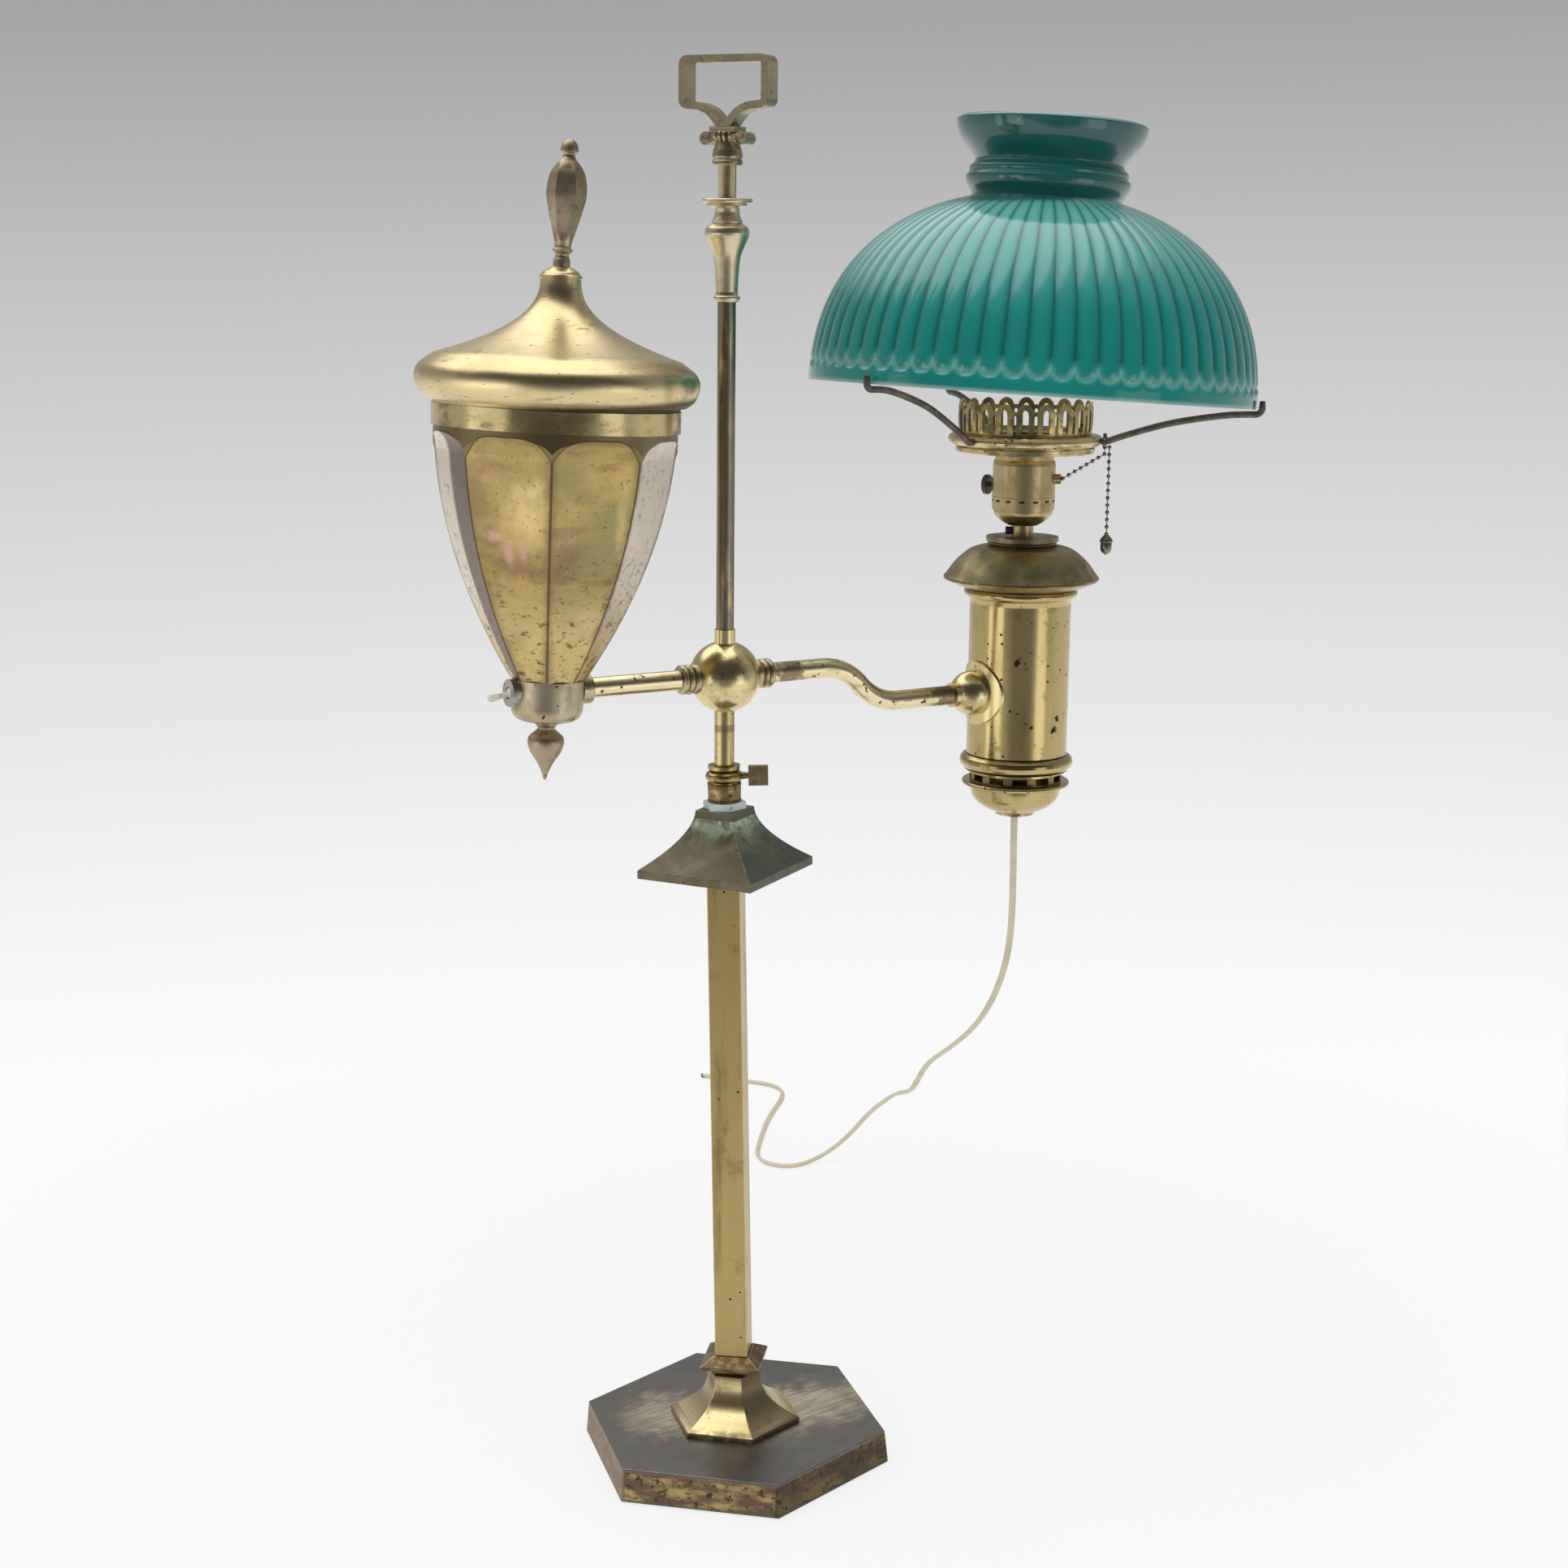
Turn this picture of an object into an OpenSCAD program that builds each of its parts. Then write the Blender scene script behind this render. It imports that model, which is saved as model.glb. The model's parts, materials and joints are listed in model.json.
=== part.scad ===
// Student lamp: hexagonal base, square stem, a post that slides and swings,
// an eight-sided font on one arm and a burner with an electric socket on the other.
// Origin: centre of the base, on the table. +Z up, +X towards the burner.

/* [Base] */
// Centre to corner of the base, at the table
base_r = 90.5; // [80:0.5:110]
// How far each top corner sits inside the bottom one
base_draft = 2; // [0:0.5:5]
// Height of the base, felt included
base_h = 20; // [15:0.5:30]
// Wall of the base's cast shell
base_wall = 1.6; // [1.2:0.1:3]
// Thickness of the felt
felt_t = 1.6; // [1.2:0.1:3]
// Height of the shell's lower edge above the table
felt_lift = 0.8; // [0.4:0.1:1]
// Turn of the base's corners from the arms
base_turn = -44; // [-90:1:90]
// Shank diameter of the bolt that clamps base, foot and stem
bolt_d = 6.4; // [5:0.1:8]

/* [Foot and stem] */
// Centre to corner of the flared foot, at its plinth
foot_r = 38.5; // [30:0.5:45]
// Centre to corner of the flared foot, at its top
foot_top_r = 16; // [14:0.5:18]
// Height of the flared foot
foot_h = 30.5; // [24:0.5:40]
// Height of the foot's plinth
plinth_h = 3; // [2:0.5:6]
// How sharply the foot sweeps out to its plinth
foot_sweep = 3.1; // [1.2:0.1:4]
// Width of the square step under the foot collar's lip
step_w = 22.5; // [21.5:0.5:26]
// Height of that step
step_h = 4.5; // [3:0.5:8]
// Width of the foot collar at its lip
lip_w = 34; // [28:0.5:40]
// Height of the lip and the slope above it
lip_h = 6; // [4:0.5:10]
// Width of the square stem
stem_w = 18.5; // [17.5:0.5:20]
// Wall of the stem
stem_wall = 1.2; // [0.8:0.1:1.4]
// Length of the stem
stem_len = 323; // [240:1:380]
// Depth that the stem sits in the foot collar
stem_seat = 8; // [5:0.5:9]
// Turn of the stem's faces from the arms
stem_turn = -39; // [-90:1:90]
// Height of each plug in the stem's ends
plug_h = 14; // [8:1:20]

/* [Cap] */
// Width of the square cap at its lower lip
cap_w = 71; // [50:0.5:85]
// Width of the cap at its top
cap_top_w = 23.7; // [23:0.1:28]
// Height of the cap
cap_h = 36; // [26:0.5:45]
// Height of the cap's lip
cap_lip = 4.6; // [3:0.2:8]
// Wall of the cast cap
cap_wall = 2.2; // [1.5:0.1:2.4]
// Thickness of the cap's top plate
cap_plate = 5; // [2:0.5:5]
// Turn of the cap's faces from the arms
cap_turn = -59; // [-90:1:90]
// Height of the hexagonal nut
nut_h = 4; // [4:0.5:9]
// Centre to corner of the nut
nut_r = 12; // [11:0.5:14]
// Height of the knurled ferrule
ferrule_h = 10.8; // [9:0.2:16]
// Diameter of the knurled ferrule
ferrule_d = 18.4; // [18:0.2:21]

/* [Clamp] */
// Diameter of the collar's round bead
collar_bead_d = 20.6; // [20:0.2:24]
// Height of the collar below the thumbscrew's axis
collar_low = 3.3; // [3:0.1:5]
// Height of the collar above the thumbscrew's axis
collar_high = 6.2; // [5:0.1:9]
// Length of the spigot that turns in the ferrule
spigot_len = 5; // [3:0.5:6]
// Shank diameter of the thumbscrew
thumb_d = 4; // [3:0.1:4.6]
// Side of the thumbscrew's spade head
spade_w = 10.8; // [8:0.2:12]
// Thickness of the spade head
spade_t = 4; // [2.4:0.2:4]
// Distance from the post's axis to the spade head
spade_at = 13.2; // [12.4:0.2:16]
// Direction of the thumbscrew
thumb_turn = -29; // [-180:1:180]

/* [Post, ball and rod] */
// Lean of the post towards the burner, as the worn clamp holds it
post_lean = 1.4; // [0:0.1:1.6]
// Diameter of the sliding post
post_d = 11; // [9.8:0.2:11.2]
// Wall of the post
post_wall = 1.2; // [0.8:0.1:2]
// Length of post hidden in the stand, below the thumbscrew
post_in = 88; // [60:1:90]
// Height of the ball's centre above the thumbscrew
ball_rise = 55; // [48:0.5:70]
// Diameter of the ball
ball_d = 39; // [34:0.2:41]
// Half size of the ball's middle, where the tubes stop
ball_core = 6.2; // [6:0.1:8]
// Diameter of the neck on the ball
ball_neck_d = 11.6; // [11:0.2:14]
// Height of that neck above the ball's centre
ball_neck_h = 26; // [22:0.5:32]
// Diameter of the upper rod
rod_d = 9.7; // [8:0.1:10.4]
// Wall of the upper rod
rod_wall = 1.2; // [0.8:0.1:1.6]
// Height of the rod's top above the ball's centre
rod_top = 276; // [240:1:320]
// Height of the baluster's foot above the ball's centre
baluster_at = 200; // [120:1:210]
// Height of the baluster
baluster_h = 53; // [40:1:60]
// Greatest diameter of the baluster's bulb
baluster_d = 23.4; // [18:0.2:30]
// Diameter of the baluster's top disc
disc_d = 26.8; // [20:0.2:34]

/* [Handle] */
// Outer width of the handle's loop
handle_w = 51.6; // [42:0.2:64]
// Outer height of the loop, from its shoulders
handle_h = 25; // [20:0.5:40]
// Thickness of the handle's band
band_t = 3.9; // [2.6:0.1:4.4]
// Depth of the handle's band
band_d = 12; // [8:0.5:15]
// Turn of the handle from the arms
handle_turn = -56; // [-90:1:90]

/* [Arms] */
// Diameter of both arm tubes
arm_d = 11; // [9.6:0.2:11.4]
// Wall of the arm tubes
arm_wall = 1.2; // [0.8:0.1:2]
// Post axis to the font's axis
font_x = 106; // [96:1:130]
// Lean of the font towards the post, on its worn stud
font_lean = 2.6; // [0:0.1:3]
// Post axis to the burner's axis
burner_x = 195.5; // [180:0.5:230]
// Post axis to the start of the arm's bend
bend_start = 62; // [45:1:70]
// Radius of each half of the bend
bend_r = 33; // [26:1:36]
// Height that the arm drops in its bend
burner_drop = 22; // [14:0.5:28]
// Diameter of the rings beside the ball
ring_d = 16.2; // [14:0.2:20]
// Length of the rings beside the ball
ring_len = 10.5; // [8:0.5:18]
// Diameter of the wire pair inside the arms
lead_d = 3.2; // [2:0.2:4]

/* [Font] */
// Diameter of the round cup under the font
cup_d = 37.8; // [34:0.2:44]
// Height of the cup's rim above the arm's axis
cup_top = 6.8; // [6.6:0.1:10]
// Height of the cup
cup_h = 22; // [19:0.5:28]
// Wall of the cup and font sheet
sheet = 1.2; // [0.8:0.1:1.6]
// Height of the font body above the cup
body_h = 141; // [115:1:170]
// Centre to ridge of the font at its foot
body_foot_r = 19.5; // [17.5:0.5:21]
// Centre to ridge of the font at its shoulder
body_shoulder_r = 61.7; // [52:0.1:66]
// Radius of the round top of the font
body_top_r = 62.6; // [61:0.1:72]
// How full the font's sides are, 1 straight
body_bulge = 1.75; // [1.2:0.05:1.9]
// Height of the arched shoulder, round part included
shoulder_h = 24; // [18:0.5:32]
// Direction of a ridge of the font
font_turn = 18; // [-22:1:22]
// Height of the font's band
band_h = 11; // [8:0.5:16]
// Thickness of the band
band_wall = 1.3; // [0.8:0.1:2]
// Length of the drop finial
drop_len = 31; // [22:0.5:40]
// Greatest diameter of the drop finial
drop_d = 19.2; // [15:0.1:24]
// Diameter of the stud that holds cup and font
stud_d = 4; // [3:0.1:5]

/* [Toggle switch] */
// Diameter of the toggle's round nut
toggle_nut_d = 14.4; // [12:0.2:18]
// Thickness of that nut outside the cup
toggle_nut_t = 3.6; // [3:0.1:5]
// Bore of the toggle's bushing
toggle_bore_d = 6.4; // [6:0.1:7.2]
// Length of the bat lever from its pivot
bat_len = 14; // [12:0.5:22]
// Diameter of the bat lever's end
bat_d = 4.2; // [3:0.1:5]
// Rest angle of the lever below the axis
bat_rest = 12; // [6:0.5:14]

/* [Lid] */
// How far the lid's rim stands out past the font's round top
lid_over = 10.4; // [9:0.2:16]
// Height of the lid's rolled rim
lid_rim_h = 25; // [18:0.5:32]
// Height of the lid's ogee above the rim
lid_crown_h = 39; // [28:0.5:55]
// Diameter of the lid's top flange
lid_flange_d = 21; // [16:0.2:28]
// Wall of the spun lid
lid_wall = 1.1; // [0.8:0.1:1.6]
// Length of the lid's finial above the flange
finial_len = 63.5; // [50:0.5:85]
// Greatest diameter of the finial's spindle
finial_d = 21.2; // [16:0.2:24]
// Lean of the finial on its stud
finial_lean = 2.4; // [0:0.1:2.6]

/* [Burner] */
// Diameter of the burner tube
burner_d = 58.4; // [52:0.2:66]
// Wall of the burner's sheet parts
burner_wall = 1.2; // [0.8:0.1:1.6]
// Length of tube below the burner arm's axis
tube_low = 37; // [32:0.5:50]
// Length of tube above the burner arm's axis
tube_high = 51; // [40:0.5:70]
// Height of the flared collar on the tube
flare_h = 8; // [5:0.5:12]
// Diameter of that flare
flare_d = 65.6; // [62:0.2:72]
// Diameter of the domed drip cap
drip_cap_d = 89.4; // [78:0.2:100]
// Height of the drip cap
drip_cap_h = 25; // [20:0.5:34]
// Diameter of the disc on the drip cap
cap_disc_d = 41.6; // [34:0.2:52]
// Thickness of that disc and its ring
cap_disc_h = 5; // [4:0.2:8]
// Diameter of the bead below the tube
bead_d = 66; // [62:0.2:74]
// Height of the bead
bead_h = 11; // [8:0.5:15]
// Height of the air slots
air_h = 5.5; // [4:0.5:9]
// Number of air slots
air_slots = 12; // [6:2:16]
// Diameter of the drip cup's lip
drip_cup_d = 62.8; // [58:0.2:70]
// Height of the drip cup
drip_cup_h = 20.5; // [16:0.5:28]
// Diameter of the foot disc under the drip cup
drip_foot_d = 22.4; // [18:0.2:28]
// Diameter of the threaded pipe through the burner
pipe_d = 9.7; // [9:0.1:10.4]
// Diameter of the boss's ball
boss_ball_d = 26; // [22:0.2:32]
// Diameter of the boss's disc
boss_disc_d = 36.8; // [32:0.2:42]

/* [Socket] */
// Diameter of the neck under the socket
neck_d = 12.6; // [11.6:0.1:15]
// Height of that neck
neck_h = 6.5; // [5.4:0.1:10]
// Height of the socket's rounded cap
socket_cap_h = 9.2; // [7:0.2:13]
// Diameter of the socket shell
socket_d = 35.8; // [34:0.1:40]
// Height of the socket shell
socket_h = 28.4; // [26:0.2:36]
// Height of the shell's drawn-in top collar
socket_lip_h = 4.2; // [3:0.2:6]
// Wall of the socket's metal
socket_wall = 0.7; // [0.5:0.1:0.9]
// Inside diameter of the bulb's screw shell
screw_d = 26.5; // [26.3:0.1:27]
// Length of the screw shell
screw_len = 22; // [18:0.5:24]
// Diameter of the turn knob
knob_d = 11.4; // [9:0.2:14]
// Direction of the turn knob
knob_turn = 121; // [90:1:160]

/* [Gallery, shade arms and shade] */
// Diameter of the gallery plate
plate_d = 88; // [84:0.5:100]
// Thickness of the gallery plate's upper disc
plate_t = 6; // [5:0.2:9]
// Outside diameter of the chimney gallery
gallery_d = 76.6; // [70:0.2:80]
// Height of the chimney gallery
gallery_h = 18.5; // [14:0.5:26]
// Sheet of the chimney gallery
gallery_wall = 0.9; // [0.7:0.1:1.4]
// Number of tall loops round the gallery
gallery_loops = 20; // [12:2:24]
// Diameter of the shade's wire arms
wire_d = 3.8; // [3:0.1:4.4]
// Height of the upturned wire ends
hook_h = 8; // [5:0.5:14]
// Direction of the first shade arm
shade_turn = -44; // [-60:1:-30]
// Diameter of the shade
shade_d = 254; // [220:1:280]
// Height of the shade's dome
dome_h = 112; // [90:1:135]
// Height of the neck above the dome's full height
shade_neck_h = 39; // [30:0.5:55]
// Least diameter of the shade's neck
shade_neck_d = 83.5; // [78:0.5:92]
// Diameter of the shade's top rim
shade_top_d = 107.5; // [98:0.5:120]
// Wall of the cased glass
glass = 3.6; // [2.8:0.1:4.5]
// Number of ribs round the shade's dome
shade_ribs = 62; // [40:2:80]
// Depth of the lines between the ribs
rib_depth = 1.5; // [0.5:0.1:2]
// Height of the plain band under the ribs
rim_band = 9; // [6:0.5:20]
// Height of the shade's rim above the gallery plate
shade_rise = 22.5; // [18:0.5:40]
// Tilt of the shade on its arms
shade_tilt = 4.1; // [0:0.1:4.2]
// Direction towards which the shade tilts
tilt_turn = 7; // [-20:1:30]
// How far the shade sits off the burner's axis
shade_shift = 2.6; // [0:0.1:2.8]
// Direction of that offset
shift_turn = -30; // [-60:1:0]

/* [Pull chain] */
// Diameter of a bead
ball_chain_d = 2.4; // [1.8:0.1:2.8]
// Distance from bead to bead
chain_pitch = 4.1; // [3.4:0.1:5]
// Number of hanging beads
drop_beads = 12; // [6:1:16]
// Length of the acorn on the chain's end
acorn_len = 12; // [9:0.5:16]
// Diameter of the acorn
acorn_d = 7.6; // [6:0.1:10]

/* [Cord] */
// Width of the flat twin lead
cord_w = 4.6; // [3.6:0.1:5.4]
// Thickness of the flat twin lead
cord_t = 2.8; // [2.2:0.1:3.6]

/* [Clearances] */
// Radial room of a fixed fit
seat_gap = 0.05; // [0.03:0.01:0.12]
// Radial room of a turning or sliding fit
run_gap = 0.08; // [0.05:0.01:0.1]
// Room between parts that pass each other
pass_gap = 0.3; // [0.25:0.05:0.5]

/* [Hidden] */
$fn = 96;

// Colours, as the lamp shows them
brass = [0.66, 0.53, 0.25];
dark_brass = [0.42, 0.34, 0.19];
bronze = [0.33, 0.31, 0.25];
base_brown = [0.27, 0.23, 0.19];
iron = [0.30, 0.30, 0.30];
wire_dark = [0.27, 0.25, 0.23];
green_glass = [0.03, 0.36, 0.32];
cream = [0.88, 0.84, 0.70];
white_bat = [0.86, 0.85, 0.80];
porcelain = [0.92, 0.92, 0.90];
card = [0.55, 0.45, 0.33];
felt_green = [0.10, 0.22, 0.14];
black_fibre = [0.10, 0.09, 0.08];

// Overshoot of a cut past the face that it opens
cut = 1;

// Radii
bolt_r = bolt_d / 2;
post_r = post_d / 2;
rod_r = rod_d / 2;
ball_r = ball_d / 2;
arm_r = arm_d / 2;
arm_bore_r = arm_r - arm_wall;
cup_r = cup_d / 2;
stud_r = stud_d / 2;
burner_r = burner_d / 2;
pipe_r = pipe_d / 2;
pipe_bore_r = pipe_r - 1.3;
socket_r = socket_d / 2;
socket_lip_r = socket_r - 1.2;
screw_r = screw_d / 2;
screw_wall = 0.5;
liner_wall = 0.8;
plate_r = plate_d / 2;
gallery_r = gallery_d / 2;
wire_r = wire_d / 2;
shade_r = shade_d / 2;
bead_r = ball_chain_d / 2;
link_r = bead_r * 0.3;
thumb_r = thumb_d / 2;
stem_in = stem_w / 2 - stem_wall;
felt_r = base_r - 2 * base_wall;

// Heights of the stand
foot_top = base_h + foot_h;
collar_foot = foot_top + step_h;
collar_top = collar_foot + lip_h;
stem_z = collar_top - stem_seat;
stem_top = stem_z + stem_len;
cap_top = stem_top + cap_plate;
cap_z = cap_top - cap_h;
nut_top = cap_top + nut_h;
ferrule_top = nut_top + ferrule_h;
pivot_z = ferrule_top + collar_low;

// Bores that the leaning post passes on its way down
function lean_room(z) = (pivot_z - z) * tan(post_lean);
nipple_z = stem_top - plug_h;
nipple_top = ferrule_top - spigot_len - pass_gap;
nipple_bore_r = post_r + lean_room(nipple_z) + pass_gap;
nipple_r = nipple_bore_r + 1.2;
spigot_bore_r = post_r + run_gap;
spigot_r = spigot_bore_r + lean_room(ferrule_top - spigot_len) + 1.2;
head_depth = 6;
head_r = 8;
bolt_top = stem_z + plug_h - 2;

// The arm's bend and the burner's heights above the ball's centre
bend_angle = acos(1 - burner_drop / (2 * bend_r));
bend_end = bend_start + 2 * bend_r * sin(bend_angle);
tube_z = -burner_drop - tube_low;
tube_top = -burner_drop + tube_high;
flare_top = tube_top + flare_h;
drip_cap_top = flare_top + drip_cap_h;
disc_top = drip_cap_top + cap_disc_h;
neck_top = disc_top + neck_h;
shell_z = neck_top + socket_cap_h;
shell_top = shell_z + socket_h;
seat_z = shell_top + socket_lip_h;
plate_flange_h = 3;
plate_groove_h = 1.2;
plate_z = seat_z + plate_flange_h + plate_groove_h;
plate_top = plate_z + plate_t;
wire_z = plate_z + plate_t / 2;
shade_z = plate_top + shade_rise;
bead_z = tube_z - bead_h;
air_z = bead_z - air_h;
cup_z = air_z - drip_cup_h;
cord_exit_z = cup_z - 1.2;

// The font's heights above the ball's centre
cup_bottom = cup_top - cup_h;
body_top = cup_top + body_h;
shoulder_z = body_top - shoulder_h;
lid_rim_top = body_top + lid_rim_h;
lid_top = lid_rim_top + lid_crown_h;
lid_flange_h = 6;
flange_top = lid_top + lid_flange_h;
toggle_pivot = cup_r - sheet - 1 + toggle_bore_d / 2 + pass_gap;

// Shade seat: the wire opposite the tilt stands highest, and one wire is bent aside
function wire_turn(k) = shade_turn + [0, 120, 236.5][k];
hook_bend_r = wire_r + 1.8;

// The free cord's route past the bush, on and above the table
cord_route = [
  [194, 0, 318], [195, 2, 288], [198, 11, 257], [205, 40, 220], [217, 79, 192], [232, 123, 167],
  [246, 163, 146], [254, 187, 131], [260, 207, 110], [269, 230, 98], [279, 258, 88], [288, 290, 70],
  [296, 324, 49], [298, 344, 31], [293, 359, 15], [283, 367, 5], [273, 368, 2.4],
  [262, 364, 2.4], [248, 368, 2.4], [240, 383, 2.4], [243, 398, 2.4], [252, 412, 2.4], [262, 426, 2.4],
  [274, 442, 2.4], [288, 460, 2.4], [304, 478, 2.4], [322, 496, 2.4], [336, 514, 2.4],
  [335, 533, 2.4], [323, 549, 2.4], [310, 566, 2.4], [297, 584, 2.4]];

// A smooth open curve through points, with steps between each two
function spline(p, steps) = [
  for (i = [0 : len(p) - 2], k = [0 : steps - 1])
    curve_point(p[max(i - 1, 0)], p[i], p[i + 1], p[min(i + 2, len(p) - 1)], k / steps),
  p[len(p) - 1]];
function curve_point(a, b, c, d, t) =
  0.5 * (2 * b + (c - a) * t + (2 * a - 5 * b + 4 * c - d) * t * t
    + (3 * b - a - 3 * c + d) * t * t * t);
// A supple curve that starts and ends at its end points and bends gently past the others
function supple(p, steps) = let (n = len(p), q = concat([2 * p[0] - p[1]], p, [2 * p[n - 1] - p[n - 2]])) [
  for (i = [0 : n - 2], k = [0 : steps - 1]) supple_point(q[i], q[i + 1], q[i + 2], q[i + 3], k / steps),
  p[n - 1]];
function supple_point(a, b, c, d, t) =
  (pow(1 - t, 3) * a + (3 * t * t * t - 6 * t * t + 4) * b
    + (3 * t * t - 3 * t * t * t + 3 * t + 1) * c + t * t * t * d) / 6;
// An arc's points about a centre, from one angle to another
function arc(centre, r, from, to, steps) = [
  for (k = [0 : steps]) let (a = from + (to - from) * k / steps) centre + r * [cos(a), sin(a)]];
// A hollow sweep from a wide radius to a narrow one over a height
function flare(wide, narrow, z0, z1, power, steps) = [
  for (k = [0 : steps]) let (s = k / steps)
    [narrow + (wide - narrow) * pow(1 - s, power), z0 + (z1 - z0) * s]];
function unit(v) = v / norm(v);
function reversed(p) = [for (i = [len(p) - 1 : -1 : 0]) p[i]];
function mirrored(p) = concat(p, [for (q = reversed(p)) [-q[0], q[1]]]);
// The direction of a curve at its point i
function heading(p, i) = unit(p[min(i + 1, len(p) - 1)] - p[max(i - 1, 0)]);
// A curve moved sideways, to its left where w is positive
function beside(p, w) = [
  for (i = [0 : len(p) - 1]) let (t = heading(p, i)) p[i] + w * [-t[1], t[0]]];
// The outline of a band of even thickness along a curve
function band(p, t) = concat(beside(p, t / 2), reversed(beside(p, -t / 2)));

// A straight tube
module tube(h, r, bore) {
  difference() {
    cylinder(h = h, r = r);
    translate([0, 0, -cut]) cylinder(h = h + 2 * cut, r = bore);
  }
}
// A turned solid from its half outline
module turned(p) {
  rotate_extrude() polygon(p);
}
// A many-sided solid whose faces all follow one half outline
module vault(sides, p, reach) {
  intersection_for (i = [0 : sides / 2 - 1])
    rotate([0, 0, i * 360 / sides])
      rotate([90, 0, 0])
        linear_extrude(2 * reach, center = true) polygon(mirrored(p));
}
// Turns what points up to point along +X
module along_x() {
  rotate([0, 90, 0]) children();
}
// The leaning post's frame, with the ball's centre at its origin
module on_post() {
  translate([0, 0, pivot_z]) rotate([0, post_lean, 0]) translate([0, 0, ball_rise]) children();
}
module at_font() {
  on_post() translate([-font_x, 0, 0]) rotate([0, font_lean, 0]) children();
}
module at_burner() {
  on_post() translate([burner_x, 0, 0]) children();
}
module at_shade() {
  at_burner() translate([shade_shift * cos(shift_turn), shade_shift * sin(shift_turn), shade_z])
    rotate([0, 0, tilt_turn]) rotate([0, shade_tilt, 0]) rotate([0, 0, -tilt_turn]) children();
}

// The normals along a path, carried without twist
function carried(t, n, i = 0) =
  i >= len(t) ? [] : let (m = unit(n - (n * t[i]) * t[i])) concat([m], carried(t, m, i + 1));
// Rings of points of an oval section along a path
function rings(path, w, h, sides, start_normal) = let (
    t = [for (i = [0 : len(path) - 1]) heading(path, i)],
    n = carried(t, start_normal))
  [for (i = [0 : len(path) - 1], k = [0 : sides - 1]) let (a = 360 * k / sides)
    path[i] + w / 2 * cos(a) * n[i] + h / 2 * sin(a) * cross(t[i], n[i])];
// The skin between neighbouring rings, counted from a first point
function skin_faces(count, sides, first, inward) = [
  for (i = [0 : count - 2], k = [0 : sides - 1], half = [0, 1])
    let (m = (k + 1) % sides, a = first + i * sides, b = a + sides,
      f = half == 0 ? [a + k, b + k, b + m] : [a + k, b + m, a + m])
      inward ? reversed(f) : f];
// A solid of oval section along a path
module swept(path, w, h, sides, start_normal) {
  end = (len(path) - 1) * sides;
  end_faces = [
    for (k = [1 : sides - 2], far = [0, 1]) far == 0 ? [0, k, k + 1] : [end, end + k + 1, end + k]];
  polyhedron(rings(path, w, h, sides, start_normal),
    concat(skin_faces(len(path), sides, 0, false), end_faces));
}
// A round tube along a path
module swept_tube(path, r, bore, sides, start_normal) {
  end = (len(path) - 1) * sides;
  bore_at = end + sides;
  end_faces = [
    for (k = [0 : sides - 1], half = [0, 1], far = [0, 1])
      let (m = (k + 1) % sides, a = far * end, b = a + bore_at,
        f = half == 0 ? [a + k, a + m, b + m] : [a + k, b + m, b + k])
        far == 0 ? f : reversed(f)];
  polyhedron(
    concat(rings(path, 2 * r, 2 * r, sides, start_normal),
      rings(path, 2 * bore, 2 * bore, sides, start_normal)),
    concat(skin_faces(len(path), sides, 0, false), skin_faces(len(path), sides, bore_at, true), end_faces));
}

// Stand

module base_outline(inset, z0, z1) {
  rotate([0, 0, base_turn + 30])
    vault(6, [[(base_r - inset) * cos(30), z0], [(base_r - inset - base_draft) * cos(30), z1]], 2 * base_r);
}
module base_shell() {
  color(base_brown) difference() {
    base_outline(0, felt_lift, base_h);
    base_outline(base_wall, felt_lift - cut, base_h - base_wall);
    cylinder(h = base_h + cut, r = bolt_r + pass_gap);
  }
}
module base_weight() {
  color(iron) difference() {
    base_outline(base_wall + pass_gap, felt_t, base_h - base_wall);
    cylinder(h = base_h, r = bolt_r + pass_gap);
    translate([0, 0, felt_t - cut]) cylinder(h = head_depth + cut, r = head_r + pass_gap);
  }
}
module base_felt() {
  color(felt_green) rotate([0, 0, base_turn])
    linear_extrude(felt_t) circle(felt_r - pass_gap, $fn = 6);
}
module base_bolt() {
  color(iron) {
    translate([0, 0, felt_t]) cylinder(h = head_depth, r = head_r, $fn = 6);
    translate([0, 0, felt_t]) cylinder(h = bolt_top - felt_t, r = bolt_r);
  }
}
module foot_flare() {
  foot_in = cos(30);
  sweep = flare(foot_r * foot_in, foot_top_r * foot_in, base_h + plinth_h, foot_top, foot_sweep, 14);
  color(brass) difference() {
    rotate([0, 0, base_turn + 30])
      vault(6, concat([[foot_r * foot_in, base_h]], sweep), 2 * foot_r);
    cylinder(h = foot_top + cut, r = bolt_r + pass_gap);
  }
}
module foot_collar() {
  lip_edge = 1.6;
  slope_w = stem_w + 2;
  color(dark_brass) rotate([0, 0, stem_turn]) difference() {
    vault(4, [[step_w / 2, foot_top], [step_w / 2, collar_foot], [lip_w / 2, collar_foot],
      [lip_w / 2, collar_foot + lip_edge], [slope_w / 2, collar_top]], lip_w);
    translate([-stem_w / 2 - seat_gap, -stem_w / 2 - seat_gap, stem_z])
      cube([stem_w + 2 * seat_gap, stem_w + 2 * seat_gap, stem_seat + cut]);
    cylinder(h = collar_top, r = bolt_r + pass_gap);
  }
}
module square_bar(w, z0, z1) {
  translate([-w / 2, -w / 2, z0]) cube([w, w, z1 - z0]);
}
module stem_tube() {
  color(brass) rotate([0, 0, stem_turn]) difference() {
    square_bar(stem_w, stem_z, stem_top);
    square_bar(2 * stem_in, stem_z - cut, stem_top + cut);
  }
}
module stem_foot_plug() {
  color(iron) rotate([0, 0, stem_turn]) difference() {
    square_bar(2 * (stem_in - seat_gap), stem_z, stem_z + plug_h);
    cylinder(h = stem_top, r = bolt_r + seat_gap);
  }
}
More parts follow.
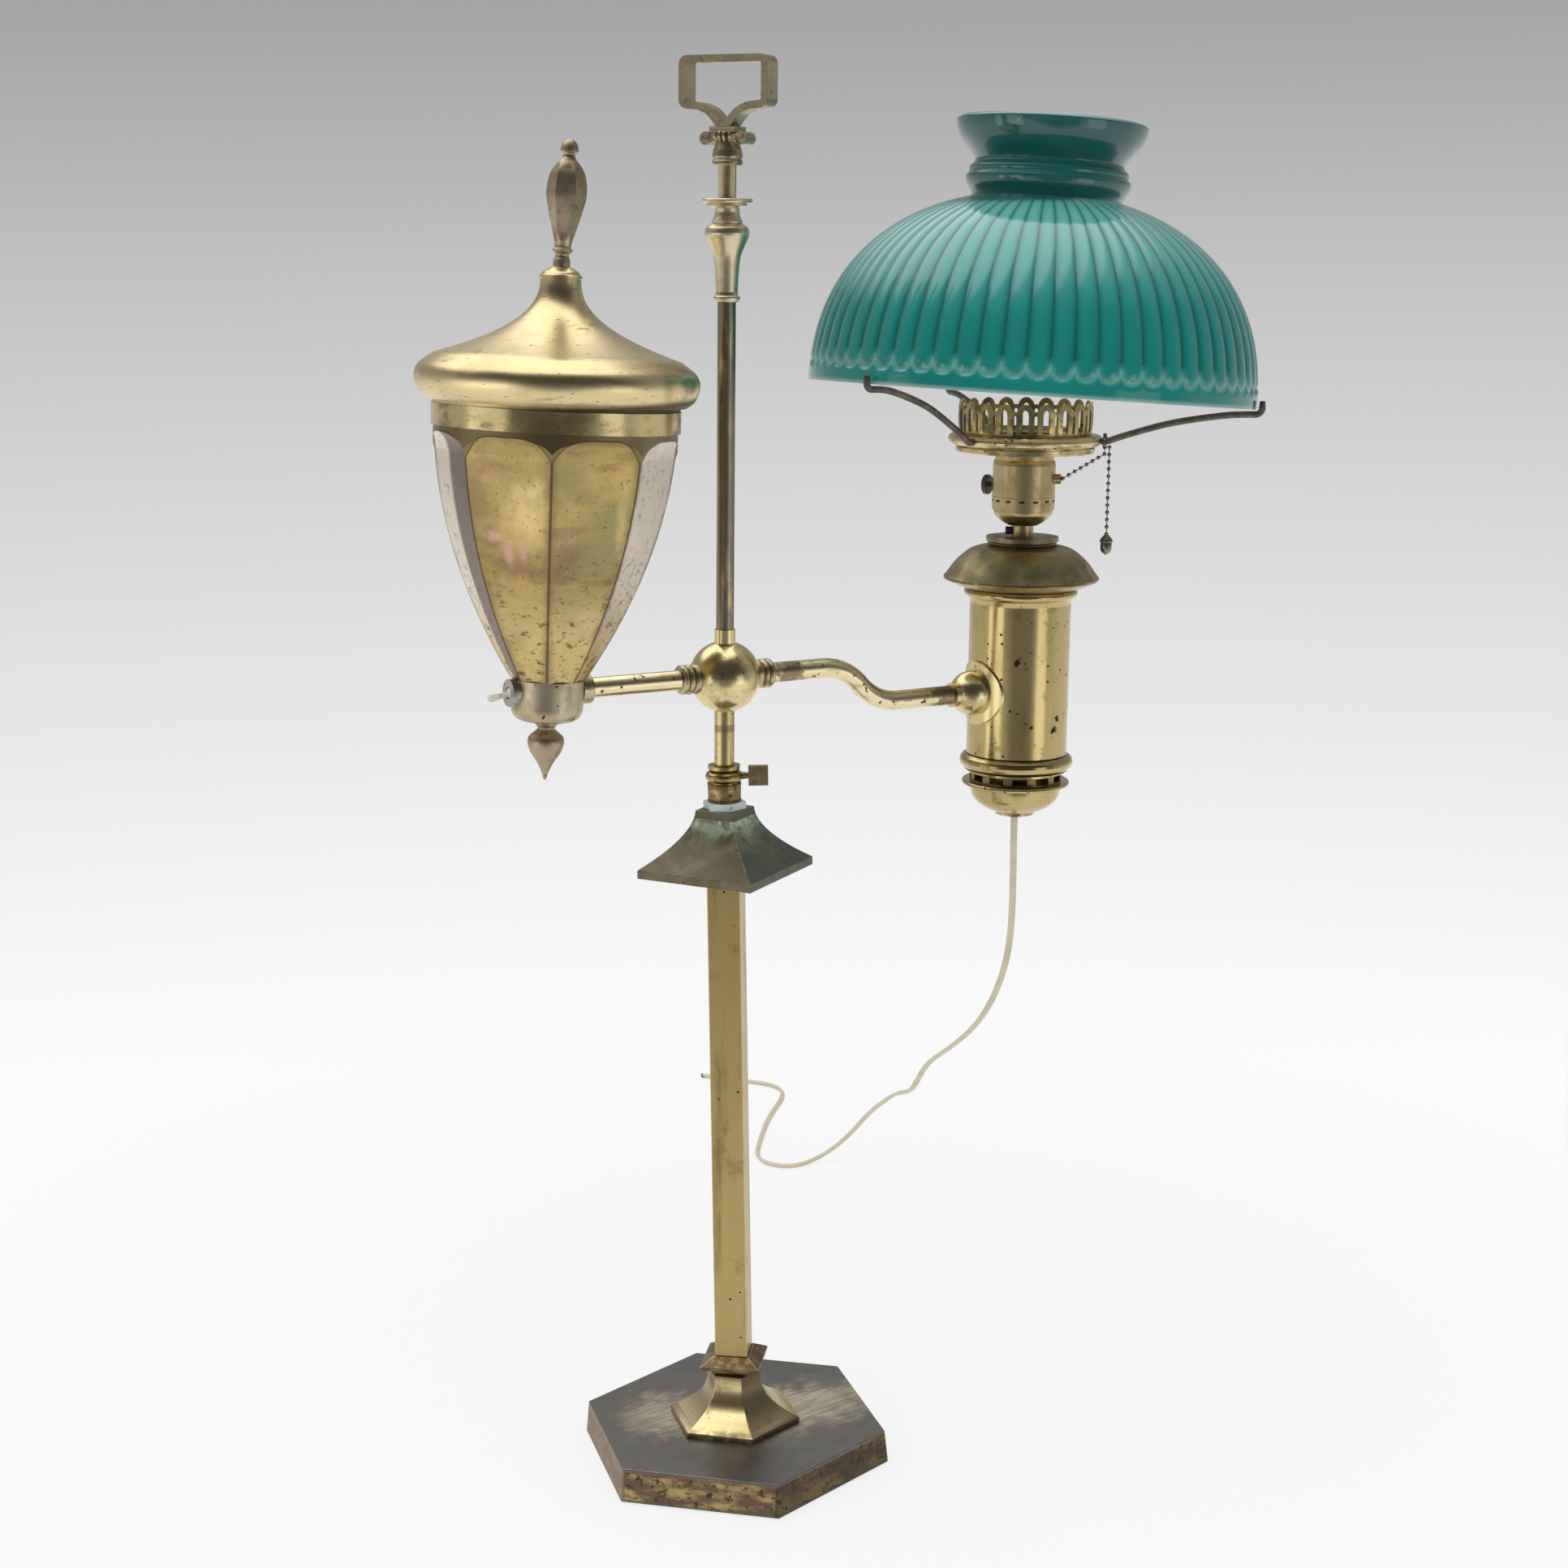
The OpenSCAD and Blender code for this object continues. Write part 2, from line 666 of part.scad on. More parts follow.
module stem_top_plug() {
  color(iron) rotate([0, 0, stem_turn]) difference() {
    square_bar(2 * (stem_in - seat_gap), stem_top - plug_h, stem_top);
    cylinder(h = stem_top + cut, r = nipple_r + seat_gap);
  }
}
module stem_cap() {
  hollow_w = cap_w - 2 * cap_wall;
  hollow_top_w = stem_w + 2 * pass_gap;
  color(bronze) rotate([0, 0, cap_turn]) difference() {
    vault(4, concat([[cap_w / 2, cap_z]],
      flare(cap_w / 2, cap_top_w / 2, cap_z + cap_lip, cap_top, 1.8, 12)), cap_w);
    vault(4, concat([[hollow_w / 2, cap_z - cut]],
      flare(hollow_w / 2, cap_top_w / 2 - cap_wall, cap_z + cap_lip - cap_wall, cap_top - cap_wall,
        1.8, 12)),
      cap_w);
    rotate([0, 0, stem_turn - cap_turn]) square_bar(hollow_top_w, cap_z, stem_top);
    cylinder(h = cap_top + cut, r = nipple_r + seat_gap);
  }
}
module cap_nipple() {
  color(dark_brass) translate([0, 0, nipple_z]) tube(nipple_top - nipple_z, nipple_r, nipple_bore_r);
}
module cap_nut() {
  color([0.62, 0.66, 0.66]) rotate([0, 0, stem_turn]) difference() {
    translate([0, 0, cap_top]) cylinder(h = nut_h, r = nut_r, $fn = 6);
    translate([0, 0, cap_top - cut]) cylinder(h = nut_h + 2 * cut, r = nipple_r + seat_gap);
  }
}
module knurled_ferrule() {
  color(dark_brass) difference() {
    translate([0, 0, nut_top]) cylinder(h = ferrule_h, r = ferrule_d / 2);
    translate([0, 0, nut_top - cut]) cylinder(h = ferrule_h + 2 * cut, r = nipple_r + seat_gap);
  }
}

// Clamp

module clamp_collar() {
  collar_bead_r = collar_bead_d / 2;
  ring_r = ferrule_d / 2 - 0.6;
  flange_edge = 2;
  low = ferrule_top;
  high = pivot_z + collar_high;
  spigot_z = ferrule_top - spigot_len;
  bead_half = collar_low - 0.4;
  color(brass) difference() {
    turned(concat(
      [[0, spigot_z], [spigot_r, spigot_z], [spigot_r, low], [ring_r, low], [ring_r, pivot_z - bead_half]],
      arc([collar_bead_r - bead_half, pivot_z], bead_half, -90, 90, 10),
      [[ring_r - 0.4, high - flange_edge - 0.4], [ring_r + 0.2, high - flange_edge],
        [ring_r + 0.2, high], [0, high]]));
    on_post() translate([0, 0, -ball_rise - spigot_len - collar_low - cut])
      cylinder(h = spigot_len + collar_low + collar_high + 3 * cut, r = spigot_bore_r);
    translate([0, 0, pivot_z]) rotate([0, 0, thumb_turn]) along_x()
      cylinder(h = collar_bead_r + cut, r = thumb_r + run_gap);
  }
}
module thumbscrew() {
  waist_at = collar_bead_d / 2 + pass_gap;
  tip_at = post_r + pass_gap + 0.1;
  color(dark_brass) translate([0, 0, pivot_z]) rotate([0, 0, thumb_turn]) along_x() {
    translate([0, 0, tip_at]) cylinder(h = waist_at - tip_at, r = thumb_r);
    translate([0, 0, waist_at]) cylinder(h = spade_at - waist_at, r1 = thumb_r, r2 = thumb_r * 0.8);
    translate([-spade_w / 2, -spade_t / 2, spade_at]) cube([spade_w, spade_t, spade_w]);
  }
}

// Post, ball, rod and handle

module post_tube() {
  foot = -ball_rise - post_in;
  color(brass) on_post() translate([0, 0, foot])
    tube(-ball_core - foot, post_r, post_r - post_wall);
}
module arm_ball() {
  color(brass) on_post() difference() {
    union() {
      sphere(ball_r);
      cylinder(h = ball_neck_h, r = ball_neck_d / 2);
    }
    translate([0, 0, -ball_r - cut]) cylinder(h = ball_r + cut - ball_core, r = post_r + seat_gap);
    translate([0, 0, ball_core]) cylinder(h = ball_neck_h, r = rod_r + seat_gap);
    for (side = [0, 180]) rotate([0, 0, side]) {
      translate([ball_core, 0, 0]) along_x() cylinder(h = ball_r, r = arm_r + seat_gap);
      along_x() cylinder(h = ball_core + cut, r = arm_bore_r);
    }
  }
}
module upper_rod() {
  color(dark_brass) on_post() translate([0, 0, ball_core])
    tube(rod_top - ball_core, rod_r, rod_r - rod_wall);
}
module rod_baluster() {
  h = baluster_h;
  r = baluster_d / 2;
  bore = rod_r + seat_gap;
  disc_r = disc_d / 2;
  body = spline([[bore + 0.9, 0.095 * h], [bore + 1.4, 0.267 * h], [bore + 2.4, 0.44 * h],
    [0.8 * r, 0.543 * h], [r, 0.647 * h], [0.95 * r, 0.716 * h], [0.77 * r, 0.75 * h]], 4);
  color(brass) on_post() translate([0, 0, baluster_at])
    turned(concat([[bore, 0], [bore + 1.2, 0]], arc([bore + 0.7, 0.036 * h], 1.5, -60, 70, 6),
      body, arc([bore + 2.2, 0.776 * h], 1.1, -50, 60, 4),
      [[bore + 1.9, 0.83 * h], [bore + 1.7, 0.87 * h], [bore + 1.8, 0.905 * h]],
      [[0.79 * disc_r, 0.93 * h], [0.79 * disc_r, 0.955 * h], [0.97 * disc_r, 0.962 * h],
        [disc_r, 0.975 * h], [disc_r, 0.99 * h], [0.97 * disc_r, h], [bore, h]]));
}
// Half of the handle's band: down from the top's middle, in and across, and out under a curl
eye_r = 3.4;
eye_x = 10;
eye_drop = 18;
eye_sink = 0.4;
function handle_half() = let (
    x = (handle_w - band_t) / 2,
    top = handle_h - band_t / 2,
    corner = band_t / 2 + 0.65)
  concat([[0, top]], arc([x - corner, top - corner], corner, 90, 0, 5),
    arc([x - corner, corner], corner, 0, -70, 4),
    spline([[0.6 * x, -0.6], [0.38 * x, -2.9], [0.22 * x, -6.4], [0.1 * x, -10], [-0.02 * x, -13],
      [-0.18 * x, -16.2], [-eye_x, -eye_drop]], 5));
module carry_handle() {
  neck_z = rod_top - 6;
  neck_h = 11.6;
  bead = rod_r + 3.2;
  waist = rod_r + 0.5;
  shoulder_at = neck_z + 30.5;
  saddle_w = 14.6;
  saddle_drop = 12.4;
  saddle_h = 2.8;
  color(dark_brass) on_post() difference() {
    union() {
      translate([0, 0, shoulder_at]) rotate([0, 0, handle_turn]) rotate([90, 0, 0])
        linear_extrude(band_d, center = true) {
          polygon(band(handle_half(), band_t));
          mirror([1, 0]) polygon(band(handle_half(), band_t));
          for (side = [-1, 1])
            translate([side * eye_x, eye_r - band_t / 2 - eye_drop - eye_sink]) circle(eye_r);
        }
      translate([0, 0, shoulder_at - saddle_drop]) rotate([0, 0, handle_turn])
        cube([saddle_w, band_d + 1, saddle_h], center = true);
      translate([0, 0, neck_z]) turned(concat(
        [[0, 0], [bead - 0.7, 0], [bead, 0.7], [bead, 2.1], [bead - 0.6, 2.8], [bead - 0.6, 3.2]],
        spline([[bead - 0.2, 3.6], [bead, 4.4], [bead - 0.1, 5.4], [bead - 0.5, 7.4], [bead - 1.2, 9.4],
          [bead - 1.9, neck_h], [waist, neck_h + 3]], 3),
        [[waist, neck_h + 7], [0, neck_h + 7]]));
    }
    translate([0, 0, neck_z - cut]) cylinder(h = rod_top - neck_z + cut, r = rod_r + seat_gap);
  }
}

// Arms

// The burner arm's centre line, from one distance to another
function burner_line(from, to) = let (
    fall = arc([bend_start, -bend_r], bend_r, 90, 90 - bend_angle, 8),
    rise = arc([bend_end, bend_r - burner_drop], bend_r, 270 - bend_angle, 270, 8))
  concat([[from, 0, 0]], [for (p = fall) [p[0], 0, p[1]]], [for (k = [1 : 8]) [rise[k][0], 0, rise[k][1]]],
    [[to, 0, -burner_drop]]);
boss_face = burner_x - burner_r - 2.4;
arm_end = burner_x - burner_r - seat_gap;
module burner_arm() {
  color(brass) on_post() swept_tube(burner_line(ball_core, arm_end), arm_r, arm_bore_r, 28, [0, 1, 0]);
}
cup_arm_depth = 4;
module font_arm() {
  length = font_x - cup_r + cup_arm_depth - ball_core;
  color(brass) on_post() rotate([0, 0, 180]) translate([ball_core, 0, 0]) along_x()
    tube(length, arm_r, arm_bore_r);
}
// Distance along an arm at which a radius meets the ball
function ball_face(r) = sqrt(pow(ball_r + seat_gap, 2) - r * r);
module arm_rings() {
  inner = arm_r + seat_gap;
  outer = ring_d / 2;
  bead = ring_len / 6;
  from = ball_face(outer);
  color(dark_brass) on_post() for (side = [0, 180]) rotate([0, 0, side]) along_x() turned(concat(
    [for (k = [0 : 3]) let (r = inner + (outer - 0.2 - inner) * k / 3) [r, ball_face(r)]],
    arc([outer - bead, from + bead], bead, -10, 80, 5),
    arc([outer - bead, from + 3 * bead], bead, -80, 80, 8),
    arc([outer - bead, from + 5 * bead], bead, -80, 80, 8),
    [[inner, from + ring_len]]));
}
module font_arm_flange() {
  flange_r = arm_r + 2.4;
  flange_len = 6;
  color(dark_brass) on_post() difference() {
    translate([-font_x + cup_r - 1, 0, 0]) along_x() tube(flange_len, flange_r, arm_r + seat_gap);
    translate([-font_x, 0, 0]) rotate([0, font_lean, 0]) translate([0, 0, cup_bottom])
      cylinder(h = 2 * cup_h, r = cup_r + seat_gap);
  }
}
module burner_boss() {
  collar_len = 3.5;
  ball_at = boss_face - 1;
  color(brass) on_post() translate([0, 0, -burner_drop]) difference() {
    union() {
      intersection() {
        translate([boss_face, 0, 0]) along_x() cylinder(h = burner_r, r = boss_disc_d / 2);
        translate([burner_x, 0, -boss_disc_d]) cylinder(h = 2 * boss_disc_d, r = burner_r + 1.7);
      }
      intersection() {
        translate([ball_at, 0, 0]) sphere(boss_ball_d / 2);
        translate([ball_at - boss_ball_d, -boss_ball_d, -boss_ball_d]) cube(2 * boss_ball_d);
      }
      translate([ball_at - boss_ball_d / 2 - 1.5, 0, 0]) along_x()
        cylinder(h = collar_len + 2, r = arm_r + 1.6);
    }
    translate([burner_x, 0, -boss_disc_d]) cylinder(h = 2 * boss_disc_d, r = burner_r + seat_gap);
    translate([burner_x, -boss_disc_d, -boss_disc_d]) cube(2 * boss_disc_d);
    translate([bend_end, 0, 0]) along_x() cylinder(h = burner_x - bend_end, r = arm_r + seat_gap);
  }
}
module switch_leads() {
  color(cream) on_post()
    swept(burner_line(toggle_pivot - font_x + 14, burner_x - pipe_r - 2 * seat_gap), lead_d, lead_d, 10,
      [0, 1, 0]);
}

// Font

module font_cup() {
  round = 7;
  inner = cup_r - sheet;
  color(dark_brass) at_font() difference() {
    turned(concat([[0, cup_bottom]], arc([cup_r - round, cup_bottom + round], round, -90, 0, 8),
      [[cup_r, cup_top], [0, cup_top]]));
    turned(concat([[0, cup_bottom + sheet]],
      arc([cup_r - round, cup_bottom + round], round - sheet, -90, 0, 8),
      [[inner, cup_top + cut], [0, cup_top + cut]]));
    rotate([0, -font_lean, 0]) along_x() cylinder(h = cup_r + cut, r = arm_r + seat_gap);
    rotate([0, 0, 180]) along_x() cylinder(h = cup_r + cut, r = toggle_bore_d / 2 + 1.2 + seat_gap);
    translate([0, 0, cup_bottom - cut]) cylinder(h = 2 * cut + sheet, r = stud_r + seat_gap);
  }
}
stud_top = cup_top + sheet + 6;
module font_stud() {
  nut_t = 3.2;
  color(iron) at_font() {
    translate([0, 0, cup_bottom - 6]) cylinder(h = stud_top - cup_bottom + 6, r = stud_r);
    translate([0, 0, cup_top + sheet]) cylinder(h = nut_t, r = 2 * stud_r, $fn = 6);
  }
}
module font_drop() {
  r = drop_d / 2;
  z = cup_bottom;
  color(dark_brass) at_font() difference() {
    turned(concat([[0, z - drop_len - 1], [0.5, z - drop_len]],
      spline([[0.8, z - drop_len], [0.24 * r, z - 0.85 * drop_len], [0.52 * r, z - 0.69 * drop_len],
        [0.84 * r, z - 0.54 * drop_len], [r, z - 0.385 * drop_len], [0.92 * r, z - 0.27 * drop_len],
        [0.5 * r, z - 0.15 * drop_len], [0.52 * r, z - 0.1 * drop_len]], 4),
      [[0.63 * r, z - 0.06 * drop_len], [0.63 * r, z], [0, z]]));
    translate([0, 0, z - 6 - seat_gap]) cylinder(h = 6 + cut, r = stud_r + seat_gap);
  }
}
// The ridge line's radius, from the cup up to the shoulder
function ridge_r(s) =
  body_foot_r + (body_shoulder_r - body_foot_r) * (body_bulge * s + (1 - body_bulge) * s * s);
// Half outline of a panel: it swings out to the round top and leaves an arch there
function panel(inset, foot) = let (
    half = cos(22.5),
    sides = [for (k = [0 : 14]) let (s = k / 14)
      [half * ridge_r(s) - inset, cup_top + (shoulder_z - cup_top) * s]],
    edge = sides[14][0],
    wide = body_top_r + 2)
  concat([[sides[0][0], foot]], [for (k = [1 : 14]) sides[k]],
    spline([[edge, shoulder_z], [edge + 0.28 * (wide - edge), shoulder_z + 0.25 * shoulder_h],
      [edge + 0.7 * (wide - edge), shoulder_z + 0.4 * shoulder_h], [wide, shoulder_z + 0.5 * shoulder_h]], 4),
    [[wide, body_top + cut]]);
module body_solid(inset, foot, top) {
  intersection() {
    rotate([0, 0, font_turn + 22.5]) vault(8, panel(inset, foot), 2 * body_top_r);
    turned([[0, foot], [body_foot_r + 6 - inset, foot], [body_top_r - inset, shoulder_z - shoulder_h],
      [body_top_r - inset, top], [0, top]]);
  }
}
module font_body() {
  color(brass) at_font() difference() {
    body_solid(0, cup_top, body_top);
    body_solid(sheet, cup_top + sheet, body_top + cut / 2);
    translate([0, 0, cup_top - cut]) cylinder(h = 2 * cut + sheet, r = stud_r + seat_gap);
  }
}
module font_band() {
  color(brass) at_font() translate([0, 0, body_top - band_h])
    tube(band_h, body_top_r + seat_gap + band_wall, body_top_r + seat_gap);
}

// Toggle switch: the lever's pivot lies in the bushing

toggle_pin_r = 0.9;
toggle_pin_len = toggle_bore_d / 2 + 1;
module toggle_bushing() {
  bore = toggle_bore_d / 2;
  inside = cup_r - sheet - 1;
  color([0.78, 0.77, 0.72]) at_font() rotate([0, 0, 180]) difference() {
    union() {
      translate([inside, 0, 0]) along_x() cylinder(h = cup_r - inside + toggle_nut_t, r = bore + 1.2);
      difference() {
        translate([cup_r - 2, 0, 0]) along_x() cylinder(h = toggle_nut_t + 2, r = toggle_nut_d / 2);
        translate([0, 0, cup_bottom]) cylinder(h = 2 * cup_h, r = cup_r + seat_gap);
      }
    }
    translate([inside - cut, 0, 0]) along_x() cylinder(h = cup_h, r = bore);
    translate([toggle_pivot, 0, 0]) rotate([90, 0, 0])
      cylinder(h = 2 * (toggle_pin_len + pass_gap), r = toggle_pin_r + run_gap, center = true);
  }
}
module toggle_body() {
  depth = 10;
  half_w = 5.6;
  half_h = 4.6;
  front = cup_r - sheet - 1;
  color(black_fibre) at_font() rotate([0, 0, 180])
    translate([front - depth, -half_w, -half_h]) cube([depth, 2 * half_w, 2 * half_h]);
}
module toggle_lever() {
  bore = toggle_bore_d / 2;
  color(white_bat) at_font() translate([-toggle_pivot, 0, 0]) rotate([0, 0, 180]) rotate([0, bat_rest, 0]) {
    sphere(bore - run_gap);
    rotate([90, 0, 0]) cylinder(h = 2 * toggle_pin_len, r = toggle_pin_r, center = true);
    along_x() turned(concat([[0, 0], [0.62 * bat_d / 2, 0], [0.66 * bat_d / 2, 0.4 * bat_len]],
      arc([0, bat_len - bat_d / 2], bat_d / 2, 20, 90, 6)));
  }
}

// Lid

module lid_dome() {
  r = body_top_r + lid_over;
  seat_r = body_top_r + seat_gap + band_wall - 0.6;
  skirt_r = body_top_r - sheet - 1.4;
  skirt_len = 4;
  z = body_top;
  under = [[seat_r, z], [seat_r, z + 1.6], [seat_r + 3, z + 2]];
  roll = spline([[seat_r + 3, z + 2], [r - 2.4, z + 0.22 * lid_rim_h], [r, z + 0.5 * lid_rim_h],
    [r - 2, z + 0.76 * lid_rim_h], [r - 10, lid_rim_top]], 5);
  crown = flare(r - 10, lid_flange_d / 2, lid_rim_top, lid_top, 2.4, 14);
  skin = concat(roll, [for (k = [1 : 14]) crown[k]]);
  flange_r = lid_flange_d / 2;
  color(brass) at_font() turned(concat(
    [[skirt_r - lid_wall, z - skirt_len], [skirt_r, z - skirt_len], [skirt_r, z]], under,
    [for (k = [1 : len(skin) - 1]) skin[k]],
    [[flange_r + 0.5, lid_top + 0.3], [flange_r + 0.5, lid_top + 1.7]],
    spline([[flange_r - 0.4, lid_top + 2.1], [0.86 * flange_r, lid_top + 3.6], [0.66 * flange_r, lid_top + 5],
      [0.47 * flange_r, flange_top]], 3),
    [[stud_r + pass_gap, flange_top], [stud_r + pass_gap, lid_top - lid_wall]],
    reversed(beside(skin, lid_wall)),
    [[skirt_r - lid_wall, z + 2 + lid_wall]]));
}
module lid_finial() {
  r = finial_d / 2;
  foot = 4.4;
  len = finial_len;
  stud = 8;
  seat = flange_top + foot * sin(finial_lean);
  color(dark_brass) at_font() translate([0, 0, seat]) rotate([0, finial_lean, 0]) {
    translate([0, 0, -stud]) cylinder(h = stud + cut, r = stud_r - 0.1);
    turned(concat([[0, 0], [foot, 0]],
      spline([[4.3, 0.05 * len], [3.5, 0.09 * len], [5.3, 0.126 * len], [4.2, 0.16 * len],
        [0.59 * r, 0.28 * len], [0.82 * r, 0.415 * len], [0.99 * r, 0.54 * len], [r, 0.6 * len],
        [0.97 * r, 0.66 * len], [0.83 * r, 0.74 * len], [0.56 * r, 0.806 * len], [3.9, 0.835 * len],
        [3.1, 0.872 * len]], 4),
      arc([0, 0.93 * len], 0.07 * len, -44, 90, 8)));
  }
}

// Burner

module burner_tube() {
  r = burner_r;
  flare_r = flare_d / 2;
  ledge_r = r - 4;
  color(brass) at_burner() difference() {
    turned(concat([[r - burner_wall, tube_z], [r, tube_z], [r, tube_top]],
      spline([[r, tube_top], [r + 0.9, tube_top + 0.35 * flare_h], [flare_r - 0.5, tube_top + 0.55 * flare_h],
        [flare_r, tube_top + 0.8 * flare_h], [flare_r - 1, flare_top]], 4),
      [[ledge_r, flare_top], [ledge_r, flare_top - burner_wall], [flare_r - 2.4, flare_top - burner_wall],
        [r - burner_wall, tube_top]]));
    translate([0, 0, -burner_drop]) rotate([0, 0, 180]) along_x() cylinder(h = r + cut, r = arm_bore_r);
  }
}
module drip_cap() {
  r = drip_cap_d / 2;
  z = flare_top;
  h = drip_cap_h;
  wall = burner_wall;
  top_r = cap_disc_d / 2;
  outer = concat(spline([[flare_d / 2 - 2, z], [0.85 * r, z + 0.1 * h], [r, z + 0.22 * h]], 4),
    spline([[r, z + 0.27 * h], [0.95 * r, z + 0.38 * h], [0.84 * r, z + 0.64 * h], [0.66 * r, z + 0.9 * h],
      [top_r, z + h]], 4));
  color(dark_brass) at_burner() turned(concat(
    [[burner_r - 4, z]], outer,
    [[pipe_r + seat_gap, z + h], [pipe_r + seat_gap, z + h - wall], [top_r - 1, z + h - wall],
      [0.63 * r, z + 0.9 * h - wall], [0.81 * r, z + 0.62 * h - wall], [0.9 * r, z + 0.34 * h - 0.4 * wall],
      [0.82 * r, z + 0.1 * h + wall], [burner_r - 4, z + wall]]));
}
module cap_disc() {
  r = cap_disc_d / 2;
  z = drip_cap_top;
  ring_h = cap_disc_h * 0.5;
  color(bronze) at_burner() difference() {
    turned(concat([[0, z]], arc([r - 1 - ring_h / 2, z + ring_h / 2], ring_h / 2, -90, 90, 6),
      [[r, z + ring_h], [r, disc_top], [0, disc_top]]));
    translate([0, 0, z - cut]) cylinder(h = cap_disc_h + 2 * cut, r = pipe_r + seat_gap);
  }
}
module burner_bead() {
  r = bead_d / 2;
  half = 0.4 * bead_h;
  step_r = burner_r + 1.2;
  inner = burner_r - 5;
  color(brass) at_burner() turned(concat(
    [[inner, bead_z], [step_r - 1.6, bead_z], [step_r - 1.6, bead_z + 1.5], [step_r, bead_z + 1.5]],
    arc([r - half, tube_z - half - 0.6], half, -90, 90, 10),
    [[burner_r - burner_wall, tube_z], [inner, tube_z]]));
}
air_r = burner_r - 2.5;
module air_ring() {
  slot_w = 2 * PI * air_r / air_slots * 0.62;
  rib = 0.9;
  color(dark_brass) at_burner() difference() {
    translate([0, 0, air_z]) tube(air_h, air_r, air_r - 1.6);
    for (k = [0 : air_slots / 2 - 1]) rotate([0, 0, k * 360 / air_slots])
      translate([-burner_r, -slot_w / 2, air_z + rib]) cube([2 * burner_r, slot_w, air_h - 2 * rib]);
  }
}
module drip_cup() {
  r = drip_cup_d / 2;
  z = cup_z;
  h = drip_cup_h;
  lip = 2.6;
  foot_r = drip_foot_d / 2;
  bowl = spline([[foot_r + 0.6, z + 0.08 * h], [0.56 * r, z + 0.19 * h], [0.71 * r, z + 0.35 * h],
    [0.8 * r, z + 0.52 * h], [0.83 * r, z + 0.7 * h], [0.84 * r, z + h - lip]], 4);
  color(brass) at_burner() difference() {
    turned(concat([[0, z], [foot_r, z], [foot_r, z + 0.08 * h]], bowl, [[r - 1, z + h - lip]],
      arc([r - lip / 2, z + h - lip / 2], lip / 2, -90, 90, 6), [[0, z + h]]));
    turned(concat([[0, z + 4.2], [foot_r, z + 4.2]],
      [for (p = bowl) if (p[1] > z + 5) p - [burner_wall, -0.4]],
      [[0.84 * r - burner_wall, z + h + cut], [0, z + h + cut]]));
    translate([0, 0, z - cut]) cylinder(h = h, r = pipe_r + seat_gap);
  }
}
module burner_pipe() {
  color(dark_brass) at_burner() translate([0, 0, cup_z])
    tube(neck_top + 4 - cup_z, pipe_r, pipe_bore_r);
}
module cord_bush() {
  flange_r = pipe_r - 0.1;
  flange_t = cup_z - cord_exit_z;
  slot_w = cord_w + 2 * seat_gap;
  slot_t = cord_t + 2 * seat_gap;
  color(black_fibre) at_burner() difference() {
    union() {
      translate([0, 0, cord_exit_z]) cylinder(h = flange_t, r = flange_r);
      translate([0, 0, cup_z]) cylinder(h = 8, r = pipe_bore_r - seat_gap);
    }
    translate([-slot_w / 2, -slot_t / 2, cup_z]) cube([slot_w, slot_t, 20]);
  }
}

// Socket

module socket_neck() {
  color(brass) at_burner() difference() {
    translate([0, 0, disc_top]) tube(neck_h, neck_d / 2, pipe_r + seat_gap);
    screw_place() cylinder(h = neck_d, r = neck_screw_r + seat_gap);
  }
}
neck_screw_r = 1.4;
neck_screw_turn = 151;
module screw_place() {
  translate([0, 0, disc_top + neck_h / 2]) rotate([0, 0, neck_screw_turn]) along_x() children();
}
module neck_screw() {
  color(black_fibre) at_burner() screw_place() {
    translate([0, 0, pipe_r + 2 * seat_gap]) cylinder(h = neck_d / 2 - pipe_r, r = neck_screw_r);
    translate([0, 0, neck_d / 2 + seat_gap]) cylinder(h = 3.4, r = 2.3);
  }
}
module socket_cap() {
  z = neck_top;
  h = socket_cap_h;
  outer = spline([[neck_d / 2 + 2, z], [0.72 * socket_r, z + 0.28 * h], [0.92 * socket_r, z + 0.68 * h],
    [socket_r - 1, z + h]], 5);
  color(brass) at_burner() difference() {
    turned(concat([[0, z]], outer, [[0, z + h]]));
    turned(concat([[0, z + 2], [neck_d / 2, z + 2]],
      [for (p = outer) if (p[1] > z + 3) p - [socket_wall, 0]],
      [[socket_r - 1 - socket_wall, z + h + cut], [0, z + h + cut]]));
    translate([0, 0, z - cut]) cylinder(h = h, r = pipe_r + seat_gap);
  }
}
knob_z = shell_z + 0.45 * socket_h;
chain_z = shell_z + 0.62 * socket_h;
knob_shaft_r = 1.4;
bell_len = 3.2;
bell_r = 2.9;
module side_hole(z, turn, r) {
  translate([0, 0, z]) rotate([0, 0, turn]) translate([screw_r + screw_wall, 0, 0]) along_x()
    cylinder(h = socket_r, r = r);
}
module socket_shell() {
  lip = socket_lip_r;
  color(brass) at_burner() difference() {
    union() {
      turned(concat([[0, shell_z], [socket_r, shell_z], [socket_r, shell_top - 3]],
        spline([[socket_r, shell_top - 3], [socket_r - 0.35, shell_top - 1.2], [lip, shell_top]], 4),
        [[lip, seat_z], [0, seat_z]]));
      translate([0, 0, chain_z]) rotate([0, 0, shade_turn]) along_x()
        cylinder(h = socket_r + bell_len, r = bell_r);
    }
    turned([[0, shell_z - cut], [socket_r - socket_wall, shell_z - cut],
      [socket_r - socket_wall, shell_top - 4],
      [lip - socket_wall, shell_top], [lip - socket_wall, seat_z + cut], [0, seat_z + cut]]);
    side_hole(knob_z, knob_turn, knob_shaft_r + run_gap);
    side_hole(chain_z, shade_turn, bell_r - 0.8);
  }
}
liner_r = socket_r - socket_wall - seat_gap;
module socket_liner() {
  color(card) at_burner() difference() {
    translate([0, 0, shell_z]) tube(socket_h - 5, liner_r, liner_r - liner_wall);
    side_hole(knob_z, knob_turn, knob_shaft_r + pass_gap);
    side_hole(chain_z, shade_turn, bell_r - 0.8);
  }
}
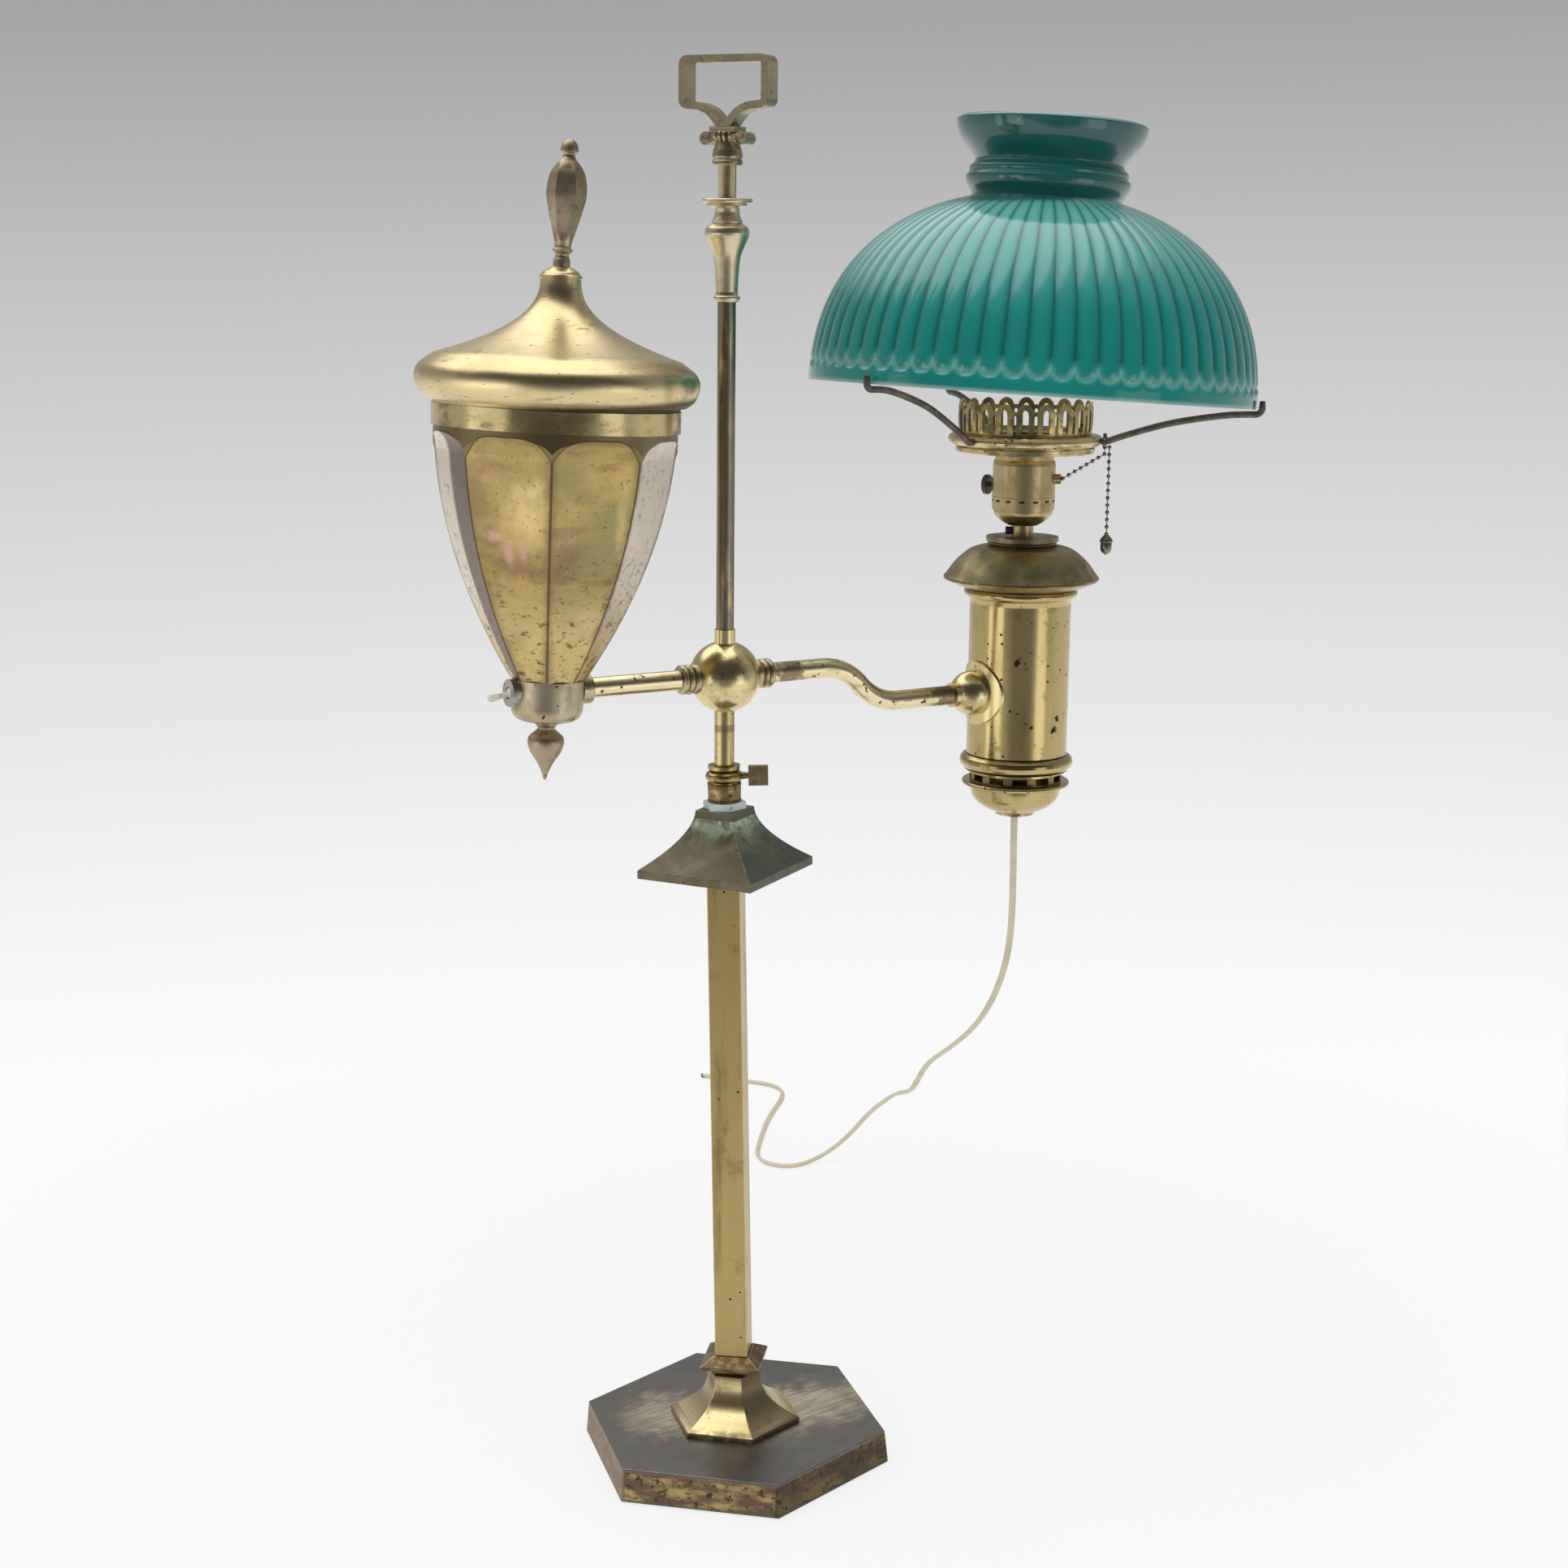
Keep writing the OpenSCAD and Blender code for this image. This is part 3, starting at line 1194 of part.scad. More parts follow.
core_r = liner_r - liner_wall - seat_gap;
screw_z = seat_z - screw_len;
module socket_core() {
  base_t = 5;
  color(porcelain) at_burner() difference() {
    translate([0, 0, shell_z]) cylinder(h = screw_z - shell_z + base_t, r = core_r);
    translate([0, 0, screw_z]) cylinder(h = screw_len, r = screw_r + screw_wall + seat_gap);
    side_hole(knob_z, knob_turn, knob_shaft_r + pass_gap);
    translate([0, 0, shell_z - cut]) cylinder(h = 2 * cut, r = pipe_r + pass_gap);
  }
}
module screw_shell() {
  floor_t = 1;
  color([0.75, 0.72, 0.62]) at_burner() difference() {
    translate([0, 0, screw_z]) cylinder(h = screw_len, r = screw_r + screw_wall);
    translate([0, 0, screw_z + floor_t]) cylinder(h = screw_len, r = screw_r);
  }
}
module socket_knob() {
  inner = core_r - 1;
  stand = socket_r + 3.4;
  knob_t = 3.2;
  color(black_fibre) at_burner() translate([0, 0, knob_z]) rotate([0, 0, knob_turn]) along_x() {
    translate([0, 0, inner]) cylinder(h = stand - inner, r = knob_shaft_r);
    translate([0, 0, stand]) cylinder(h = knob_t, r = knob_d / 2);
  }
}

// Pull chain: from the bell to a loop on the first shade arm, then straight down

loop_at = plate_r + bead_r + pass_gap;
drop_at = loop_at + 2 * bead_r + pass_gap;
module chain(p) {
  for (q = p) translate(q) sphere(bead_r, $fn = 24);
  for (i = [0 : len(p) - 2]) let (d = p[i + 1] - p[i])
    translate(p[i]) rotate([0, acos(d[2] / norm(d)), atan2(d[1], d[0])])
      cylinder(h = norm(d), r = link_r, $fn = 16);
}
feed_start = [socket_r + bell_len + bead_r, 0, chain_z + 0.4];
feed_end = [loop_at, 0, wire_z - wire_r - bead_r - 4.2];
feed_count = round(norm(feed_end - feed_start) / chain_pitch);
wrap_r = wire_r + bead_r + pass_gap;
module chain_feed() {
  inside = [socket_r - 1.5, 0, chain_z];
  feed = [for (k = [0 : feed_count]) feed_start + (feed_end - feed_start) * k / feed_count];
  wrap = [for (k = [0 : 6]) let (a = -90 + 60 * k) [loop_at, wrap_r * cos(a), wire_z + wrap_r * sin(a)]];
  color(wire_dark) at_burner() rotate([0, 0, shade_turn]) {
    chain(concat([inside], feed));
    chain(concat([feed_end], [wrap[0]]));
    chain(wrap);
  }
}
drop_top = wire_z - wire_r - bead_r - pass_gap;
module chain_drop() {
  acorn_z = drop_top - drop_beads * chain_pitch;
  r = acorn_d / 2;
  h = acorn_len;
  color(wire_dark) at_burner() rotate([0, 0, shade_turn]) {
    chain([for (k = [0 : drop_beads]) [drop_at, 0, drop_top - k * chain_pitch]]);
    translate([drop_at, 0, acorn_z - h]) turned([[0, 0], [0.35 * r, 0.08 * h], [0.82 * r, 0.2 * h],
      [0.86 * r, 0.58 * h], [r, 0.62 * h], [0.94 * r, 0.74 * h], [0.3 * r, h], [0, h]]);
  }
}

// Gallery, shade arms and shade

wire_seat = 8;
module gallery_plate() {
  hole_r = screw_r + screw_wall + 0.8;
  flange_r = plate_r - 4.4;
  groove_r = plate_r - 6;
  rim = plate_t / 2;
  color(brass) at_burner() difference() {
    turned(concat(
      [[hole_r, seat_z], [flange_r - 0.8, seat_z], [flange_r, seat_z + 0.8],
        [flange_r, seat_z + plate_flange_h],
        [groove_r, seat_z + plate_flange_h], [groove_r, plate_z], [plate_r - rim, plate_z]],
      arc([plate_r - rim, wire_z], rim, -90, 90, 10), [[hole_r, plate_top]]));
    for (k = [0 : 2]) translate([0, 0, wire_z]) rotate([0, 0, wire_turn(k)])
      translate([plate_r - wire_seat, 0, 0]) along_x() cylinder(h = 2 * wire_seat, r = wire_r + seat_gap);
  }
}
module chimney_gallery() {
  step = 360 / gallery_loops;
  pitch = 2 * PI * gallery_r / gallery_loops;
  wide = 0.3 * pitch;
  slim = 0.17 * pitch;
  notch = 0.36 * pitch;
  foot = 2.4;
  head = 4;
  low = 2.4;
  color(brass) at_burner() translate([0, 0, plate_top]) difference() {
    tube(gallery_h, gallery_r, gallery_r - gallery_wall);
    for (k = [0 : gallery_loops - 1]) rotate([0, 0, k * step]) {
      gallery_cut(wide, foot, gallery_h - head);
      rotate([0, 0, step / 2]) {
        gallery_cut(slim, foot, gallery_h - head - low);
        gallery_cut(notch, gallery_h - low, gallery_h + cut);
      }
    }
  }
}
module gallery_cut(w, z0, z1) {
  translate([gallery_r - 2 * gallery_wall, -w / 2, z0]) cube([3 * gallery_wall, w, z1 - z0]);
}
// Height of the shade's rim over one direction
function rim_z(turn) = shade_z - shade_r * sin(shade_tilt) * cos(turn - tilt_turn);
function wire_path(turn) = let (
    z0 = wire_z,
    inner = plate_r - wire_seat + seat_gap,
    start = plate_r + 3,
    tip = shade_r * cos(shade_tilt) + shade_shift * cos(turn - shift_turn) + wire_r + 1.4,
    z1 = rim_z(turn) - wire_r - pass_gap - 0.6,
    run = tip - hook_bend_r - start,
    rise = z1 - z0,
    bow = spline([[start, z0], [start + 0.16 * run, z0 + 0.27 * rise], [start + 0.45 * run, z0 + 0.67 * rise],
      [start + 0.8 * run, z0 + 0.95 * rise], [start + run, z1]], 4))
  concat([[inner, z0], [plate_r - 1, z0]], bow,
    arc([start + run, z1 + hook_bend_r], hook_bend_r, -67.5, 0, 3), [[tip, z1 + hook_h]]);
module shade_arms() {
  color(wire_dark) at_burner() for (k = [0 : 2]) let (turn = wire_turn(k))
    rotate([0, 0, turn])
      swept([for (p = wire_path(turn)) [p[0], 0, p[1]]], wire_d, wire_d, 10, [0, 1, 0]);
}
// The dome's outline is fuller than an ellipse
dome_fullness = 2.25;
function dome_share(s) = pow(1 - pow(s, dome_fullness), 1 / dome_fullness);
function dome_z(r) = dome_h * dome_share(r / shade_r);
function dome_r(z) = shade_r * dome_share(z / dome_h);
// A row of the ribbed dome is the height and depth of the line between two ribs, then the height and
// depth of a rib's two shoulders and how far they stand from its middle. Depths are shares of the full one.
rib_half = PI * shade_r / shade_ribs;
rib_steps = 7;
function rib_rows(top_r) = let (
    line_z = rim_band + 1.3 * rib_half,
    from = asin(pow(line_z / dome_h, dome_fullness / 2)),
    to = acos(pow(top_r / shade_r, dome_fullness / 2)))
  concat(
    [[0, 0, 0, 0, 0.5],
      [rim_band + 0.45 * rib_half, 0, rim_band - 0.12 * rib_half, 0, 0.5],
      [rim_band + rib_half, 1, rim_band + 0.13 * rib_half, 1, 0.5],
      [line_z, 1, rim_band + 0.5 * rib_half, 0.12, 0.5]],
    [for (k = [1 : rib_steps])
      let (z = dome_h * pow(sin(from + (to - from) * k / rib_steps), 2 / dome_fullness)) [z, 1, z, 0.15, 0.7]]);
// A point of the ribbed dome; the lines grow shallower towards the neck
function rib_point(turn, z, depth, top_r) = let (
    r = dome_r(z),
    fade = 0.35 + 0.65 * (r - top_r) / (shade_r - top_r),
    way = [cos(turn), sin(turn)])
  concat((r - depth * rib_depth * fade) * way, [z]);
module ribbed_dome(top_r) {
  step = 360 / shade_ribs;
  rows = rib_rows(top_r);
  sides = 3 * shade_ribs;
  last = len(rows) - 1;
  points = [
    for (row = rows, k = [0 : shade_ribs - 1], side = [-1, 0, 1])
      let (line = side == -1, turn = line ? k * step : (k + 0.5 + (side - 0.5) * row[4]) * step)
        rib_point(turn, row[line ? 0 : 2], row[line ? 1 : 3], top_r)];
  ends = [[0, 0, rows[0][0]], [0, 0, rows[last][0]]];
  low_end = len(points);
  polyhedron(concat(points, ends), concat(
    skin_faces(last + 1, sides, 0, false),
    [for (k = [0 : sides - 1]) [low_end, k, (k + 1) % sides]],
    [for (k = [0 : sides - 1]) [low_end + 1, last * sides + (k + 1) % sides, last * sides + k]]));
}
module shade() {
  neck_r = shade_neck_d / 2;
  foot_r = neck_r + 6.4;
  top_r = shade_top_d / 2;
  wide = top_r - neck_r;
  z = dome_z(foot_r);
  n = shade_neck_h + dome_h - z;
  dome = [for (k = [0 : 22])
    let (a = 90 * k / 22, r = foot_r + (shade_r - foot_r) * cos(a)) [r, max(dome_z(r), 0)]];
  beads = spline([[neck_r + 0.6, z + 0.04 * n], [neck_r + 1.7, z + 0.1 * n], [neck_r + 3.9, z + 0.19 * n],
    [neck_r + 4.6, z + 0.28 * n], [neck_r + 3, z + 0.325 * n], [neck_r + 3.1, z + 0.39 * n],
    [neck_r + 0.5, z + 0.45 * n]], 3);
  flare = spline([[neck_r, z + 0.49 * n], [neck_r + 0.21 * wide, z + 0.56 * n],
    [neck_r + 0.5 * wide, z + 0.65 * n], [neck_r + 0.75 * wide, z + 0.74 * n],
    [neck_r + 0.92 * wide, z + 0.85 * n], [top_r, z + n - glass / 2]], 3);
  last = len(flare) - 1;
  mouth_way = heading(flare, last);
  under_dome = beside(dome, glass);
  in_flare = beside(flare, glass);
  brim = flare[last] + (glass + cut) * [-mouth_way[1], mouth_way[0]];
  over = in_flare[last] + 2 * cut * mouth_way;
  color(green_glass) at_shade() difference() {
    union() {
      ribbed_dome(foot_r);
      turned(concat([[0, z - cut], [neck_r + 3, z - cut], [neck_r + 3, z]], beads, flare,
        [brim, [0, brim[1]]]));
    }
    turned(concat([[0, -cut], [under_dome[0][0], -cut]], under_dome,
      spline([[neck_r + 2.4, z - glass], [neck_r - glass + 1.4, z - 0.4], [neck_r - glass, z + 0.1 * n],
        [neck_r - glass, z + 0.4 * n]], 3), in_flare, [over, [0, over[1]]]));
  }
}

// Cord: straight out of the bush, then along its own route

cord_start_z = cord_exit_z - 2 * seat_gap;
exit_point = [
  burner_x * cos(post_lean) + (ball_rise + cord_start_z) * sin(post_lean), 0,
  pivot_z - burner_x * sin(post_lean) + (ball_rise + cord_start_z) * cos(post_lean)];
exit_way = [-sin(post_lean), 0, -cos(post_lean)];
module cord() {
  path = supple(concat([exit_point, exit_point + 10 * exit_way], cord_route), 2);
  color(cream) swept(path, cord_w, cord_t, 8, [1, 0, 0]);
}

base_shell();
base_weight();
base_felt();
base_bolt();
foot_flare();
foot_collar();
stem_tube();
stem_foot_plug();
stem_top_plug();
stem_cap();
cap_nipple();
cap_nut();
knurled_ferrule();
clamp_collar();
thumbscrew();
post_tube();
arm_ball();
upper_rod();
rod_baluster();
carry_handle();
font_arm();
burner_arm();
arm_rings();
font_arm_flange();
burner_boss();
switch_leads();
font_cup();
font_stud();
font_drop();
font_body();
font_band();
toggle_bushing();
toggle_body();
toggle_lever();
lid_dome();
lid_finial();
burner_tube();
drip_cap();
cap_disc();
burner_bead();
air_ring();
drip_cup();
burner_pipe();
cord_bush();
socket_neck();
neck_screw();
socket_cap();
socket_shell();
socket_liner();
socket_core();
screw_shell();
socket_knob();
chain_feed();
chain_drop();
gallery_plate();
chimney_gallery();
shade_arms();
shade();
cord();
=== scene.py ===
import json
from math import acos, atan2, cos, exp, hypot, pi, radians, sin, tau

import bmesh
import bpy
from mathutils import Matrix, Vector


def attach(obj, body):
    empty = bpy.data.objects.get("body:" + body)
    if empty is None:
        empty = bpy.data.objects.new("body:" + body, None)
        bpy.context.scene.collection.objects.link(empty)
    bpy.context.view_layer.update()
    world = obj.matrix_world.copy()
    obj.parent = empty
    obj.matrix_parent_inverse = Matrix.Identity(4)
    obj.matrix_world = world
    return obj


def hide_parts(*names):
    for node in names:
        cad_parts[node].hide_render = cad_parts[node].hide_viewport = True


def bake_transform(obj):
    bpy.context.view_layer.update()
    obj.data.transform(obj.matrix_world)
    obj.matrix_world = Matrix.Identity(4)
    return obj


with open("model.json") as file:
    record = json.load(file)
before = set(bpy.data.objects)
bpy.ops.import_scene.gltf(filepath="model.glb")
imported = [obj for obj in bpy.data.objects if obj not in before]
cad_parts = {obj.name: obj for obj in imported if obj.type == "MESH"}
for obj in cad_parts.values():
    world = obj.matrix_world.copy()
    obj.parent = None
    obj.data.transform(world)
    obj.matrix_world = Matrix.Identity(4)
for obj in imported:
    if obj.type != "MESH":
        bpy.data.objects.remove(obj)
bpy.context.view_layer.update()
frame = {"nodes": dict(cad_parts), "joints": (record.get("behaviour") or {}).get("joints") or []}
scene = bpy.context.scene


# Base: a hexagonal pan cast in one piece and bronzed dark brown. Years of cleaning have worn it through
# to brass round the foot, along its edges and down its sides. Felt is glued under the iron slab inside.

MM = 0.001
WELD = 0.004 * MM
BASE_TOP = 20 * MM
BASE_FLAT = 90.5 * cos(pi / 6) * MM
SIDE_DRAFT = 2.0 * MM
# Ways of the side faces painted for light: the right face dark as shade, the left face as half lit.
SHADED_FACE_TURN, HALF_LIT_FACE_TURN = -74.0, 166.0


def turned_by(degrees, axis="Z"):
    return Matrix.Rotation(radians(degrees), 4, axis)


def merged(node):
    """The CAD node's shape as one joined mesh, with its flat faces whole."""
    bm = bmesh.new()
    bm.from_mesh(frame["nodes"][node].data)
    bmesh.ops.remove_doubles(bm, verts=bm.verts, dist=WELD)
    bmesh.ops.dissolve_limit(bm, angle_limit=radians(0.3), verts=bm.verts, edges=bm.edges)
    return bm


def soften(bm, width, angle):
    """Rounds the sharp edges and marks the middle of each round in the attribute wear."""
    wear = bm.verts.layers.float.new("wear")
    sharp = [e for e in bm.edges if len(e.link_faces) == 2 and e.calc_face_angle(0) > radians(angle)]
    made = bmesh.ops.bevel(
        bm, geom=sharp, offset=width, segments=3, profile=0.5, affect="EDGES", clamp_overlap=True
    )
    rounds = set(made["faces"])
    for vertex in made["verts"]:
        vertex[wear] = float(all(f in rounds for f in vertex.link_faces))
    return bm


def shown(name, data):
    """A new object in the scene."""
    made = bpy.data.objects.new(name, data)
    scene.collection.objects.link(made)
    return made


def piece(name, shape, material, body, slot, *nodes, sharp=40, even=False):
    """Makes a finished object of a shape, on its body and in place of its CAD nodes."""
    if isinstance(shape, bmesh.types.BMesh):
        mesh = bpy.data.meshes.new(name)
        shape.to_mesh(mesh)
        shape.free()
    else:
        mesh = shape
    mesh.name = name
    mesh.shade_smooth()
    mesh.set_sharp_from_angle(angle=radians(sharp))
    mesh.materials.clear()
    mesh.materials.append(material)
    made = shown(name, mesh)
    if even:
        made.modifiers.new("even_shading", "WEIGHTED_NORMAL").keep_sharp = True
    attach(made, body)
    if nodes:
        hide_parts(*nodes)
    return made


def add(tree, kind, sockets=None, **settings):
    """A new node with its settings, its sockets given a value or a link."""
    made = tree.nodes.new(kind)
    for name, value in settings.items():
        setattr(made, name, value)
    for name, value in (sockets or {}).items():
        if isinstance(value, bpy.types.NodeSocket):
            tree.links.new(value, made.inputs[name])
        else:
            made.inputs[name].default_value = value
    return made


def cast(name, node, width, material, body, slot, angle=28):
    """A piece in its CAD node's own shape, its edges rounded by a width in millimetres."""
    return piece(name, soften(merged(node), width * MM, angle), material, body, slot, node, even=True)


def effect(name, **inputs):
    """A shader node group with a Vector, the given number or vector inputs and one output, Mask."""
    tree = bpy.data.node_groups.new(name, "ShaderNodeTree")
    tree.interface.new_socket("Vector", in_out="INPUT", socket_type="NodeSocketVector")
    for label, value in inputs.items():
        kind = "NodeSocketVector" if isinstance(value, tuple) else "NodeSocketFloat"
        tree.interface.new_socket(label, in_out="INPUT", socket_type=kind).default_value = value
    tree.interface.new_socket("Mask", in_out="OUTPUT", socket_type="NodeSocketFloat")
    return tree, tree.nodes.new("NodeGroupInput").outputs, tree.nodes.new("NodeGroupOutput").inputs


def step(tree, value, low, high):
    """A soft step of a value between two levels."""
    levels = {"Value": value, "From Min": low, "From Max": high}
    return add(tree, "ShaderNodeMapRange", levels, interpolation_type="SMOOTHSTEP").outputs["Result"]


def maths(tree, operation, *values):
    """One operation on numbers or sockets."""
    return add(tree, "ShaderNodeMath", dict(enumerate(values)), operation=operation).outputs[0]


def rest_of(tree, mask):
    """What a mask leaves uncovered."""
    return maths(tree, "SUBTRACT", 1.0, mask)


def noise(tree, given, **sockets):
    """A cloudy noise at the place and scale that an effect is given."""
    place = {"Vector": given["Vector"], "Scale": given["Scale"]}
    return add(tree, "ShaderNodeTexNoise", {**place, **sockets}).outputs


# Tarnish in patches of one size, between two levels of a cloudy noise
tree, given, mask = effect("patches", Scale=60.0, Low=0.5, High=0.6)
cloud = noise(tree, given, Detail=7.0, Roughness=0.62)["Fac"]
tree.links.new(step(tree, cloud, given["Low"], given["High"]), mask["Mask"])

# Small dark pits of uneven size, on a share of the cells
tree, given, mask = effect("pits", Scale=400.0, Size=0.3, Share=0.4)
stray = noise(tree, given, Detail=3.0)["Color"]
ragged = add(tree, "ShaderNodeMix", {0: 0.0022, 4: given["Vector"], 5: stray}, data_type="VECTOR")
cells = add(tree, "ShaderNodeTexVoronoi", {"Vector": ragged.outputs[1], "Scale": given["Scale"]}).outputs
chance = add(tree, "ShaderNodeSeparateColor", {"Color": cells["Color"]}).outputs["Red"]
reach = maths(tree, "MULTIPLY", given["Size"], step(tree, chance, given["Share"], 0.0))
inside = step(tree, maths(tree, "SUBTRACT", reach, cells["Distance"]), 0.0, 0.06)
tree.links.new(inside, mask["Mask"])

# One ragged spot round a place
tree, given, mask = effect(
    "spot", Centre=(0.0, 0.0, 0.0), Size=(0.01, 0.01, 0.01), Scale=120.0, Ragged=0.8, Soft=0.6
)
offset = add(tree, "ShaderNodeVectorMath", {0: given["Vector"], 1: given["Centre"]}, operation="SUBTRACT")
scaled = add(tree, "ShaderNodeVectorMath", {0: offset.outputs[0], 1: given["Size"]}, operation="DIVIDE")
far = add(tree, "ShaderNodeVectorMath", {0: scaled.outputs[0]}, operation="LENGTH").outputs["Value"]
cloud = noise(tree, given, Detail=6.0, Roughness=0.6)["Fac"]
waver = maths(tree, "MULTIPLY", maths(tree, "SUBTRACT", cloud, 0.5), given["Ragged"])
edge = maths(tree, "ADD", far, maths(tree, "MULTIPLY", waver, 2.0))
near = rest_of(tree, step(tree, edge, rest_of(tree, given["Soft"]), 1.0))
tree.links.new(near, mask["Mask"])

# Everything above a level along Z, with a soft edge
tree, given, mask = effect("level", Low=0.0, High=0.001)
height = add(tree, "ShaderNodeSeparateXYZ", {0: given["Vector"]}).outputs["Z"]
tree.links.new(step(tree, height, given["Low"], given["High"]), mask["Mask"])

# Metal rubbed bright on the rounded edges, unevenly
tree, given, mask = effect("rubbed", Wear=0.0, Scale=150.0, Low=0.35, High=0.6)
cloud = noise(tree, given, Detail=5.0)["Fac"]
uneven = step(tree, cloud, given["Low"], given["High"])
tree.links.new(maths(tree, "MULTIPLY", given["Wear"], uneven), mask["Mask"])

# A cloudy height for dents, grain and brushing
tree, given, mask = effect("grain", Scale=500.0, Detail=4.0)
cloud = noise(tree, given, Detail=given["Detail"], Roughness=0.6)["Fac"]
tree.links.new(cloud, mask["Mask"])


class Finish:
    """A surface built up in layers: the bare metal, glass or fibre, then whatever lies on it."""

    def __init__(self, name, colour, rough, metallic=1.0):
        self.material = bpy.data.materials.new(name)
        self.material.use_nodes = True
        self.tree = self.material.node_tree
        self.shader = self.tree.nodes["Principled BSDF"]
        self.place = add(self.tree, "ShaderNodeTexCoord").outputs["Object"]
        self.layers = {"Base Color": (*colour, 1.0), "Roughness": rough, "Metallic": metallic}
        self.normal = None

    def turned(self, scale=(1.0, 1.0, 1.0), turn=(0.0, 0.0, 0.0)):
        """The surface's own coordinates, stretched or turned."""
        sockets = {"Vector": self.place, "Scale": scale, "Rotation": tuple(radians(a) for a in turn)}
        return add(self.tree, "ShaderNodeMapping", sockets).outputs["Vector"]

    def squeezed(self, z):
        """The surface's coordinates with heights scaled, for marks that run along or round a piece."""
        return self.turned(scale=(1.0, 1.0, z))

    def within(self, place):
        """The surface's coordinates as another frame sees them."""
        back = place.inverted()
        sockets = {"Vector": self.place, "Rotation": back.to_euler(), "Location": back.translation}
        return add(self.tree, "ShaderNodeMapping", sockets).outputs["Vector"]

    def outward(self, turn):
        """The surface's coordinates with Z running out one way, turned from X."""
        return self.within(turned_by(turn) @ turned_by(90, "Y"))

    def calc(self, operation, *values):
        return maths(self.tree, operation, *values)

    def mask(self, kind, vector=None, **sockets):
        """A mask from one of the shared effects."""
        sockets["Vector"] = vector or self.place
        group = bpy.data.node_groups[kind]
        return add(self.tree, "ShaderNodeGroup", sockets, node_tree=group).outputs["Mask"]

    def spot(self, centre, size, scale=120.0, ragged=0.8, soft=0.6):
        """A mask of one ragged spot round a place."""
        return self.mask("spot", Centre=centre, Size=size, Scale=scale, Ragged=ragged, Soft=soft)

    def above(self, low, high, vector=None):
        """A mask of everything above a height, with a soft edge between two levels."""
        return self.mask("level", vector, Low=low, High=high)

    def below(self, low, high):
        return self.outside(self.above(low, high))

    def attribute(self, name):
        return add(self.tree, "ShaderNodeAttribute", attribute_name=name).outputs["Fac"]

    def both(self, *masks):
        result = masks[0]
        for other in masks[1:]:
            result = self.calc("MULTIPLY", result, other)
        return result

    def outside(self, mask):
        return rest_of(self.tree, mask)

    def over(self, mask, colour=None, rough=None, metallic=None, share=1.0):
        """Lays a colour or finish over what is there, as far as the mask reaches."""
        if share < 1.0:
            mask = self.calc("MULTIPLY", mask, share)
        for socket, new in (("Base Color", colour), ("Roughness", rough), ("Metallic", metallic)):
            if new is None:
                continue
            is_colour = socket == "Base Color"
            first = 6 if is_colour else 2
            under = self.layers[socket]
            top = (*new, 1.0) if is_colour else new
            mix = add(
                self.tree, "ShaderNodeMix", {0: mask, first: under, first + 1: top},
                data_type="RGBA" if is_colour else "FLOAT",
            )
            self.layers[socket] = mix.outputs[2 if is_colour else 0]

    def patches(
        self, scale, low, high, colour, rough=None, metallic=None, share=1.0, along=None, within=None
    ):
        """Lays tarnish in patches, everywhere or within a mask."""
        cloud = self.mask("patches", along, Scale=scale, Low=low, High=high)
        self.over(self.both(within, cloud) if within else cloud, colour, rough, metallic, share)

    def pits(self, scale, size, share, colour, rough, along=None):
        """Scatters small dark pits over a share of the surface."""
        self.over(self.mask("pits", along, Scale=scale, Size=size, Share=share), colour, rough)

    def rubbed(self, scale, low, high, colour, rough, metallic=None, share=1.0):
        """Rubs the rounded edges bright, unevenly."""
        edges = self.mask("rubbed", Wear=self.attribute("wear"), Scale=scale, Low=low, High=high)
        self.over(edges, colour, rough, metallic, share)

    def grain(self, scale, depth, detail=4.0, along=None):
        """Roughens or dents the surface by a cloudy height, its depth in millimetres."""
        height = self.mask("grain", along, Scale=scale, Detail=detail)
        made = add(self.tree, "ShaderNodeBump", {"Height": height, "Distance": depth * MM, "Strength": 1.0})
        if self.normal:
            self.tree.links.new(self.normal, made.inputs["Normal"])
        self.normal = made.outputs["Normal"]

    def done(self, **constants):
        """Joins the layers to the shader and gives the finished material."""
        for socket, value in self.layers.items():
            if isinstance(value, bpy.types.NodeSocket):
                self.tree.links.new(value, self.shader.inputs[socket])
            else:
                self.shader.inputs[socket].default_value = value
        if self.normal:
            self.tree.links.new(self.normal, self.shader.inputs["Normal"])
        for name, value in constants.items():
            self.shader.inputs[name.replace("_", " ")].default_value = value
        return self.material


def dress(material, *nodes):
    """Gives CAD nodes that stay in view their finish."""
    for node in nodes:
        for holder in frame["nodes"][node].material_slots:
            holder.material = material


OLD_BRASS = (0.46, 0.34, 0.14)
COPPER_BROWN = (0.20, 0.105, 0.06)
BASE_BROWN = (0.15, 0.142, 0.128)
SIDE_BROWN = (0.15, 0.10, 0.065)

bronzed = Finish("bronzed_base", BASE_BROWN, 0.34, 0.8)
bronzed.patches(28.0, 0.42, 0.66, (0.19, 0.18, 0.16), 0.30)
side = bronzed.below(BASE_TOP - 2.2 * MM, BASE_TOP - 0.8 * MM)
bronzed.over(side, SIDE_BROWN, 0.42)
streaks = bronzed.squeezed(3.0)
bronzed.patches(46.0, 0.40, 0.62, OLD_BRASS, 0.36, 1.0, along=streaks, within=side)
bronzed.patches(110.0, 0.52, 0.64, COPPER_BROWN, 0.45, along=streaks, within=side)
bronzed.patches(240.0, 0.54, 0.64, (0.07, 0.055, 0.035), 0.5, within=side)
rubs = bronzed.turned(scale=(0.4, 3.0, 1.0), turn=(0.0, 0.0, 24.0))
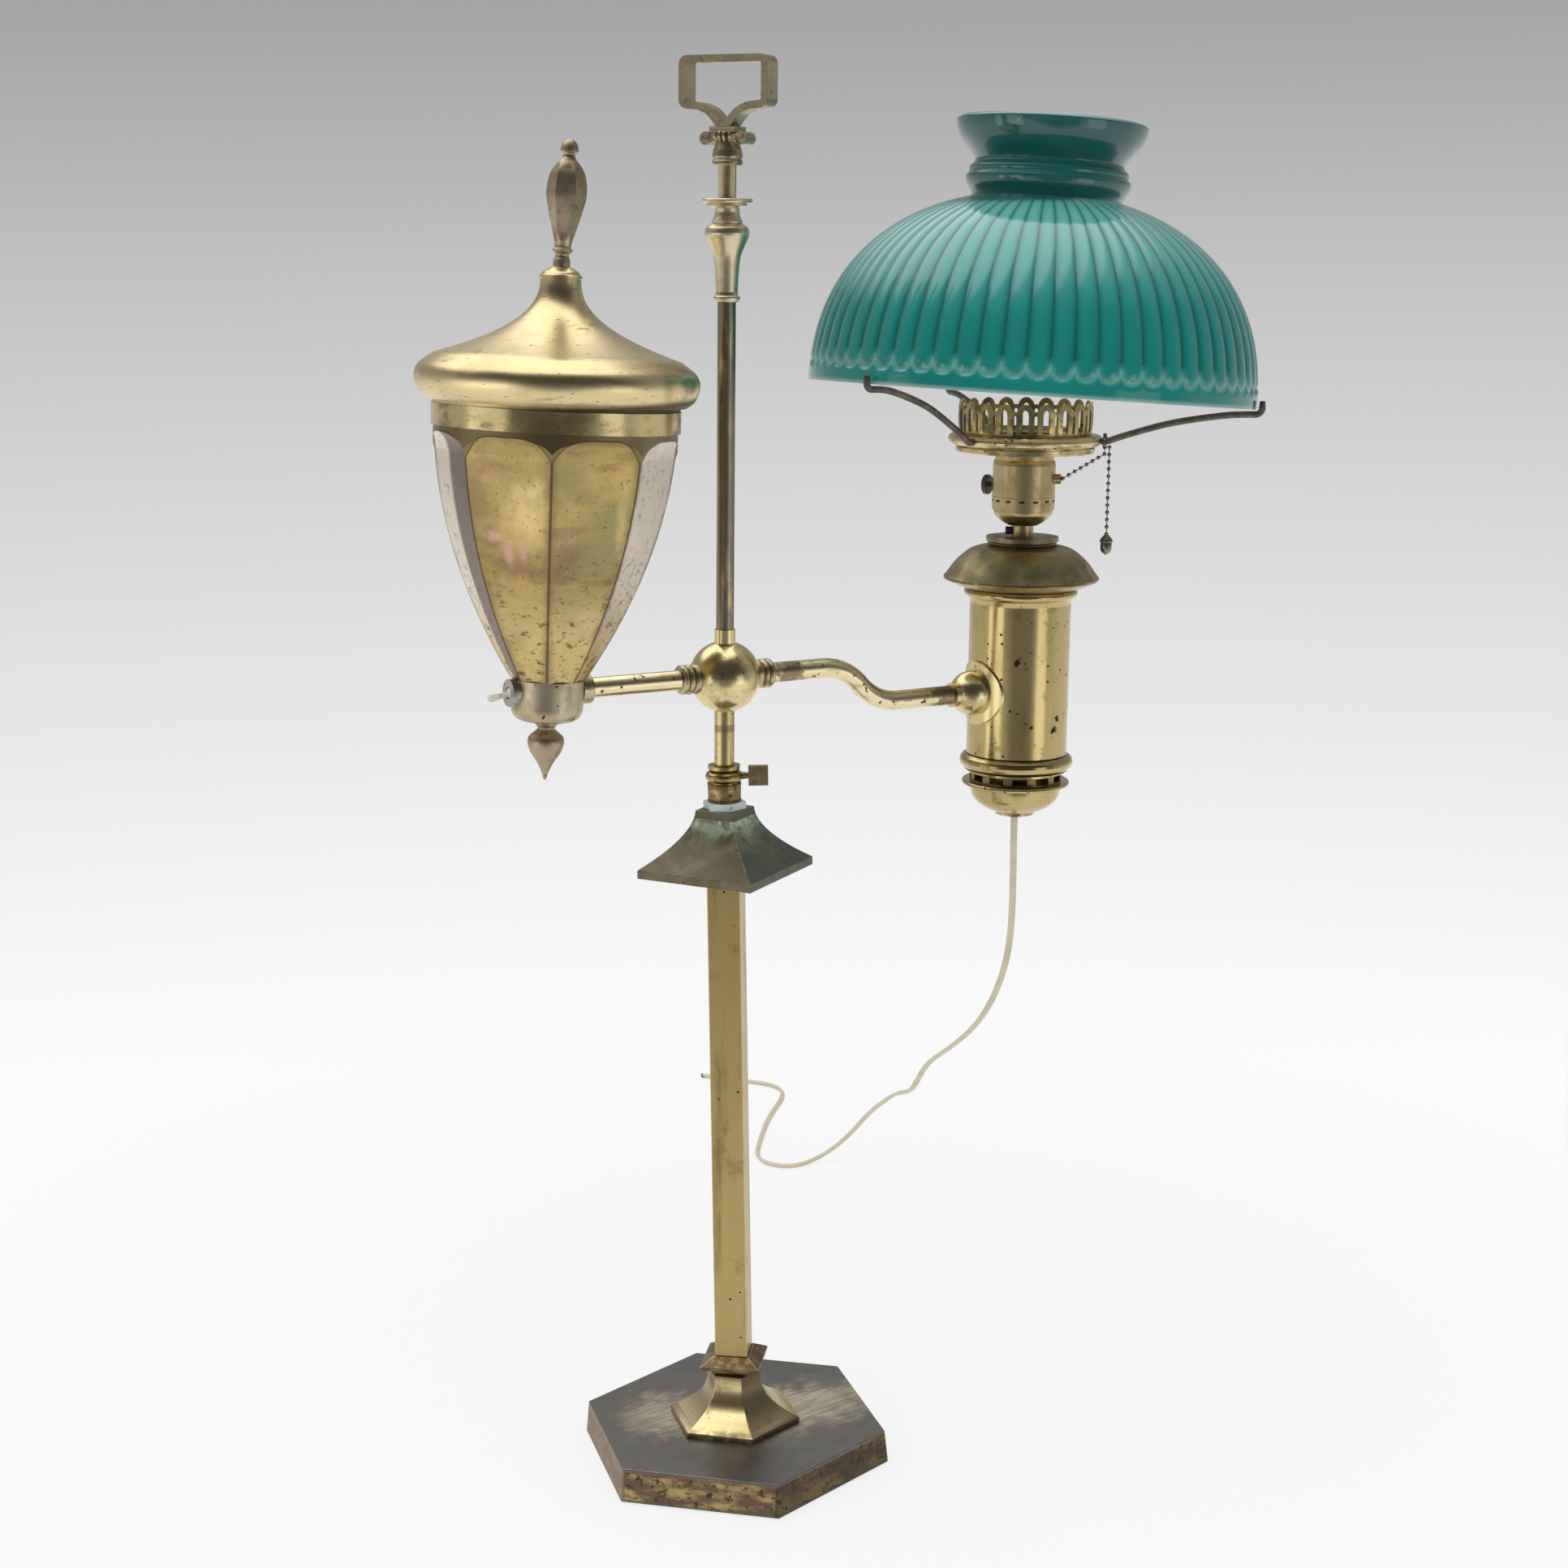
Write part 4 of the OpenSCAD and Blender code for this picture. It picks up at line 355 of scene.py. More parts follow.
for centre, size, share in (
    ((0.046, -0.010, BASE_TOP), (0.046, 0.036, 0.02), 1.0),
    ((-0.034, 0.022, BASE_TOP), (0.032, 0.034, 0.02), 0.75),
    ((0.0, 0.0, BASE_TOP), (0.050, 0.050, 0.02), 0.5),
):
    worn = bronzed.spot(centre, size, 70.0, 0.7, 0.8)
    bronzed.over(worn, (0.46, 0.38, 0.27), 0.36, 1.0, 0.7 * share)
    bronzed.patches(
        170.0, 0.38, 0.64, (0.66, 0.58, 0.43), 0.34, 1.0, 0.85 * share, along=rubs, within=worn
    )
bronzed.rubbed(90.0, 0.42, 0.62, (0.33, 0.17, 0.09), 0.34, 1.0, 0.8)
bronzed.pits(260.0, 0.16, 0.2, (0.03, 0.027, 0.023), 0.6)
low_edge = bronzed.below(1.6 * MM, 3.4 * MM)
bronzed.over(low_edge, (0.10, 0.12, 0.075), 0.6, 0.3, 0.8)
reach = BASE_FLAT - SIDE_DRAFT
# The base's right side face is painted dark as shade and its left side face painted lighter as lit.
for turn, colour, share in (
    (SHADED_FACE_TURN, (0.055, 0.042, 0.030), 0.72),
    (HALF_LIT_FACE_TURN, (0.26, 0.17, 0.125), 0.7),
):
    face = bronzed.above(reach - 0.6 * MM, reach, bronzed.outward(turn))
    bronzed.over(bronzed.both(side, face), colour, 0.5, share=share)
bronzed.grain(700.0, 0.05)
cast("base_pan", "base_shell", 1.1, bronzed.done(), "stand", "base_bronze")

iron = Finish("bare_iron", (0.17, 0.165, 0.16), 0.52)
iron.patches(90.0, 0.52, 0.66, (0.10, 0.055, 0.03), 0.75, 0.4)
iron.grain(900.0, 0.08)
dress(iron.done(), "base_weight", "base_bolt", "stem_foot_plug", "stem_top_plug", "font_stud")

felt = Finish("green_felt", (0.022, 0.075, 0.045), 0.95, 0.0)
felt.patches(900.0, 0.4, 0.62, (0.04, 0.11, 0.07))
felt.grain(2600.0, 0.35, detail=6.0)
pad = cast("felt_pad", "base_felt", 0.5, felt.done(Sheen_Weight=0.5), "stand", "felt")


# Foot: a six-sided flared casting on a low plinth, bright brass in front, with its left face painted duller
# and its right face painted dark as shade, and a square lipped collar on top that the stem drops into. One
# bolt holds both from below.

foot = Finish("foot_brass", (0.78, 0.64, 0.33), 0.27)
foot.patches(48.0, 0.52, 0.72, (0.42, 0.31, 0.15), 0.4)
foot_grime = foot.below(BASE_TOP + 0.5 * MM, BASE_TOP + 6.5 * MM)
foot.patches(200.0, 0.38, 0.56, (0.13, 0.09, 0.045), 0.5, 0.8, within=foot_grime)
# The foot's top, just under the collar's lip, is painted darker.
foot_top_darker = foot.above(BASE_TOP + 27 * MM, BASE_TOP + 30.5 * MM)
foot.over(foot_top_darker, (0.15, 0.09, 0.045), 0.45, 0.9, 0.8)


def run_out(turn):
    """How far the foot's surface lies out one way."""
    return add(foot.tree, "ShaderNodeSeparateXYZ", {0: foot.outward(turn)}).outputs["Z"]


# The foot's right face is painted dark as shade and its left face painted duller, as half lit.
for turn, colour, share in ((SHADED_FACE_TURN, (0.15, 0.115, 0.07), 0.85), (HALF_LIT_FACE_TURN, (0.42, 0.33, 0.22), 0.75)):
    past = [foot.calc("SUBTRACT", run_out(turn), run_out(turn + off)) for off in (-60, 60)]
    face = foot.both(*(step(foot.tree, lead, -0.3 * MM, 0.3 * MM) for lead in past))
    foot.over(face, colour, 0.42, share=share)
foot.pits(330.0, 0.2, 0.22, (0.06, 0.042, 0.022), 0.6)
foot.grain(420.0, 0.05)
cast("flared_foot", "foot_flare", 0.7, foot.done(), "stand", "brass")

collar_brown = Finish("collar_brown", (0.20, 0.125, 0.065), 0.4)
collar_brown.patches(110.0, 0.48, 0.62, (0.36, 0.27, 0.13), 0.33)
collar_brown.rubbed(170.0, 0.3, 0.55, (0.50, 0.40, 0.22), 0.3)
collar_brown.grain(600.0, 0.06)
cast("square_foot_collar", "foot_collar", 0.7, collar_brown.done(), "stand", "dark_brass")


# Stem: a square drawn brass tube, satin from old lacquer, with dark patches and long rubs down its
# faces. Plugs in its ends take the bolt below and the threaded nipple above.

stem = Finish("satin_stem_brass", (0.49, 0.365, 0.15), 0.33)
down = stem.squeezed(0.12)
stem.patches(75.0, 0.5, 0.72, (0.30, 0.205, 0.08), 0.42, along=down)
stem.patches(20.0, 0.55, 0.68, (0.22, 0.15, 0.062), 0.42, share=0.75)
stem.rubbed(60.0, 0.3, 0.55, (0.66, 0.53, 0.24), 0.26, share=0.7)
stem.pits(230.0, 0.2, 0.14, (0.07, 0.048, 0.024), 0.6)
stem.grain(1500.0, 0.012, along=stem.squeezed(0.05))
stem.grain(45.0, 0.1, detail=2.0)
cast("square_stem", "stem_tube", 0.9, stem.done(), "stand", "brass")


# Cap: a hollow square casting that flares down over the stem's top, bronzed olive brown, with its right
# face painted a darker grey green as shade and pale verdigris creeping down from the top. A hexagonal nut,
# white with verdigris, clamps it, and a ferrule with two knurled bands screws down on the nipple above.

CAP_LOW = 345 * MM
CAP_TOP = 381 * MM
CAP_TURN = -59.0

cap = Finish("bronzed_cap", (0.135, 0.112, 0.068), 0.42, 0.75)
# The cap's right face is painted a darker grey green as shade.
shaded_right_face = cap.above(-0.4 * MM, 0.4 * MM, cap.outward(CAP_TURN + 45.0))
cap.over(shaded_right_face, (0.10, 0.115, 0.10), 0.46, 0.6)
cap.patches(42.0, 0.48, 0.66, (0.17, 0.155, 0.10), 0.4)
upper = cap.above(CAP_LOW + 13 * MM, CAP_TOP - 6 * MM)
bloom = cap.both(upper, cap.below(CAP_TOP - 4.6 * MM, CAP_TOP - 3.8 * MM))
cap.patches(85.0, 0.36, 0.6, (0.29, 0.36, 0.25), 0.75, 0.1, 0.9, within=bloom)
crust = cap.both(bloom, cap.above(CAP_TOP - 12 * MM, CAP_TOP - 5 * MM))
cap.patches(190.0, 0.48, 0.6, (0.52, 0.55, 0.42), 0.85, 0.0, 0.9, within=crust)
cap.over(cap.above(CAP_TOP - 4.4 * MM, CAP_TOP - 3.6 * MM), (0.13, 0.115, 0.075), 0.5, 0.6, 0.6)
cap_lip = cap.below(CAP_LOW + 4.2 * MM, CAP_LOW + 5.0 * MM)
cap.patches(110.0, 0.42, 0.6, (0.17, 0.145, 0.09), 0.45, 0.8, within=cap_lip)
cap.rubbed(110.0, 0.35, 0.6, (0.46, 0.41, 0.27), 0.36, 1.0, 0.7)
cap.pits(280.0, 0.22, 0.22, (0.05, 0.045, 0.03), 0.7)
cap.grain(520.0, 0.07)
cast("square_cap", "stem_cap", 0.55, cap.done(), "stand", "bronze")

nut = Finish("verdigris_nut", (0.60, 0.67, 0.68), 0.82, 0.1)
nut.patches(210.0, 0.44, 0.6, (0.66, 0.71, 0.72), 0.9)
nut.patches(150.0, 0.58, 0.68, (0.27, 0.31, 0.23), 0.6, 0.5)
nut.grain(900.0, 0.16, detail=6.0)
cast("hexagonal_nut", "cap_nut", 0.6, nut.done(), "stand", "verdigris")


def bridged(bm, rows):
    """Faces between neighbouring rings of vertices."""
    for a, b in zip(rows, rows[1:]):
        for k in range(len(a)):
            m = (k + 1) % len(a)
            bm.faces.new((a[k], a[m], b[m], b[k]))


def lofted(rings, loop=False):
    """A closed skin over rings of points; loop joins the last ring to the first."""
    bm = bmesh.new()
    rows = [[bm.verts.new(p) for p in ring] for ring in rings]
    bridged(bm, rows + rows[:1] if loop else rows)
    if not loop:
        bm.faces.new(reversed(rows[0]))
        bm.faces.new(rows[-1])
    bmesh.ops.remove_doubles(bm, verts=bm.verts, dist=WELD / 2)
    bmesh.ops.recalc_face_normals(bm, faces=bm.faces)
    return bm


def around(r, turn, z):
    """A point from its radius and height in millimetres and its turn in radians."""
    return (r * cos(turn) * MM, r * sin(turn) * MM, z * MM)


def round_ring(r, z, count):
    return [around(r, tau * k / count, z) for k in range(count)]


def spun(outline, count, lift):
    """A turned piece from its closed half outline of radius and height over a lift, in millimetres."""
    return lofted([round_ring(r, lift + z, count) for r, z in outline], loop=True)


def placed(shape, matrix):
    """A shape moved from its own frame to its place."""
    shape.transform(matrix)
    return shape


def joined(*shapes):
    """Several closed shapes as one mesh."""
    whole = bmesh.new()
    for shape in shapes:
        part = bpy.data.meshes.new("part")
        shape.to_mesh(part)
        shape.free()
        whole.from_mesh(part)
        bpy.data.meshes.remove(part)
    return whole


def grown(name, item, material, lay, **sizes):
    """A plain mesh of what Geometry Nodes make of an item; lay sets out the nodes between its inputs."""
    tree = bpy.data.node_groups.new(name, "GeometryNodeTree")
    tree.interface.new_socket("Item", in_out="INPUT", socket_type="NodeSocketGeometry")
    inputs = {}
    for label, value in sizes.items():
        kind = "NodeSocketInt" if isinstance(value, int) else "NodeSocketFloat"
        inputs[tree.interface.new_socket(label, in_out="INPUT", socket_type=kind).identifier] = value
    tree.interface.new_socket("Result", in_out="OUTPUT", socket_type="NodeSocketGeometry")
    result = lay(tree, tree.nodes.new("NodeGroupInput").outputs)
    painted = add(tree, "GeometryNodeSetMaterial", {"Geometry": result, "Material": material})
    tree.links.new(painted.outputs[0], tree.nodes.new("NodeGroupOutput").inputs["Result"])
    start = bpy.data.meshes.new(name)
    item.to_mesh(start)
    item.free()
    holder = shown(name, start)
    modifier = holder.modifiers.new(name, "NODES")
    modifier.node_group = tree
    for identifier, value in inputs.items():
        modifier[identifier] = value
    ready = holder.evaluated_get(bpy.context.evaluated_depsgraph_get())
    mesh = bpy.data.meshes.new_from_object(ready)
    holder.modifiers.remove(modifier)
    bpy.data.objects.remove(holder)
    return mesh


def repeated(tree, given):
    """Lays out copies of an item, turned evenly round the Z axis."""
    points = add(tree, "GeometryNodePoints", {"Count": given["Count"]})
    number = add(tree, "GeometryNodeInputIndex").outputs["Index"]
    turn = maths(tree, "DIVIDE", maths(tree, "MULTIPLY", number, tau), given["Count"])
    about_z = add(tree, "ShaderNodeCombineXYZ", {"Z": turn}).outputs["Vector"]
    sockets = {"Points": points.outputs[0], "Instance": given["Item"], "Rotation": about_z}
    copies = add(tree, "GeometryNodeInstanceOnPoints", sockets).outputs["Instances"]
    return add(tree, "GeometryNodeRealizeInstances", {"Geometry": copies}).outputs[0]


def block(low, high, round_by):
    """A small block between two corners, in millimetres, its edges rounded."""
    low, high = Vector(low) * MM, Vector(high) * MM
    bm = bmesh.new()
    bmesh.ops.create_cube(bm, size=1.0)
    bm.transform(Matrix.Translation((low + high) / 2) @ Matrix.Diagonal((*(high - low), 1.0)))
    bmesh.ops.bevel(bm, geom=bm.edges[:], offset=round_by * MM, segments=2, profile=0.5, affect="EDGES")
    return bm


FERRULE_Z, FERRULE_H, FERRULE_R, FERRULE_BORE = 385.0, 10.8, 9.2, 7.95
BAND_R, GROOVE_R = FERRULE_R - 0.1, FERRULE_R - 0.45
KNURL_COUNT = 58
KNURL_BANDS = ((0.15, 1.55), (8.15, FERRULE_H - 0.1))

ferrule = Finish("ferrule_brown", (0.22, 0.145, 0.065), 0.4)
ferrule.patches(160.0, 0.46, 0.6, (0.40, 0.29, 0.12), 0.34)
ferrule.pits(420.0, 0.3, 0.3, (0.06, 0.04, 0.02), 0.6)
ferrule.grain(900.0, 0.06)
ferrule = ferrule.done()
outline = [
    (FERRULE_BORE, 0.0), (GROOVE_R, 0.0), (GROOVE_R, 1.7), (BAND_R, 1.9), (BAND_R, 7.8), (GROOVE_R, 8.0),
    (GROOVE_R, FERRULE_H), (FERRULE_BORE, FERRULE_H),
]
piece("ferrule_sleeve", spun(outline, 72, FERRULE_Z), ferrule, "stand", "dark_brass", "knurled_ferrule")
teeth = [
    block((GROOVE_R - 0.2, -0.3, FERRULE_Z + low), (FERRULE_R, 0.3, FERRULE_Z + high), 0.16)
    for low, high in KNURL_BANDS
]
knurl = grown("knurl", joined(*teeth), ferrule, repeated, Count=KNURL_COUNT)
piece("ferrule_knurl", knurl, ferrule, "stand", "dark_brass")

hidden_brass = Finish("threaded_brass", (0.34, 0.25, 0.11), 0.42)
hidden_brass.patches(140.0, 0.45, 0.65, (0.16, 0.10, 0.05), 0.55)
dress(hidden_brass.done(), "cap_nipple", "burner_pipe")


# Clamp: a beaded brass collar that turns on the ferrule and holds the post, with a spade-headed
# thumbscrew, brown and flat, that bears on the post and keeps the arms at their height.

collar = Finish("beaded_collar_brass", (0.44, 0.32, 0.125), 0.28)
collar.patches(120.0, 0.48, 0.64, (0.20, 0.135, 0.06), 0.42)
collar.pits(420.0, 0.22, 0.25, (0.07, 0.05, 0.025), 0.6)
collar.grain(600.0, 0.03)
dress(collar.done(), "clamp_collar")

spade = Finish("thumbscrew_brown", (0.24, 0.175, 0.10), 0.46, 0.9)
spade.patches(190.0, 0.46, 0.62, (0.34, 0.265, 0.16), 0.42)
spade.rubbed(260.0, 0.3, 0.55, (0.42, 0.34, 0.22), 0.36)
spade.grain(900.0, 0.08)
cast("spade_thumbscrew", "thumbscrew", 0.8, spade.done(), "thumb", "dark_brass")


# Post and ball: the drawn brass post slides in the clamp, leaning a little towards the burner, and is
# sweated into a polished ball. The rod above it has gone dark brown, with brass showing in streaks, up
# to a turned baluster that is still bright.

joints = {joint["name"]: joint for joint in frame["joints"]}
lean = Vector(joints["height"]["axis"])
pivot = Vector(joints["swing"]["pos_m"])
BALL_RISE = 55 * MM
POST = (
    Matrix.Translation(pivot)
    @ Matrix.Rotation(atan2(lean.x, lean.z), 4, "Y")
    @ Matrix.Translation((0.0, 0.0, BALL_RISE))
)
ball_z = POST.translation.z

polished = Finish("polished_brass", (0.74, 0.61, 0.32), 0.24)
polished.patches(70.0, 0.5, 0.7, (0.50, 0.395, 0.20), 0.34)
polished.patches(170.0, 0.6, 0.68, (0.15, 0.10, 0.045), 0.5, share=0.8)
polished.pits(330.0, 0.22, 0.25, (0.06, 0.042, 0.02), 0.6)
polished.grain(60.0, 0.06, detail=2.0)
polished = polished.done()
dress(polished, "arm_ball")

post = Finish("post_brass", (0.54, 0.43, 0.21), 0.27)
ring_mark = post.spot((0.0, 0.0, ball_z - 28 * MM), (0.05, 0.05, 2.6 * MM), ragged=0.3, soft=0.5)
post.over(ring_mark, (0.22, 0.14, 0.09), 0.42, share=0.6)
post.patches(130.0, 0.52, 0.68, (0.20, 0.14, 0.06), 0.4, along=post.squeezed(0.25))
post.pits(480.0, 0.3, 0.3, (0.10, 0.07, 0.035), 0.5)
dress(post.done(), "post_tube")

rod = Finish("brown_rod", (0.27, 0.225, 0.17), 0.34)
streak = rod.squeezed(0.16)
rod.patches(150.0, 0.5, 0.68, (0.58, 0.47, 0.29), 0.3, along=streak)
rod.patches(330.0, 0.6, 0.7, (0.33, 0.26, 0.16), 0.32, share=0.7)
bright_end = rod.above(ball_z + 250 * MM, ball_z + 254 * MM)
rod.over(bright_end, (0.80, 0.68, 0.42), 0.26)
rod.patches(150.0, 0.56, 0.66, (0.46, 0.35, 0.19), 0.36, along=streak, within=bright_end)
rod.grain(800.0, 0.04)
dress(rod.done(), "upper_rod")

baluster = Finish("baluster_brass", (0.69, 0.60, 0.41), 0.35)
baluster.patches(80.0, 0.48, 0.7, (0.60, 0.51, 0.34), 0.38)
baluster.patches(110.0, 0.58, 0.7, (0.55, 0.47, 0.33), 0.4, share=0.5)
baluster.grain(300.0, 0.04)
dress(baluster.done(), "rod_baluster")


# Handle: a cast brass loop for lifting the arms, its two straps bent in to cross at a bound saddle and
# rolled out into scrolls over a ribbed, leafy neck that screws on the rod. It is dull all over.

HANDLE_TURN = -56.0
SHOULDER_Z, NECK_Z = 300.5, 270.0
EYE_AT, EYE_Z = 10.0, -16.95
SCROLL_TURNS, SCROLL_START, SCROLL_GROWTH = 2.2, 0.4, 0.165
SCROLL_FACE, SCROLL_WIRE = 5.95, 0.48
TIE_Z, TIE_GAP = -12.4, 0.9
TIE_X, TIE_Y, TIE_H = 7.6, 6.9, 0.4
LEAF_COUNT = 16
LEAF_R, LEAF_BELLY, LEAF_FOOT = 5.6, 1.5, 0.7
LEAF_Z, LEAF_LEN = NECK_Z + 11.8, 6.2

dull = Finish("dull_cast_brass", (0.48, 0.40, 0.265), 0.36)
dull.patches(75.0, 0.45, 0.66, (0.36, 0.295, 0.195), 0.42)
dull.patches(190.0, 0.58, 0.68, (0.24, 0.18, 0.115), 0.5)
dull.rubbed(120.0, 0.35, 0.62, (0.68, 0.59, 0.42), 0.32, share=0.8)
dull.grain(420.0, 0.1)
dull = dull.done()
cast("lifting_handle", "carry_handle", 0.75, dull, "arms", "dark_brass")


def swept(path, section, first=(0, 1, 0)):
    """A skin along a path; section gives points across it, first the direction that they start from."""
    rings = []
    across = Vector(first)
    for k, point in enumerate(path):
        ahead = (path[min(k + 1, len(path) - 1)] - path[max(k - 1, 0)]).normalized()
        across = (across - across.dot(ahead) * ahead).normalized()
        beside = ahead.cross(across)
        rings.append([point + x * across + y * beside for x, y in section(k)])
    return lofted(rings)


def circle(r, count):
    """Points round a section, its radius in millimetres."""
    return [point[:2] for point in round_ring(r, 0.0, count)]


HANDLE = POST @ Matrix.Translation((0, 0, SHOULDER_Z * MM)) @ turned_by(HANDLE_TURN)
scrolls = []
for side in (-1, 1):
    for face in (-1, 1):
        curl = []
        for k in range(41):
            a = SCROLL_TURNS * tau * k / 40
            r = SCROLL_START + SCROLL_GROWTH * a
            curl.append(Vector((side * (EYE_AT - r * cos(a)), face * SCROLL_FACE, EYE_Z - r * sin(a))) * MM)
        scrolls.append(swept(curl, lambda k: circle(SCROLL_WIRE, 8)))
ties = []
for z in (TIE_Z - TIE_GAP, TIE_Z + TIE_GAP):
    ties.append(block((-TIE_X, -TIE_Y, z - TIE_H), (TIE_X, TIE_Y, z + TIE_H), 0.3))
piece("handle_scrolls", placed(joined(*scrolls, *ties), HANDLE), dull, "arms", "dark_brass")

leaf_line = []
for k in range(9):
    r = LEAF_R + LEAF_BELLY * sin(pi * k / 8) + LEAF_FOOT * (1 - k / 8)
    leaf_line.append(Vector((r, 0, LEAF_Z + LEAF_LEN * k / 8)) * MM)
leaf = swept(leaf_line, lambda k: circle(0.25 + 0.75 * sin(pi * (k + 0.5) / 9), 8))
leaves = grown("leaf", leaf, dull, repeated, Count=LEAF_COUNT)
piece("neck_leaves", placed(leaves, POST), dull, "arms", "dark_brass")


# Arms: two lengths of drawn brass tube from the ball. One runs straight to the font's cup, the other
# dips in a double bend to the burner's boss. Beaded rings cover the joints at the ball.

ARM_R = 5.5
BEND_START, BEND_R, DROP = 62.0, 33.0, 22.0
ARM_FROM, ARM_TO = 6.2, 166.2

arm = Finish("arm_brass", (0.82, 0.70, 0.43), 0.25)
along = arm.turned(scale=(0.2, 1.0, 1.0))
arm.patches(110.0, 0.5, 0.68, (0.45, 0.355, 0.18), 0.36, along=along)
arm.patches(230.0, 0.59, 0.66, (0.10, 0.066, 0.034), 0.55)
for x, drop in ((40.0, 0.0), (142.0, DROP)):
    dark = arm.spot((x * MM, 0, ball_z - drop * MM), (0.012, 0.02, 0.02), 260.0, 1.2)
    arm.over(dark, (0.13, 0.085, 0.045), 0.5, share=0.75)
arm.grain(500.0, 0.03, along=along)
arm = arm.done()
dress(arm, "font_arm")

bend = acos(1 - DROP / (2 * BEND_R))
bend_end = BEND_START + 2 * BEND_R * sin(bend)
turns = [bend * k / 12 for k in range(13)]
line = [(ARM_FROM, 0.0)]
line += [(BEND_START + BEND_R * sin(a), BEND_R * (cos(a) - 1)) for a in turns]
line += [(bend_end - BEND_R * sin(a), BEND_R * (1 - cos(a)) - DROP) for a in reversed(turns[:-1])]
line += [(ARM_TO, -DROP)]
bent = swept([Vector((x, 0, z)) * MM for x, z in line], lambda k: circle(ARM_R, 40))
piece("bent_burner_arm", placed(bent, POST), arm, "arms", "brass", "burner_arm")

rings = Finish("joint_ring_brass", (0.52, 0.43, 0.27), 0.32)
rings.patches(180.0, 0.47, 0.62, (0.30, 0.23, 0.13), 0.44)
rings.pits(500.0, 0.25, 0.3, (0.05, 0.036, 0.02), 0.6)
dress(rings.done(), "arm_rings", "font_arm_flange")
dress(polished, "burner_boss")

lead = Finish("lead_insulation", (0.60, 0.55, 0.42), 0.6, 0.0)
lead.patches(120.0, 0.45, 0.65, (0.46, 0.41, 0.30))
dress(lead.done(), "switch_leads")


# Font: eight pressed sheet-brass panels with arched tops, soldered along dark ridges over a round cup.
# The front panels are clouded brown and green with pink streaks, the outer ones are painted pale as a
# reflection of the backdrop, and dark flecks gather low down.

FONT_X, FONT_LEAN, FONT_TURN = -106.0, 2.6, 18.0
FONT = POST @ Matrix.Translation((FONT_X * MM, 0, 0)) @ turned_by(FONT_LEAN, "Y")
BODY_LOW, BODY_TOP, PANEL_H = 7.0, 147.8, 117.0
LOW_R, WIDE_R = 18.0, 57.0
PANEL_HALF, PANEL_BELLY = 22.4, 0.75
ARCH_TOP, ARCH_DROP, ARCH_POWER, ARCH_STEEP = 134.0, 12.0, 2.4, 2.9


def place_in(own, x, y, z):
    """A place in the lamp's frame from one in a piece's own frame, in millimetres."""
    return tuple(own @ Vector((x * MM, y * MM, z * MM)))


font = Finish("font_brass", (0.46, 0.33, 0.13), 0.32)
font.patches(22.0, 0.44, 0.66, (0.34, 0.245, 0.10), 0.36)
calc = font.calc
axes = add(font.tree, "ShaderNodeSeparateXYZ", {0: font.within(FONT @ turned_by(FONT_TURN))}).outputs


def weighed(x, y):
    """The sum of the font's own X and Y, each times a weight."""
    return calc("ADD", calc("MULTIPLY", axes["X"], x), calc("MULTIPLY", axes["Y"], y))


reach = calc("SQRT", weighed(axes["X"], axes["Y"]))
eighths = calc("DIVIDE", calc("ARCTAN2", axes["Y"], axes["X"]), pi / 4)
off_ridge = calc("ABSOLUTE", calc("SUBTRACT", eighths, calc("ROUND", eighths)))
ridge_gap = calc("MULTIPLY", calc("MULTIPLY", off_ridge, pi / 4), reach)
corner = calc("MAXIMUM", calc("SUBTRACT", 1.0, calc("MULTIPLY", off_ridge, ARCH_STEEP)), 0.0)
arch_fall = calc("MULTIPLY", calc("POWER", corner, ARCH_POWER), ARCH_DROP * MM)
over_arch = calc("ADD", calc("SUBTRACT", axes["Z"], ARCH_TOP * MM), arch_fall)


def panel(turn):
    """The panel whose middle faces one way."""
    a = radians(turn)
    ahead = calc("DIVIDE", weighed(cos(a), sin(a)), reach)
    return step(font.tree, ahead, cos(radians(PANEL_HALF + 0.4)), cos(radians(PANEL_HALF - 0.4)))


def on_panel(turn, aside, z):
    """A place on a panel, a distance aside from its middle, in the lamp's frame."""
    a = radians(FONT_TURN + turn)
    up = (z - BODY_LOW) / PANEL_H
    r = LOW_R + (WIDE_R - LOW_R) * ((1 + PANEL_BELLY) * up - PANEL_BELLY * up * up)
    return place_in(FONT, r * cos(a) - aside * sin(a), r * sin(a) + aside * cos(a), z)


FRONT_LEFT, FRONT_RIGHT, OUTER_LEFT, OUTER_RIGHT = 202.5, 247.5, 157.5, 292.5
slant = font.turned(scale=(1.0, 1.0, 2.2), turn=(25.0, 0.0, 30.0))
font.patches(
    17.0, 0.4, 0.62, (0.30, 0.265, 0.12), 0.36, share=0.85, along=slant, within=panel(FRONT_RIGHT)
)
smears = font.turned(scale=(1.0, 1.0, 2.6), turn=(35.0, 0.0, -30.0))
front = calc("MAXIMUM", panel(FRONT_LEFT), panel(FRONT_RIGHT))
font.patches(34.0, 0.5, 0.64, (0.23, 0.155, 0.065), 0.36, share=0.5, along=smears, within=front)
low_z = place_in(FONT, 0, 0, 0)[2]
# The font's lower part is painted brighter as painted light, with tarnish patches laid within it.
lit_lower_band = font.below(low_z + 30 * MM, low_z + 66 * MM)
font.over(lit_lower_band, (0.67, 0.505, 0.225), 0.34, share=0.8)
font.patches(48.0, 0.48, 0.68, (0.36, 0.25, 0.12), 0.4, share=0.6, within=lit_lower_band)
